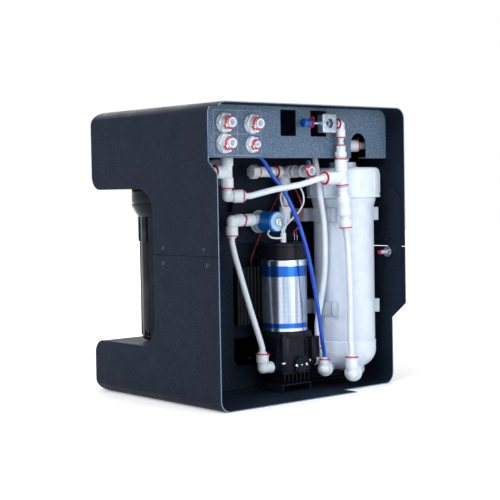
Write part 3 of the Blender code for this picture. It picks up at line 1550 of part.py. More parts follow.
def pump_end_cap():
    """Black end cap with a groove near its rim, two terminals and the upper bearing's bore."""
    low, high = CAP_GROOVE_Z
    bottom = CAN_TOP + GAP
    bore = clear_radius(SHAFT_RADIUS, ROUND_STEPS)
    profile = [
        (0.0, CAP_TOP),
        (CAP_RADIUS - COLLAR_CHAMFER * 2, CAP_TOP),
        (CAP_RADIUS, CAP_TOP - COLLAR_CHAMFER * 2),
        (CAP_RADIUS, high),
        (CAP_GROOVE_RADIUS, high),
        (CAP_GROOVE_RADIUS, low),
        (CAP_RADIUS, low),
        (CAP_RADIUS, bottom),
        (bore, bottom),
        (bore, SHAFT_Z[1] + GAP),
        (0.0, SHAFT_Z[1] + GAP),
    ]
    made = turned(profile, (PUMP_X, PUMP_Y, 0.0), steps=ROUND_STEPS)
    terminals = [
        rod((x, y, CAP_TOP - OVERLAP), (x, y, TERMINAL_TOP), TERMINAL_RADIUS) for x, y in TERMINALS_XY
    ]
    return as_part(joined(made, *terminals), "pump_end_cap", "black_plastic")


def pump_rotor():
    """Rotor and shaft, carried in the end cap and the pump head."""
    profile = [
        (0.0, SHAFT_Z[1]),
        (SHAFT_RADIUS, SHAFT_Z[1]),
        (SHAFT_RADIUS, ROTOR_Z[1]),
        (ROTOR_RADIUS, ROTOR_Z[1]),
        (ROTOR_RADIUS, ROTOR_Z[0]),
        (SHAFT_RADIUS, ROTOR_Z[0]),
        (SHAFT_RADIUS, SHAFT_Z[0]),
        (0.0, SHAFT_Z[0]),
    ]
    return as_part(turned(profile, (PUMP_X, PUMP_Y, 0.0)), "pump_rotor", "zinc_steel")


def pump_head():
    """Pump head: flange, square chambered body, bolt columns, ports, switch and cooling fins."""
    flange = rod(
        (PUMP_X, PUMP_Y, HEAD_FLANGE_BOTTOM), (PUMP_X, PUMP_Y, HEAD_TOP), HEAD_FLANGE_RADIUS, ROUND_STEPS
    )
    body = block(
        (PUMP_X - HEAD_HALF, PUMP_Y - HEAD_HALF, HEAD_BOTTOM),
        (PUMP_X + HEAD_HALF, PUMP_Y + HEAD_HALF, HEAD_FLANGE_BOTTOM + OVERLAP),
        HEAD_CORNER,
        Z_AXIS,
    )
    pieces = [body]
    for side_x in (-1, 1):
        for side_y in (-1, 1):
            x = PUMP_X + side_x * HEAD_COLUMN_OFFSET
            y = PUMP_Y + side_y * HEAD_COLUMN_OFFSET
            top = HEAD_TOP - OVERLAP
            pieces.append(
                rod((x, y, HEAD_COLUMN_BOTTOM), (x, y, top), HEAD_COLUMN_RADIUS, HEX_SIDES)
            )
    first = PUMP_X - FIN_PITCH * (FIN_COUNT - 1) / 2
    for index in range(FIN_COUNT):
        x = first + index * FIN_PITCH
        pieces.append(
            block(
                (x - FIN_THICKNESS / 2, PUMP_Y - FIN_HALF_DEPTH, FIN_BOTTOM),
                (x + FIN_THICKNESS / 2, PUMP_Y + FIN_HALF_DEPTH, FIN_TOP),
            )
        )
    for end, (_, y, z) in ((PORT_LEFT_X, ELBOW_PUMP_LEFT), (PORT_RIGHT_X, ELBOW_PUMP_RIGHT)):
        pieces.append(rod((PUMP_X, y, z), (end, y, z), PORT_RADIUS))
    near, far = zip(SWITCH_X, SWITCH_Y, SWITCH_Z)
    pieces.append(block(near, far, COLLAR_CHAMFER, Z_AXIS))
    low, high = HEAD_PANEL_Z
    front = PUMP_Y + HEAD_HALF
    left = PUMP_X + HEAD_HALF
    recesses = [
        block(
            (PUMP_X - HEAD_PANEL_HALF, front - HEAD_PANEL_DEPTH, low),
            (PUMP_X + HEAD_PANEL_HALF, front + CLEAR, high),
        ),
        block(
            (left - HEAD_PANEL_DEPTH, PUMP_Y - HEAD_PANEL_HALF, low),
            (left + CLEAR, PUMP_Y + HEAD_PANEL_HALF, high),
        ),
    ]
    bearing = rod(
        (PUMP_X, PUMP_Y, SHAFT_Z[0] - GAP),
        (PUMP_X, PUMP_Y, HEAD_TOP + CLEAR),
        clear_radius(SHAFT_RADIUS, ARM_STEPS),
    )
    head = joined(cut(joined(flange, *pieces), *recesses, bearing), pump_cover())
    return as_part(head, "pump_head", "black_plastic")


def pump_cover():
    """Lobed adjuster cover that stands on the head's rear face."""
    points = []
    for index in range(COVER_LOBES * 4):
        angle = math.tau * index / (COVER_LOBES * 4)
        radius = COVER_RADIUS + COVER_LOBE * math.cos(COVER_LOBES * angle)
        points.append((radius * math.cos(angle), radius * math.sin(angle)))
    x, z = COVER_XZ
    middle = PUMP_Y + HEAD_HALF + COVER_THICKNESS / 2
    return sheet_outline(points, COVER_THICKNESS + OVERLAP, (x, middle, z), X_AXIS, Z_AXIS)


def elbow_pump(name, at, reach, port, turn):
    """Elbow from a pump port up to its tube."""
    up = arm(LARGE, at, Z_AXIS, reach, first=True, turn=turn)
    run = port - at[0]
    inward = plain_arm(LARGE.body * ARM_SHRINK_SHARE, at, X_AXIS * run, abs(run) - GAP)
    return as_part(assembled(up, [inward]), name, "white_plastic")


def pump_bracket():
    """Folded channel under the fins, standing on the floor."""
    low = INNER_BOTTOM
    middle = (BRACKET_X[0] + BRACKET_X[1]) / 2
    half = (BRACKET_X[1] - BRACKET_X[0]) / 2
    inner = half - BRACKET_THICKNESS
    top = BRACKET_TOP
    under = top - BRACKET_THICKNESS
    outline = [
        (-half, low),
        (-half, top),
        (half, top),
        (half, low),
        (inner, low),
        (inner, under),
        (-inner, under),
        (-inner, low),
    ]
    depth = BRACKET_Y[1] - BRACKET_Y[0]
    made = sheet_outline(
        list(reversed(outline)), depth, (middle, sum(BRACKET_Y) / 2, 0.0), X_AXIS, Z_AXIS
    )
    return as_part(made, "pump_bracket", "coated_steel")


# Membrane housing

PORT_OUT = Vector((math.cos(PORT_TURN), math.sin(PORT_TURN), 0.0))
PORT_ACROSS = Vector((-PORT_OUT.y, PORT_OUT.x, 0.0))
HOUSING = Vector((HOUSING_X, HOUSING_Y, 0.0))


def port_boss(side, height):
    """Boss for one of the two ports low on the housing."""
    base = HOUSING + PORT_ACROSS * side * PORT_SPACING + Z_AXIS * height
    return rod(base + PORT_OUT * PORT_BOSS_START, base + PORT_OUT * PORT_BOSS_END, PORT_BOSS_RADIUS)


def membrane_housing():
    """White housing with a domed foot, a seam, a conical neck and two low ports."""
    rise = HOUSING_DOME_TOP - HOUSING_BOTTOM
    dome = [
        (HOUSING_BASE_RADIUS * x, HOUSING_DOME_TOP + rise * z)
        for x, z in arc((0, 0), 1.0, 0.0, -math.pi / 2, DOME_STEPS)
    ]
    profile = [
        (0.0, HOUSING_FLOOR),
        (HOUSING_BORE, HOUSING_FLOOR),
        (HOUSING_BORE, HOUSING_TOP),
        (HOUSING_THREAD_RADIUS, HOUSING_TOP),
        (HOUSING_THREAD_RADIUS, HOUSING_NECK_Z[1]),
        (HOUSING_NECK_RADIUS, HOUSING_NECK_Z[1]),
        (HOUSING_RADIUS, HOUSING_NECK_Z[0]),
        (HOUSING_RADIUS, HOUSING_SEAM),
        (HOUSING_BASE_RADIUS, HOUSING_SEAM),
        *dome[:-1],
        (0.0, HOUSING_BOTTOM),
    ]
    body = turned(profile, HOUSING, steps=ROUND_STEPS)
    bosses = [port_boss(-1, PERMEATE_Z), port_boss(1, BRINE_Z)]
    return as_part(joined(body, *bosses), "membrane_housing", "white_plastic")


def membrane_element():
    """Wound membrane element inside the housing."""
    low = (HOUSING_X, HOUSING_Y, HOUSING_FLOOR + GAP)
    high = (HOUSING_X, HOUSING_Y, MEMBRANE_TOP)
    return as_part(rod(low, high, MEMBRANE_RADIUS, ROUND_STEPS), "membrane_element", "membrane")


def membrane_cap():
    """Ribbed screw cap with a fillet round its crown and a hexagonal boss."""
    shoulder = CAP_SHOULDER_Z - OVERLAP
    root = CAP_ROOT - OVERLAP
    crown = [
        (0.0, CAP_CROWN_Z),
        *arc(
            (root - CAP_FILLET, CAP_CROWN_Z - CAP_FILLET), CAP_FILLET, math.pi / 2, 0.0, BEND_STEPS
        ),
        (root, shoulder),
        (0.0, shoulder),
    ]
    ribs = toothed(CAP_ROOT, CAP_OUTER, CAP_RIBS, CAP_RIB_SHARE)
    belt = sheet_outline(
        ribs,
        CAP_SHOULDER_Z - CAP_BASE_Z,
        HOUSING + Z_AXIS * (CAP_SHOULDER_Z + CAP_BASE_Z) / 2,
        X_AXIS,
        Y_AXIS,
    )
    room = rod(
        HOUSING + Z_AXIS * (CAP_BASE_Z - CLEAR),
        HOUSING + Z_AXIS * (HOUSING_TOP + GAP),
        HOUSING_THREAD_RADIUS + GAP,
        ROUND_STEPS,
    )
    boss = rod(
        HOUSING + Z_AXIS * (CAP_CROWN_Z - OVERLAP),
        HOUSING + Z_AXIS * CAP_BOSS_TOP,
        CAP_BOSS_RADIUS,
        HEX_SIDES,
    )
    top = turned(crown, HOUSING, steps=ROUND_STEPS)
    return as_part(joined(cut(belt, room), top, boss), "membrane_cap", "white_plastic")


def housing_cradle(low, high):
    """Open C-shaped clip round the housing, with lugs at its mouth and a foot on the partition."""
    quarter = math.pi / 2
    start, end = quarter + CRADLE_HALF_OPENING, quarter + math.tau - CRADLE_HALF_OPENING
    inner = (HOUSING_RADIUS + GAP) / math.cos((end - start) / CRADLE_ARC_STEPS / 2)
    outer = inner + CRADLE_THICKNESS
    lug = CRADLE_LUG / outer
    lug_radius = outer + CRADLE_THICKNESS
    points = [
        *arc((0, 0), lug_radius, start, start + lug, 1),
        *arc((0, 0), outer, start + lug, end - lug, CRADLE_ARC_STEPS),
        *arc((0, 0), lug_radius, end - lug, end, 1),
        *arc((0, 0), inner, end, start, CRADLE_ARC_STEPS),
    ]
    height = high - low
    middle = Z_AXIS * (low + high) / 2
    ring = sheet_outline(points, height, HOUSING + middle, X_AXIS, Y_AXIS)
    back = PARTITION_FACE_Y + GAP
    foot = block(
        (CRADLE_BASE_X[0], back, low),
        (CRADLE_BASE_X[1], HOUSING_Y - inner * math.cos(quarter / 2), high),
    )
    room = rod(
        HOUSING + Z_AXIS * (low - CLEAR),
        HOUSING + Z_AXIS * (high + CLEAR),
        inner + CRADLE_THICKNESS / 2,
        ROUND_STEPS,
    )
    return joined(cut(foot, room), ring)


def housing_clips():
    """The two cradles that hold the membrane housing."""
    for name, levels in zip(("housing_clip_lower", "housing_clip_upper"), CRADLE_Z):
        as_part(housing_cradle(*levels), name, "grey_plastic")


def elbow_port(name, side, height, up, flange_radius):
    """Elbow on one of the housing's low ports, with its flange against the boss; returns its centre."""
    base = HOUSING + PORT_ACROSS * side * PORT_SPACING + Z_AXIS * height
    at = base + PORT_OUT * (PORT_BOSS_END + GAP + ELBOW_PORT_REACH)
    size = LARGE if side > 0 else SMALL
    rise = arm(size, at, Z_AXIS, up, first=True, turn=CLIP_TURNS["port_elbow"])
    inward = plain_arm(LARGE.body * ARM_SHRINK_SHARE, at, -PORT_OUT, ELBOW_PORT_REACH)
    end = base + PORT_OUT * (PORT_BOSS_END + GAP)
    flange = rod(end, end + PORT_OUT * PORT_FLANGE_THICKNESS, flange_radius, MID_STEPS)
    knuckle = turned(
        [
            (0.0, KNUCKLE_RADIUS),
            (KNUCKLE_RADIUS * DOME_SHARE, KNUCKLE_RADIUS * ARM_SHRINK_SHARE),
            (KNUCKLE_RADIUS, KNUCKLE_RADIUS * DOME_SHARE / 2),
            (KNUCKLE_RADIUS, -LARGE.body),
            (0.0, -LARGE.body),
        ],
        at,
        PORT_OUT,
    )
    as_part(assembled([flange, inward, knuckle], rise), name, "white_plastic")
    return at


# Feed tee over the membrane cap

FEED_ALONG = Vector((math.cos(FEED_TURN), math.sin(FEED_TURN), 0.0))


def feed_tee():
    """Tee over the cap, with its branch toward the feed tube and a plugged branch opposite."""
    at = HOUSING + Z_AXIS * FEED_Z
    branch = arm(LARGE, at, FEED_ALONG, FEED_REACH, first=True, turn=CLIP_TURNS["feed_tee"])
    other = arm(LARGE, at, -FEED_ALONG, FEED_REACH, turn=CLIP_TURNS["feed_tee"])
    down = plain_arm(LARGE.body * ARM_SHRINK_SHARE, at, -Z_AXIS, FEED_DOWN)
    return as_part(assembled(branch, other, [down]), "feed_tee", "white_plastic")


def feed_plug():
    """Grey blanking plug in the tee's other branch."""
    start = mouth(HOUSING + Z_AXIS * FEED_Z, -FEED_ALONG, FEED_REACH)
    made = rod(start, start - FEED_ALONG * PLUG_LENGTH, PLUG_RADIUS)
    return as_part(made, "feed_plug", "grey_plastic")


# Cartridges


def cartridge_mesh():
    """Glossy cartridge: neck, wide collar, shoulder, grip ribs and a filleted foot."""
    top = CEILING_Z - GAP
    low, high = CARTRIDGE_GRIP_Z
    fillet = arc(
        (CARTRIDGE_FOOT_RADIUS - CARTRIDGE_FOOT_FILLET, CARTRIDGE_BOTTOM + CARTRIDGE_FOOT_FILLET),
        CARTRIDGE_FOOT_FILLET,
        0.0,
        -math.pi / 2,
        2,
    )
    profile = [
        (0.0, CARTRIDGE_NECK_TOP),
        (CARTRIDGE_NECK, CARTRIDGE_NECK_TOP),
        (CARTRIDGE_NECK, top),
        (CARTRIDGE_COLLAR, top),
        (CARTRIDGE_COLLAR, CARTRIDGE_COLLAR_BOTTOM),
        (CARTRIDGE_SHOULDER, CARTRIDGE_SHOULDER_Z),
        (CARTRIDGE_GRIP_ROOT, high),
        (CARTRIDGE_GRIP_ROOT, low),
        *fillet,
        (0.0, CARTRIDGE_BOTTOM),
    ]
    body = turned(profile, (0.0, CARTRIDGE_Y, 0.0), steps=ROUND_STEPS)
    ribs = toothed(CARTRIDGE_GRIP_ROOT - OVERLAP, CARTRIDGE_GRIP_TIP, CARTRIDGE_GRIPS, GRIP_SHARE)
    belt = sheet_outline(
        ribs, high - low, (0.0, CARTRIDGE_Y, (low + high) / 2), X_AXIS, Y_AXIS
    )
    return meshed(joined(body, belt))


def cartridges():
    """Three cartridges in a row, each with its origin on its own axis."""
    pattern = cartridge_mesh()
    pattern.data.transform(Matrix.Translation((0.0, -CARTRIDGE_Y, 0.0)) @ pattern.matrix_world)
    for index, x in enumerate(CARTRIDGE_XS, 1):
        copy = link_object(f"cartridge_{index}", pattern.data.copy())
        copy.location = (x, CARTRIDGE_Y, 0.0)
        as_part(copy, f"cartridge_{index}", "gloss_black")
    bpy.data.objects.remove(pattern, do_unlink=True)


def filter_manifold():
    """Three bored heads above the recess, joined by a bar."""
    bar = block(
        (CARTRIDGE_XS[0], CARTRIDGE_Y - MANIFOLD_BAR_HALF, MANIFOLD_BAR_Z[0]),
        (CARTRIDGE_XS[-1], CARTRIDGE_Y + MANIFOLD_BAR_HALF, MANIFOLD_BAR_Z[1]),
    )
    heads, bores = [], []
    for x in CARTRIDGE_XS:
        foot = (x, CARTRIDGE_Y, MANIFOLD_BASE_Z)
        heads.append(rod(foot, (x, CARTRIDGE_Y, MANIFOLD_TOP), MANIFOLD_HEAD, MID_STEPS))
        bores.append(
            rod(
                (x, CARTRIDGE_Y, MANIFOLD_BASE_Z - CLEAR),
                (x, CARTRIDGE_Y, CARTRIDGE_NECK_TOP + GAP),
                clear_radius(CARTRIDGE_NECK, ROUND_STEPS),
                ROUND_STEPS,
            )
        )
    return as_part(cut(joined(bar, *heads), *bores), "filter_manifold", "white_plastic")


# Power adapter


def power_adapter():
    """Ribbed black adapter that stands in the partition's opening."""
    back, front = ADAPTER_Y
    width = ADAPTER_X[1] - ADAPTER_X[0]
    pitch = width / ADAPTER_RIBS
    points = [(ADAPTER_X[0], back), (ADAPTER_X[1], back)]
    for index in range(ADAPTER_RIBS, 0, -1):
        right = ADAPTER_X[0] + index * pitch
        points += [
            (right, front - ADAPTER_RIB_DEPTH),
            (right - pitch / 4, front),
            (right - pitch * 3 / 4, front),
        ]
    points.append((ADAPTER_X[0], front - ADAPTER_RIB_DEPTH))
    low, high = ADAPTER_Z
    made = sheet_outline(points, high - low, (0.0, 0.0, (low + high) / 2), X_AXIS, Y_AXIS)
    return as_part(made, "power_adapter", "black_plastic")


# Tubes and wires

STRAIGHT = 0.006
TUBE_SPACING = 5
WIRE_SPACING = 6


def tube_between(start, start_out, knots, end, end_out, radius):
    """Tube that leaves one mouth and enters another square to both."""
    start, end = Vector(start), Vector(end)
    route = [start, start + Vector(start_out).normalized() * STRAIGHT, *knots]
    route += [end + Vector(end_out).normalized() * STRAIGHT, end]
    return tube(route, radius, radius * TUBE_SPACING)


def tube_brine():
    """White tube from the non-return valve down to the brine elbow."""
    groove = CHECK_LEVELS[-1] - STACK_TEE_Z
    start = STACK_TEE + STACK_UP * (groove - CLIP_THICKNESS - COLLET_THICKNESS - GAP)
    end = mouth(ELBOWS["brine"], Z_AXIS, BRINE_UP)
    made = tube_between(start, -STACK_UP, ROUTE_BRINE, end, Z_AXIS, LARGE_TUBE)
    return as_part(made, "tube_brine", "white_tube")


def tube_permeate():
    """Blue tube from the small bulkhead down to the permeate elbow."""
    x, z = BULKHEAD_SMALL_XZ
    start = Vector((x, BULKHEAD_INNER - GAP, z))
    end = mouth(ELBOWS["permeate"], Z_AXIS, PERMEATE_UP)
    made = tube_between(start, -Y_AXIS, ROUTE_PERMEATE, end, Z_AXIS, SMALL_TUBE)
    return as_part(made, "tube_permeate", "blue_tube")


def tube_a():
    """White tube from the left elbow to the stack's tee."""
    direction = Vector((math.cos(ELBOW_A_TURN), math.sin(ELBOW_A_TURN), 0.0))
    start = mouth(ELBOW_A, direction, ELBOW_A_REACH)
    end = mouth(STACK_TEE + Z_AXIS * STACK_TEE_LEFT_Z, X_AXIS, STACK_TEE_LEFT)
    made = tube_between(start, direction, ROUTE_A, end, X_AXIS, LARGE_TUBE)
    return as_part(made, "tube_a", "white_tube")


def tube_links():
    """White tubes from the left tee up to two bulkheads behind the panel."""
    top = mouth(LEFT_TEE, Z_AXIS, LEFT_TEE_UP)
    side = mouth(LEFT_TEE, X_AXIS, LEFT_TEE_SIDE)
    ends = [Vector((x, BULKHEAD_INNER - GAP, z)) for x, z in BULKHEAD_LARGE_XZ]
    up = tube_between(top, Z_AXIS, ROUTE_LINK_UP, ends[1], -Y_AXIS, LARGE_TUBE)
    as_part(up, "tube_link_up", "white_tube")
    outer = tube_between(side, X_AXIS, ROUTE_LINK_SIDE, ends[2], -Y_AXIS, LARGE_TUBE)
    as_part(outer, "tube_link_side", "white_tube")


def tube_c():
    """White tube from the solenoid's left elbow to the pump's left elbow."""
    start = mouth(ELBOW_OUT, -Z_AXIS, ELBOW_OUT_DOWN)
    end = mouth(ELBOW_PUMP_LEFT, Z_AXIS, ELBOW_PUMP_LEFT_UP)
    made = tube_between(start, -Z_AXIS, ROUTE_C, end, Z_AXIS, LARGE_TUBE)
    return as_part(made, "tube_c", "white_tube")


def tube_d():
    """White tube from the pump's right elbow up to the feed tee."""
    start = mouth(ELBOW_PUMP_RIGHT, Z_AXIS, ELBOW_PUMP_RIGHT_UP)
    end = mouth(HOUSING + Z_AXIS * FEED_Z, FEED_ALONG, FEED_REACH)
    made = tube_between(start, Z_AXIS, ROUTE_D, end, FEED_ALONG, LARGE_TUBE)
    return as_part(made, "tube_d", "white_tube")


def tube_e():
    """Short white tube from the valve tee down to the solenoid."""
    start = mouth(VALVE_TEE, -Z_AXIS, VALVE_TEE_DOWN)
    end = mouth(ELBOW_IN, Z_AXIS, ELBOW_IN_UP)
    return as_part(tube_between(start, -Z_AXIS, (), end, Z_AXIS, LARGE_TUBE), "tube_e", "white_tube")


def lead_loom():
    """Push connector on the pump, with the slack loop of the white lead and the coil's own lead."""
    x, y = CONNECTOR_AT
    plug_base = CAP_TOP + GAP
    plug = rod((x, y, plug_base), (x, y, PLUG_TOP), CONNECTOR_RADIUS)
    spread = CONNECTOR_RADIUS / 2
    spacing = LEAD_RADIUS * WIRE_SPACING
    first = Vector((x - spread, y, PLUG_TOP - OVERLAP))
    last = Vector((x + spread, y, PLUG_TOP - OVERLAP))
    rise = Z_AXIS * STRAIGHT
    loop = tube([first, first + rise, *LEAD_LOOP, last + rise, last], LEAD_RADIUS, spacing)
    end = Vector((x + CONNECTOR_RADIUS / 2, y, (plug_base + PLUG_TOP) / 2))
    coil = tube([LEAD_COIL_START, *LEAD_COIL, end], LEAD_RADIUS, spacing)
    return as_part(joined(plug, loop, coil), "lead_loom", "wire")


def lead_pump():
    """Twin lead from a boot over the pump's terminals to a sleeve on the adapter."""
    top = ADAPTER_Z[1] + GAP
    end_x, end_y = LEAD_PUMP_END
    sleeve = rod((end_x, end_y, top), (end_x, end_y, top + STRAIGHT), 2 * TWIN_RADIUS)
    (first_x, y), (last_x, _) = TERMINALS_XY
    base = TERMINAL_TOP + GAP
    boot = block(
        (last_x - TERMINAL_RADIUS, y - TERMINAL_RADIUS, base),
        (first_x + TERMINAL_RADIUS, y + TERMINAL_RADIUS, base + STRAIGHT),
    )
    start = Vector(((first_x + last_x) / 2, y, base + STRAIGHT / 2))
    goal = Vector((end_x, end_y, top + STRAIGHT / 2))
    rise = Z_AXIS * STRAIGHT
    route = [start, start + rise, *LEAD_PUMP, goal + rise, goal]
    twin = tube(route, TWIN_RADIUS, TWIN_RADIUS * WIRE_SPACING)
    return as_part(joined(sleeve, twin, boot), "lead_pump", "wire")


def shade_parts():
    """Shade round faces smooth and keep the sharper edges crisp."""
    bpy.context.view_layer.update()
    for item in PARTS.objects:
        item.data.shade_smooth()
        item.data.set_sharp_from_angle(angle=SHARP_ANGLE)


clear_scene()
PARTS = new_collection(PART_NAME)
CUTTERS = new_collection("cutters")
ELBOWS = {}

upper_cover()
lower_tray()
front_fascia()
connection_panel()
partition()
side_straps()
bulkheads()
valve_block()
valve_spindle()
blue_union()
stack_elbow()
stack_connector()
stack_tee()
check_valve()
left_tee()
elbow_a()
ball_valve_body()
ball_valve_lever()
valve_tee()
side_barrel()
solenoid_body()
solenoid_coil()
solenoid_plunger()
elbow_solenoid_out()
elbow_solenoid_in()
pump_motor_can()
pump_end_cap()
pump_rotor()
pump_head()
elbow_pump(
    "elbow_pump_left", ELBOW_PUMP_LEFT, ELBOW_PUMP_LEFT_UP, PORT_LEFT_X, CLIP_TURNS["pump_left"]
)
elbow_pump(
    "elbow_pump_right", ELBOW_PUMP_RIGHT, ELBOW_PUMP_RIGHT_UP, PORT_RIGHT_X, CLIP_TURNS["pump_right"]
)
pump_bracket()
membrane_housing()
membrane_element()
membrane_cap()
housing_clips()
ELBOWS["permeate"] = elbow_port(
    "elbow_permeate", -1, PERMEATE_Z, PERMEATE_UP, PERMEATE_FLANGE_RADIUS
)
ELBOWS["brine"] = elbow_port("elbow_brine", 1, BRINE_Z, BRINE_UP, BRINE_FLANGE_RADIUS)
feed_tee()
feed_plug()
cartridges()
filter_manifold()
power_adapter()
tube_brine()
tube_permeate()
tube_a()
tube_c()
tube_d()
tube_e()
tube_links()
lead_loom()
lead_pump()
shade_parts()
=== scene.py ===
"""Looks of the reverse osmosis unit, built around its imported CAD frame.

Every size is in metres in the frame's own axes: +Z up, the open service bay
faces +Y and the cartridge recess faces -Y.
"""

import logging
from dataclasses import dataclass
from enum import Enum
from math import copysign, cos, pi, radians, sin, tau
from typing import Iterable, Optional, Sequence, Union

import bmesh
import bpy
from mathutils import Matrix, Vector

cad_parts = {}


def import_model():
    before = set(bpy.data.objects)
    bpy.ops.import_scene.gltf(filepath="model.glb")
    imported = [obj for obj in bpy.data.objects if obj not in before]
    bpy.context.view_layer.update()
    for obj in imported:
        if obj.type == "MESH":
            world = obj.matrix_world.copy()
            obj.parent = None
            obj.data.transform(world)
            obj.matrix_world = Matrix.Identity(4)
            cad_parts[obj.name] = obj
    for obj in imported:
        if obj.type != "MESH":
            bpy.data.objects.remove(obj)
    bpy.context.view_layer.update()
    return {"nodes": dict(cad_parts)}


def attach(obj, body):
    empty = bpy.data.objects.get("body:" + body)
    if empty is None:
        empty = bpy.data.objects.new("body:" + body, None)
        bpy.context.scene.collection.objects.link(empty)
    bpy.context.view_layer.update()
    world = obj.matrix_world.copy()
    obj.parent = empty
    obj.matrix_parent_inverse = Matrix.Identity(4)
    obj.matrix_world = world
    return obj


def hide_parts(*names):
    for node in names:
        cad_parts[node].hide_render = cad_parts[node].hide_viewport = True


LOG = logging.getLogger("reverse_osmosis_unit")
Piece = bpy.types.Object
Socket = bpy.types.NodeSocket
Point = Sequence[float]
Pair = tuple[float, float]
Triple = tuple[float, float, float]
Outline = list[Pair]
X = Vector((1.0, 0.0, 0.0))
Y = Vector((0.0, 1.0, 0.0))
Z = Vector((0.0, 0.0, 1.0))
MM = 0.001
QUARTER = pi / 2


class Body(Enum):
    """Bodies of the frame that a piece can ride on."""

    UNIT = "unit"
    CARTRIDGE_1 = "cartridge_1"
    CARTRIDGE_2 = "cartridge_2"
    CARTRIDGE_3 = "cartridge_3"
    BALL_LEVER = "ball_lever"
    NEEDLE = "needle_spindle"


class Slot(Enum):
    """Material slots of the record."""

    STEEL = "coated_steel"
    ZINC = "zinc_steel"
    WHITE = "white_plastic"
    GREY = "grey_plastic"
    BLUE = "blue_plastic"
    LIGHT_BLUE = "light_blue_plastic"
    BLACK = "black_plastic"
    GLOSS = "gloss_black"
    TUBE = "white_tube"
    BLUE_TUBE = "blue_tube"
    CAN = "brushed_can"
    WIRE = "wire"


# Finishes


def linear(code: str) -> tuple[float, float, float, float]:
    """Turn an sRGB hex code into linear colour.

    Args:
        code: six hex digits.

    Returns:
        Linear red, green, blue and an alpha of one.
    """
    parts = [int(code[index : index + 2], 16) / 255 for index in (0, 2, 4)]
    red, green, blue = (
        part / 12.92 if part <= 0.04045 else ((part + 0.055) / 1.055) ** 2.4 for part in parts
    )
    return (red, green, blue, 1.0)


def add_node(
    tree: bpy.types.NodeTree, kind: str, settings: Optional[dict] = None, links: Optional[dict] = None,
) -> bpy.types.Node:
    """Add a shader node with its settings and links.

    Args:
        tree: node tree to add to.
        kind: type of the node, after the word ShaderNode.
        settings: attribute or input name to value.
        links: input name or number to the socket that feeds it.

    Returns:
        The new node.
    """
    node = tree.nodes.new(f"ShaderNode{kind}")
    for key, value in (settings or {}).items():
        if isinstance(key, str) and hasattr(node, key):
            setattr(node, key, value)
        else:
            node.inputs[key].default_value = value
    for key, socket in (links or {}).items():
        tree.links.new(socket, node.inputs[key])
    return node


def per_metre(size_mm: float) -> float:
    """Texture scale that gives features of a size in millimetres on metre coordinates."""
    return 1.0 / (size_mm * MM)


class Surface:
    """Shared start of a finish: an empty material with a Principled shader and object coordinates."""

    def __init__(self, name: str) -> None:
        """Make the material and its first nodes.

        Args:
            name: name of the material.
        """
        self.material = bpy.data.materials.new(name)
        self.material.use_nodes = True
        self.tree = self.material.node_tree
        self.shader = self.tree.nodes["Principled BSDF"]
        self.where = add_node(self.tree, "TexCoord").outputs["Object"]

    def pattern(self, size_mm: float, detail: float = 2.0, stretch: Point = (1, 1, 1)) -> Socket:
        """Cloudy pattern whose features have a real size.

        Args:
            size_mm: size of one feature.
            detail: octaves of finer noise.
            stretch: share of the size along each axis.

        Returns:
            The pattern, from zero to one.
        """
        shares = [1.0 / part for part in stretch]
        scaled = add_node(self.tree, "Mapping", {"Scale": shares}, {"Vector": self.where})
        made = add_node(
            self.tree, "TexNoise", {"Scale": per_metre(size_mm), "Detail": detail, "Roughness": 0.55},
            {"Vector": scaled.outputs["Vector"]},
        )
        return made.outputs["Fac"]

    def blend(self, pattern: Socket, limits: Pair, first: Union[str, Socket], second: str) -> Socket:
        """Let a pattern blend two colours.

        Args:
            pattern: socket with the pattern.
            limits: its values at which the first colour ends and the second is full.
            first: hex code or colour socket.
            second: hex code.

        Returns:
            The blended colour.
        """
        scale = {"From Min": limits[0], "From Max": limits[1]}
        share = add_node(self.tree, "MapRange", scale, {"Value": pattern}).outputs["Result"]
        made = add_node(self.tree, "Mix", {"data_type": "RGBA"}, {"Factor": share})
        under, over = (socket for socket in made.inputs if socket.type == "RGBA")
        over.default_value = linear(second)
        if isinstance(first, str):
            under.default_value = linear(first)
        else:
            self.tree.links.new(first, under)
        return next(socket for socket in made.outputs if socket.type == "RGBA")

    def vary(self, name: str, pattern: Socket, limits: Pair, out: Pair) -> None:
        """Let a pattern, between two of its values, vary one of the shader's inputs."""
        scale = {"From Min": limits[0], "From Max": limits[1], "To Min": out[0], "To Max": out[1]}
        self.feed(name, add_node(self.tree, "MapRange", scale, {"Value": pattern}).outputs["Result"])

    def raise_skin(self, pattern: Socket, depth_mm: float, strength: float = 1.0) -> None:
        """Let a pattern raise the skin by a real depth, or by a share of it."""
        size = {"Strength": strength, "Distance": depth_mm * MM}
        self.feed("Normal", add_node(self.tree, "Bump", size, {"Height": pattern}).outputs["Normal"])

    def feed(self, name: str, socket: Socket) -> None:
        """Link a socket to one of the shader's inputs."""
        self.tree.links.new(socket, self.shader.inputs[name])

    def tint(self, pattern: Socket, limits: Pair, first: str, second: str) -> None:
        """Let a pattern blend two colours into the base colour."""
        self.feed("Base Color", self.blend(pattern, limits, first, second))

    def fix(self, **values: float) -> None:
        """Set constants on the shader's own sockets, with underscores for spaces."""
        for key, value in values.items():
            self.shader.inputs[key.replace("_", " ")].default_value = value


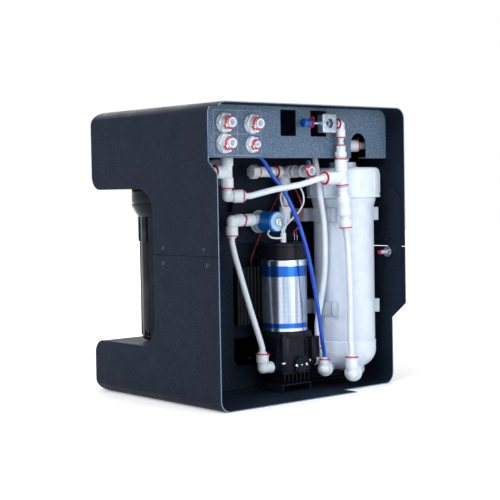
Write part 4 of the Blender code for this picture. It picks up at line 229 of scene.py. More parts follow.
@dataclass(frozen=True)
class PowderCoat:
    """Fine polyester powder coat on steel: dark slate, matt, with a grain that sparkles softly."""

    name: str = "powder_coated_steel"
    colour: str = "131C2A"
    fleck: str = "202C3B"
    # The real tooth is about 0.3 mm; it is drawn at about 2 mm, so that it shows.
    grain_mm: float = 2.0
    depth_mm: float = 0.05
    roughness: Pair = (0.5, 0.62)
    gloss: float = 0.1

    def make(self) -> bpy.types.Material:
        """Build the material.

        Returns:
            The material.
        """
        made = Surface(self.name)
        grain = made.pattern(self.grain_mm, 3.0)
        made.tint(grain, (0.48, 0.68), self.colour, self.fleck)
        made.vary("Roughness", made.pattern(30.0), (0.3, 0.7), self.roughness)
        made.fix(IOR=1.5, Specular_IOR_Level=self.gloss)
        made.raise_skin(grain, self.depth_mm, 0.6)
        return made.material


@dataclass(frozen=True)
class Moulded:
    """Injection-moulded plastic: even colour with a faint flow drift and a soft moulded skin."""

    name: str
    colour: str
    drift: str
    roughness: Pair = (0.3, 0.42)
    grain_mm: float = 0.7
    depth_mm: float = 0.012
    ior: float = 1.49
    subsurface: float = 0.0
    gloss: float = 0.5

    def make(self) -> bpy.types.Material:
        """Build the material.

        Returns:
            The material.
        """
        made = Surface(self.name)
        made.tint(made.pattern(18.0), (0.35, 0.65), self.colour, self.drift)
        skin = made.pattern(self.grain_mm)
        made.vary("Roughness", skin, (0.3, 0.7), self.roughness)
        made.fix(IOR=self.ior, Specular_IOR_Level=self.gloss)
        if self.subsurface:
            made.fix(Subsurface_Weight=self.subsurface, Subsurface_Scale=4 * MM)
        made.raise_skin(skin, self.depth_mm)
        return made.material


@dataclass(frozen=True)
class Metal:
    """Plated or rolled metal with fine drawn lines along one axis."""

    name: str
    colour: str
    tarnish: str
    roughness: Pair = (0.22, 0.36)
    line_mm: float = 0.35
    stretch: Triple = (1.0, 1.0, 1.0)
    depth_mm: float = 0.006

    def make(self) -> bpy.types.Material:
        """Build the material.

        Returns:
            The material.
        """
        made = Surface(self.name)
        lines = made.pattern(self.line_mm, 3.0, self.stretch)
        made.tint(made.pattern(9.0, 3.0), (0.4, 0.7), self.colour, self.tarnish)
        made.vary("Roughness", lines, (0.3, 0.7), self.roughness)
        made.fix(Metallic=1.0)
        if self.depth_mm:
            made.raise_skin(lines, self.depth_mm)
        return made.material


@dataclass(frozen=True)
class Sleeve:
    """Foil label round the motor: silver with painted reflection streaks, printed bands and ruled
    lines.
    """

    name: str = "printed_silver_foil"
    silver: str = "BCC8DA"
    shade: str = "8F9DB2"
    blue: str = "1F5DB8"
    bands: tuple[Pair, ...] = ((0.1845, 0.2015), (0.1035, 0.111))
    rules: tuple[float, ...] = (0.1215, 0.129, 0.1365, 0.144, 0.1515, 0.159, 0.1665, 0.174)
    rule_mm: float = 0.5
    ink: float = 0.35

    def make(self) -> bpy.types.Material:
        """Build the material.

        Returns:
            The material.
        """
        made = Surface(self.name)
        height = add_node(made.tree, "SeparateXYZ", {}, {"Vector": made.where}).outputs["Z"]
        # Upright streaks about 9 mm wide, of lighter and darker silver, are painted reflections that
        # break the foil into columns.
        painted_reflection = made.pattern(9.0, 2.0, (1.0, 1.0, 60.0))
        colour = made.blend(painted_reflection, (0.42, 0.58), self.silver, self.shade)
        for level in self.rules:
            line = self._stripe(made, height, level, level + self.rule_mm * MM)
            # A line's ink is thin, so it covers about a third of the foil's colour.
            colour = made.blend(line, (0.0, 1 / self.ink), colour, "5B6B80")
        for low, high in self.bands:
            colour = made.blend(self._stripe(made, height, low, high), (0.0, 1.0), colour, self.blue)
        made.feed("Base Color", colour)
        # The foil's real lines are about 0.2 mm; they are drawn at 2 mm, so that they show.
        brush = made.pattern(2.0, 3.0, (1.0, 1.0, 12.0))
        made.vary("Roughness", brush, (0.3, 0.7), (0.2, 0.27))
        made.fix(Metallic=0.85)
        return made.material

    def _stripe(self, made: Surface, height: Socket, low: float, high: float) -> Socket:
        """One between two heights and zero elsewhere.

        Args:
            made: surface being built.
            height: socket with the height.
            low: lower edge.
            high: upper edge.

        Returns:
            The stripe's share.
        """
        above = add_node(made.tree, "Math", {"operation": "GREATER_THAN", 1: low}, {0: height})
        below = add_node(made.tree, "Math", {"operation": "LESS_THAN", 1: high}, {0: height})
        both = add_node(
            made.tree, "Math", {"operation": "MULTIPLY"},
            {0: above.outputs["Value"], 1: below.outputs["Value"]},
        )
        return both.outputs["Value"]


class Finishes:
    """The unit's finishes, each built once."""

    def __init__(self) -> None:
        """Build every material."""
        # Powder-coated mild steel reads as dark blue-grey with a fine matt tooth.
        self.steel = PowderCoat().make()
        # The connection panel is the same coat in a lighter slate, with a brighter fleck.
        self.panel = PowderCoat(
            "powder_coated_panel", "52677F", "7D94AE", 1.7, 0.04, (0.44, 0.56), 0.2
        ).make()
        # The case's rear cut edges take a paler coat colour, a painted highlight for the pale line of
        # light they catch.
        self.edge = PowderCoat(
            "painted_edge_highlight", "7489A8", "8CA2C2", 2.0, 0.02, (0.38, 0.5), 0.4
        ).make()
        # Acetal push fittings are bright, slightly cool white and a little waxy.
        self.acetal = Moulded("acetal_white", "EAF2FB", "DFEAF6", (0.28, 0.4), subsurface=0.05).make()
        # The housing is thick blown polypropylene, so it is softer and a touch greyer.
        self.housing = Moulded(
            "polypropylene_white", "DEE9F8", "D4E1F3", (0.3, 0.44), 1.6, 0.03, subsurface=0.06
        ).make()
        # Polyethylene tube lets some light through, which lifts its shaded side.
        self.tube = Moulded(
            "polyethylene_tube_white", "E4EEF9", "D9E5F3", (0.34, 0.46), 2.0, 0.01, subsurface=0.08
        ).make()
        # The small blue tube is dyed through and glossy, so one thin bright line runs along it.
        self.blue_tube = Moulded(
            "polyethylene_tube_blue", "0058CC", "0040C0", (0.12, 0.2), 2.0, 0.01, subsurface=0.03
        ).make()
        # Locking clips are thin glass-filled plastic in clear red.
        self.red = Moulded("acetal_red", "D2203A", "BC1830", (0.3, 0.42)).make()
        # The valve's body and the cradles are dull, light grey polypropylene that hardly glints.
        self.grey = Moulded("polypropylene_grey", "C2CDDA", "B6C2D0", (0.38, 0.5)).make()
        # Nylon, as in the union by the needle valve, is an even, deep blue with a soft sheen.
        self.blue = Moulded("nylon_blue", "0A58B8", "0842A8", (0.26, 0.38)).make()
        # The coil's clean mid blue moulding has wide soft glints that show how round it is.
        self.coil = Moulded("coil_blue", "0874CC", "0A66BC", (0.28, 0.4)).make()
        # The coil's front disc is paler than its drum, so the round front stands out.
        self.pale_blue = Moulded("coil_face_blue", "A4D2F2", "BFE2F8", (0.3, 0.42)).make()
        # The ball valve's lever is light sky-blue plastic, dull enough to show its shape in shade; its
        # colour is painted paler than the plastic, as painted light for the shade it sits in under the
        # panel.
        self.lever = Moulded("lever_light_blue", "84D0FF", "74C2F8", (0.34, 0.46)).make()
        # The pump's glass-filled nylon is black with a faint blue cast and a low sheen.
        self.black = Moulded(
            "nylon_black", "0C111A", "131924", (0.24, 0.38), 1.6, 0.02, gloss=0.14
        ).make()
        # ABS from a polished mould mirrors its surroundings sharply, so it reads by its highlights.
        self.gloss = Moulded(
            "polished_black_abs", "0C121C", "121A28", (0.1, 0.16), 3.0, 0.002, gloss=0.12
        ).make()
        # Zinc plating is cool bright grey, with faint clouds that break up its glints.
        self.zinc = Metal("zinc_plated_steel", "C4C9CF", "AEB4BC", (0.26, 0.42), 0.5).make()
        # Black zinc, on the case's screws and the spindle, is dark with soft grey glints.
        self.dark_zinc = Metal("black_zinc_steel", "3A3F46", "50565E", (0.3, 0.44), 0.5).make()
        # Cast zinc has a clouded skin that spreads its glints; its grain is drawn coarser than real.
        self.cast = Metal("cast_zinc", "AEB9CA", "8C98AC", (0.32, 0.5), 1.6, (1, 1, 1), 0.02).make()
        # Bright steel screws, nut and terminals give small, sharp glints.
        self.bright = Metal("bright_steel", "D2D6DB", "BFC5CC", (0.16, 0.28), 0.3).make()
        # Rolled steel mirrors the bay in upright streaks, drawn at 2 mm and not at the real 0.2 mm.
        self.rolled = Metal(
            "rolled_steel_sleeve", "C6D2E2", "B4C2D6", (0.18, 0.26), 2.0, (1.0, 1.0, 14.0), 0.0
        ).make()
        # The motor's foil label has painted reflection columns in its silver, between its printed blue
        # bands.
        self.foil = Sleeve().make()
        # Soft PVC round the wires is even in colour, with a dull shine.
        self.wire_white = Moulded("pvc_white", "E4ECF6", "D6E0EC", (0.4, 0.52)).make()
        self.wire_red = Moulded("pvc_red", "C8192C", "A81224", (0.36, 0.48)).make()
        self.wire_black = Moulded("pvc_black", "191B1F", "24272C", (0.4, 0.52)).make()
        # Screen-printed lines are pale and matt, and lie flat on the coat.
        self.ink = Moulded("screen_printed_line", "AFC0D0", "A2B4C6", (0.45, 0.55)).make()
        # The membrane is wound in tape, which looks dull grey and slightly creased.
        self.film = Moulded("tape_wrapped_membrane", "AEB6C0", "98A2AE", (0.4, 0.55), 1.2, 0.05).make()


# Shapes


def scene_object(form: bmesh.types.BMesh, name: str = "piece", outward: bool = True) -> Piece:
    """Turn a mesh form into an object.

    Args:
        form: mesh form, which is freed.
        name: name of the object.
        outward: whether its faces are turned outward first.

    Returns:
        The new object.
    """
    if outward:
        bmesh.ops.recalc_face_normals(form, faces=form.faces)
    mesh = bpy.data.meshes.new(name)
    form.to_mesh(mesh)
    form.free()
    made = bpy.data.objects.new(name, mesh)
    bpy.context.scene.collection.objects.link(made)
    return made


def aim(at: Point, direction: Point, spin: float = 0.0) -> Matrix:
    """Matrix that stands an upright shape at a point and leans it along a direction.

    Args:
        at: where the shape's origin goes.
        direction: where its +Z goes.
        spin: turn about its own axis.

    Returns:
        The placing matrix.
    """
    ahead = Vector(direction).normalized()
    side = Z.cross(ahead) if abs(ahead.z) < 0.9 else X - ahead * ahead.x
    side.normalize()
    turn = Matrix((side, ahead.cross(side), ahead)).transposed().to_4x4()
    return Matrix.Translation(Vector(at)) @ turn @ Matrix.Rotation(spin, 4, "Z")


def arc(centre: Point, radius: float, start: float, end: float, steps: int) -> Outline:
    """Points of an arc with both ends, from one angle in radians to another."""
    angles = [start + (end - start) * index / steps for index in range(steps + 1)]
    return [(centre[0] + radius * cos(a), centre[1] + radius * sin(a)) for a in angles]


def soften(profile: Outline, radius: float, steps: int = 2) -> Outline:
    """Round a profile's corners, each by no more than its shorter side allows.

    Args:
        profile: open line of points.
        radius: how far from a corner the rounding starts.
        steps: chords of each rounding.

    Returns:
        The rounded line.
    """
    made = [tuple(profile[0])]
    for before, corner, after in zip(profile, profile[1:], profile[2:]):
        here = Vector(corner)
        back, ahead = Vector(before) - here, Vector(after) - here
        reach = min(radius, back.length * 0.45, ahead.length * 0.45)
        if reach < 1e-6 or back.angle(ahead) > radians(172):
            made.append(tuple(corner))
            continue
        start, end = here + back.normalized() * reach, here + ahead.normalized() * reach
        for index in range(steps + 1):
            share = index / steps
            rest = 1 - share
            made.append(tuple(start * rest**2 + here * 2 * share * rest + end * share**2))
    made.append(tuple(profile[-1]))
    return made


def stacked(*parts: Sequence[float]) -> Outline:
    """Closed profile of parts on one axis, each a radius and the heights that have it."""
    points = [(radius, height) for radius, *heights in parts for height in heights]
    return [(0.0, points[0][1]), *points, (0.0, points[-1][1])]


def hollow(inner: float, outer: float, low: float, high: float) -> Outline:
    """Closed profile of a plain ring between two radii and two heights."""
    return [(inner, low), (outer, low), (outer, high), (inner, high), (inner, low)]


def turned(
    profile: Outline, at: Point = (0, 0, 0), direction: Point = Z, steps: int = 40, spin: float = 0.0
) -> Piece:
    """Turn a profile of radii and heights into a solid.

    Args:
        profile: radius and height of each ring; a line that ends where it starts is a hollow ring.
        at: origin of the heights.
        direction: axis of the solid.
        steps: number of flats round it.
        spin: turn about its own axis.

    Returns:
        The solid.
    """
    form = bmesh.new()
    ring_shaped = profile[0] == profile[-1] and profile[0][0] > 1e-7
    rings = []
    for radius, height in profile[:-1] if ring_shaped else profile:
        count = steps if radius > 1e-7 else 1
        turns = [tau * index / steps for index in range(count)]
        rings.append([form.verts.new((radius * cos(a), radius * sin(a), height)) for a in turns])
    if ring_shaped:
        rings.append(rings[0])
    for first, second in zip(rings, rings[1:]):
        for index in range(steps):
            after = index + 1
            corners = [first[index % len(first)], first[after % len(first)]]
            corners += [second[after % len(second)], second[index % len(second)]]
            corners = list(dict.fromkeys(corners))
            if len(corners) > 2:
                form.faces.new(corners)
    form.transform(aim(at, direction, spin))
    return scene_object(form)


def bevelled(form: bmesh.types.BMesh, edge: float, segments: int = 2, angle: float = 35) -> None:
    """Round the sharper edges of a form.

    Args:
        form: mesh form to change.
        edge: width of the rounding.
        segments: chords of the rounding.
        angle: least angle in degrees between faces that get it.
    """
    form.normal_update()
    limit = radians(angle)
    sharp = [item for item in form.edges if item.is_manifold and item.calc_face_angle(0.0) > limit]
    bmesh.ops.bevel(form, geom=sharp, offset=edge, segments=segments, profile=0.5, affect="EDGES")


def slab(
    outline: Outline, thickness: float, at: Point, across: Point, up: Point, edge: float = 0.0
) -> Piece:
    """Plate of an outline, centred on a plane.

    Args:
        outline: points in the plane.
        thickness: thickness through the plane.
        at: origin of the plane.
        across: the outline's first axis.
        up: the outline's second axis.
        edge: width of the rounding on its edges.

    Returns:
        The plate.
    """
    across, up = Vector(across).normalized(), Vector(up).normalized()
    through = across.cross(up) * thickness / 2
    form = bmesh.new()
    spots = [Vector(at) + across * a + up * b for a, b in outline]
    front = [form.verts.new(spot + through) for spot in spots]
    back = [form.verts.new(spot - through) for spot in spots]
    form.faces.new(front)
    form.faces.new(list(reversed(back)))
    for corners in zip(front, back, back[1:] + back[:1], front[1:] + front[:1]):
        form.faces.new(corners)
    bmesh.ops.recalc_face_normals(form, faces=form.faces)
    if edge:
        rims = [item for item in form.edges if item.verts[0] in front and item.verts[1] in front]
        rims += [item for item in form.edges if item.verts[0] in back and item.verts[1] in back]
        bmesh.ops.bevel(form, geom=rims, offset=edge, segments=2, profile=0.5, affect="EDGES")
    return scene_object(form)


def box(
    low: Point, high: Point, edge: float = 0.0, corner: float = 0.0, axis: Optional[Vector] = None
) -> Piece:
    """Block between two corners.

    Args:
        low: lowest corner.
        high: highest corner.
        edge: width of the rounding on all edges.
        corner: radius of the corners along an axis.
        axis: that axis.

    Returns:
        The block.
    """
    form = bmesh.new()
    bmesh.ops.create_cube(form, size=1.0)
    middle = (Vector(low) + Vector(high)) / 2
    size = Vector(high) - Vector(low)
    for vert in form.verts:
        vert.co = middle + Vector(part * length for part, length in zip(vert.co, size))
    if corner and axis is not None:
        along = [
            item for item in form.edges
            if abs((item.verts[0].co - item.verts[1].co).normalized().dot(axis)) > 0.9
        ]
        bmesh.ops.bevel(form, geom=along, offset=corner, segments=8, profile=0.5, affect="EDGES")
    if edge:
        bevelled(form, edge)
    return scene_object(form)


def rod(start: Point, end: Point, radius: float, edge: float = 0.0003, steps: int = 32) -> Piece:
    """Round bar between two points with eased ends.

    Args:
        start: centre of its first end.
        end: centre of its other end.
        radius: its radius.
        edge: rounding of its ends.
        steps: number of flats round it.

    Returns:
        The bar.
    """
    run = Vector(end) - Vector(start)
    profile = stacked((radius, 0.0, run.length))
    return turned(soften(profile, edge) if edge else profile, start, run, steps)


def prism(
    start: Point, end: Point, radius: float, sides: int = 6, edge: float = 0.0004, spin: float = 0.0
) -> Piece:
    """Bar with flat sides, such as a hexagon, with eased edges.

    Args:
        start: centre of its first end.
        end: centre of its other end.
        radius: distance from its axis to a corner.
        sides: number of sides.
        edge: width of the rounding.
        spin: turn about its own axis.

    Returns:
        The bar.
    """
    run = Vector(end) - Vector(start)
    form = bmesh.new()
    bmesh.ops.create_cone(
        form, cap_ends=True, segments=sides, radius1=radius, radius2=radius, depth=run.length
    )
    bmesh.ops.translate(form, verts=form.verts, vec=Z * run.length / 2)
    bevelled(form, edge)
    form.transform(aim(start, run, spin))
    return scene_object(form)


def merged(first: Piece, *others: Piece) -> Piece:
    """Put other objects' shells in with the first one's.

    Args:
        first: object that is kept.
        others: objects that are used up.

    Returns:
        The first object.
    """
    form = bmesh.new()
    for item in (first, *others):
        form.from_mesh(item.data)
    form.to_mesh(first.data)
    form.free()
    for item in others:
        bpy.data.objects.remove(item, do_unlink=True)
    return first


def shaped(item: Piece, others: Iterable[Piece], kind: str) -> Piece:
    """Combine an object with others for good.

    Args:
        item: object that is changed.
        others: objects that are used up.
        kind: UNION, DIFFERENCE or INTERSECT.

    Returns:
        The changed object.
    """
    others = list(others)
    for other in others:
        step = item.modifiers.new(kind, "BOOLEAN")
        step.operation = kind
        step.solver = "EXACT"
        step.object = other
    return settled(item, others)


def settled(item: Piece, spent: Iterable[Piece] = ()) -> Piece:
    """Apply an object's modifiers and remove the objects they used.

    Args:
        item: object with modifiers.
        spent: objects to remove.

    Returns:
        The object.
    """
    graph = bpy.context.evaluated_depsgraph_get()
    graph.update()
    mesh = bpy.data.meshes.new_from_object(item.evaluated_get(graph))
    item.modifiers.clear()
    item.data = mesh
    for other in spent:
        bpy.data.objects.remove(other, do_unlink=True)
    return item


def cut(item: Piece, *others: Piece) -> Piece:
    """Cut other objects out of the first."""
    return shaped(item, others, "DIFFERENCE")


def eased(item: Piece, width: float, segments: int = 1, angle: float = 40) -> Piece:
    """Round an object's sharper edges with a bevel modifier.

    Args:
        item: object to change.
        width: width of the rounding.
        segments: chords of the rounding.
        angle: least angle in degrees between faces that get it.

    Returns:
        The object.
    """
    step = item.modifiers.new("edges", "BEVEL")
    step.width = width
    step.segments = segments
    step.limit_method = "ANGLE"
    step.angle_limit = radians(angle)
    return settled(item)


def smooth_route(knots: Sequence[Point], spacing: float) -> list[Vector]:
    """Evenly spaced points of a smooth curve through the inner knots, which the outer ones aim.

    Args:
        knots: points of the route.
        spacing: distance between its new points.

    Returns:
        The new points.
    """
    spots = [Vector(knot) for knot in knots]
    shares = [part / 20 for part in range(20)]
    dense = []
    for before, first, second, after in zip(spots, spots[1:], spots[2:], spots[3:]):
        lean, bend = second - before, 2 * before - 5 * first + 4 * second - after
        swing = 3 * first - before - 3 * second + after
        dense += [0.5 * (2 * first + lean * s + bend * s**2 + swing * s**3) for s in shares]
    dense.append(spots[-2])
    lengths = [0.0]
    for first, second in zip(dense, dense[1:]):
        lengths.append(lengths[-1] + (second - first).length)
    count = max(2, round(lengths[-1] / spacing))
    route = []
    cursor = 0
    for index in range(count + 1):
        wanted = lengths[-1] * index / count
        while cursor < len(dense) - 2 and lengths[cursor + 1] < wanted:
            cursor += 1
        run = lengths[cursor + 1] - lengths[cursor]
        route.append(dense[cursor].lerp(dense[cursor + 1], min(1.0, (wanted - lengths[cursor]) / run)))
    return route


def tube(knots: Sequence[Point], radius: float, spacing: float = 0.003, sides: int = 20) -> Piece:
    """Round tube or wire along a route, straight at both ends and smooth between.

    Args:
        knots: points of the route.
        radius: its radius.
        spacing: distance between rings.
        sides: number of flats round it.

    Returns:
        The tube.
    """
    route = [Vector(knots[0]), *smooth_route(knots, spacing), Vector(knots[-1])]
    headings = [(after - before).normalized() for before, after in zip(route, route[1:])]
    headings.append(headings[-1])
    side = headings[0].orthogonal().normalized()
    turns = [tau * index / sides for index in range(sides)]
    form = bmesh.new()
    rings = []
    for spot, ahead in zip(route, headings):
        side = (side - ahead * side.dot(ahead)).normalized()
        up = ahead.cross(side)
        ring = [spot + side * radius * cos(a) + up * radius * sin(a) for a in turns]
        rings.append([form.verts.new(place) for place in ring])
    for first, second in zip(rings, rings[1:]):
        for corners in zip(first, first[1:] + first[:1], second[1:] + second[:1], second):
            form.faces.new(corners)
    form.faces.new(rings[0])
    form.faces.new(rings[-1])
    return scene_object(form)


def toothed(root: float, tip: float, teeth: int, share: float, steps: int = 3) -> Outline:
    """Outline of a ring of flat-topped ribs.

    Args:
        root: radius between the ribs.
        tip: radius of the ribs.
        teeth: number of ribs.
        share: share of the ring that the ribs take.
        steps: points on each top and bottom.

    Returns:
        The outline.
    """
    points = []
    for index in range(teeth):
        for radius, low, high in ((tip, -0.36, 0.36), (root, 0.5, (1 - share / 2) / share)):
            for part in range(steps + 1):
                turn = low + (high - low) * part / steps
                angle = tau * (index + turn * share) / teeth
                points.append((radius * cos(angle), radius * sin(angle)))
    return points


# Push fittings


@dataclass(frozen=True)
class Size:
    """Radii of one size of push fitting."""

    body: float
    collar: float
    collet: float
    tube: float


LARGE = Size(0.0084, 0.0099, 0.0074, 0.00475)
SMALL = Size(0.0062, 0.0072, 0.0052, 0.003175)
CLIP_THICKNESS = 0.0018
COLLET_THICKNESS = 0.0022
PAST_CLIP = CLIP_THICKNESS / 2 + COLLET_THICKNESS
# GAP is the clearance of seated pieces, GRIP is how far a stem goes into a fitting, and ROOM is
# how far a cutter goes past what it cuts.
GAP = 0.0003
SHEET = 0.0015
GRIP = 0.004
ROOM = 0.01
PANEL_Y = 0.122
LARGE_PORTS = ((0.1495, 0.421), (0.0958, 0.4202), (0.1496, 0.3906))
SMALL_PORT = (0.0961, 0.3895)
CARTRIDGE_X = (-0.122, 0.0, 0.122)
CARTRIDGE_Y = -0.057


@dataclass(frozen=True)
class Arm:
    """One arm of a fitting: where it points, how far its clip is, and how the clip's tabs turn."""

    direction: Point
    reach: float
    turn: Optional[float] = None
    centre: Optional[Point] = None


@dataclass
class Assembly:
    """Shared start of every sub-assembly, which dresses its pieces and adds them to the unit."""

    looks: Finishes
    nodes: dict[str, Piece]

    def add(
        self, item: Piece, name: str, material: bpy.types.Material, slot: Slot,
        replaces: Sequence[str] = (), body: Body = Body.UNIT, sharp: float = 38,
    ) -> Piece:
        """Name, dress and shade a piece, and let it ride on its body.

        Args:
            item: the piece.
            name: its name.
            material: its finish.
            slot: slot of the record that it takes its finish from; not used.
            replaces: CAD nodes that it stands for.
            body: body that it rides on.
            sharp: angle in degrees from which its edges stay sharp.

        Returns:
            The piece.
        """
        item.name = name
        item.data.name = name
        item.data.materials.clear()
        item.data.materials.append(material)
        item.data.shade_smooth()
        item.data.set_sharp_from_angle(angle=radians(sharp))
        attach(item, body.value)
        if replaces:
            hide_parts(*replaces)
        LOG.info("%s: %d faces", name, len(item.data.polygons))
        return item

    def dress(self, material: bpy.types.Material, *names: str) -> None:
        """Give CAD nodes that stay a finish.

        Args:
            material: their finish.
            names: the nodes.
        """
        for name in names:
            node = self.nodes[name]
            node.data.materials.clear()
            node.data.materials.append(material)
            LOG.info("%s: dressed as %s", name, material.name)

    def arm(self, size: Size, at: Point, part: Arm) -> Piece:
        """Arm of a fitting with its shoulder, collar and collet.

        Args:
            size: radii of the fitting.
            at: centre of the fitting.
            part: the arm.

        Returns:
            The arm.
        """
        under, over = part.reach - CLIP_THICKNESS / 2, part.reach + CLIP_THICKNESS / 2
        shoulder = min(size.body, under / 2)
        tip = part.reach + PAST_CLIP
        lip = size.tube + 0.0002
        profile = stacked(
            (size.body, 0.0, shoulder), (size.collar, shoulder + 0.0012, under),
            (size.collet - 0.0006, under, over), (size.collet, over, tip), (lip, tip, tip - 0.003),
        )
        return turned(soften(profile, 0.0006), part.centre or at, part.direction)

    def knuckle(self, radius: float, at: Point) -> Piece:
        """Round knuckle where the arms of a fitting meet."""
        return turned(arc((0.0, 0.0), radius, -QUARTER, QUARTER, 16), at)

    def clip(self, size: Size, at: Point, direction: Point, turn: float, outer: float = 0.0) -> Piece:
        """Locking clip: an open ring under the collet, with two eyelet tabs.

        Args:
            size: radii of the fitting.
            at: middle of the clip.
            direction: axis of the arm.
            turn: where its tabs point, in degrees about the arm.
            outer: radius of the ring if it isn't the collar's.

        Returns:
            The clip.
        """
        rim = (outer or size.collar) + 0.0007
        inner = size.collet - 0.0004
        gap = radians(17)
        ring = [*arc((0, 0), rim, gap, tau - gap, 40), *arc((0, 0), inner, tau - gap, gap, 40)]
        place = aim(at, direction, radians(turn))
        across, up = (place.to_3x3() @ axis for axis in (X, Y))
        pieces = [slab(ring, CLIP_THICKNESS * 0.72, at, across, up, 0.0002)]
        for side in (-1, 1):
            spot = Vector(at) + across * (rim + 0.0016) + up * side * 0.00175
            pieces.append(turned(hollow(0.0007, 0.0016, -0.0006, 0.0006), spot, direction, 20))
            foot = Vector(at) + across * ((inner + rim) / 2) + up * side * 0.0026
            neck = foot + across * (rim - inner) + up * side * -0.0004
            pieces.append(rod(foot, neck, 0.0006, 0.0001, 12))
        return merged(*pieces)

    def fitting(
        self, name: str, size: Size, at: Point, arms: Sequence[Arm], extra: Sequence[Piece] = ()
    ) -> None:
        """Moulded fitting of several arms, with its locking clips.

        Args:
            name: CAD node that it stands for.
            size: radii of the fitting.
            at: centre of the fitting.
            arms: its arms.
            extra: other shells of the moulding.
        """
        shells = [self.arm(size, at, part) for part in arms]
        shells.append(self.knuckle(size.body, at))
        self.add(merged(*shells, *extra), f"{name}_moulding", self.looks.acetal, Slot.WHITE, [name])
        clips = []
        for part in arms:
            if part.turn is not None:
                along = Vector(part.direction).normalized()
                spot = Vector(part.centre or at) + along * part.reach
                clips.append(self.clip(size, spot, along, part.turn))
        if clips:
            self.add(merged(*clips), f"{name}_clips", self.looks.red, Slot.WHITE)


def mouth(at: Point, direction: Point, reach: float) -> Vector:
    """Where a tube meets an arm's collet."""
    return Vector(at) + Vector(direction).normalized() * (reach + PAST_CLIP + GAP)


def polar(angle: float) -> Vector:
    """Level direction at an angle in degrees from +X."""
    return Vector((cos(radians(angle)), sin(radians(angle)), 0.0))


# Sub-assemblies


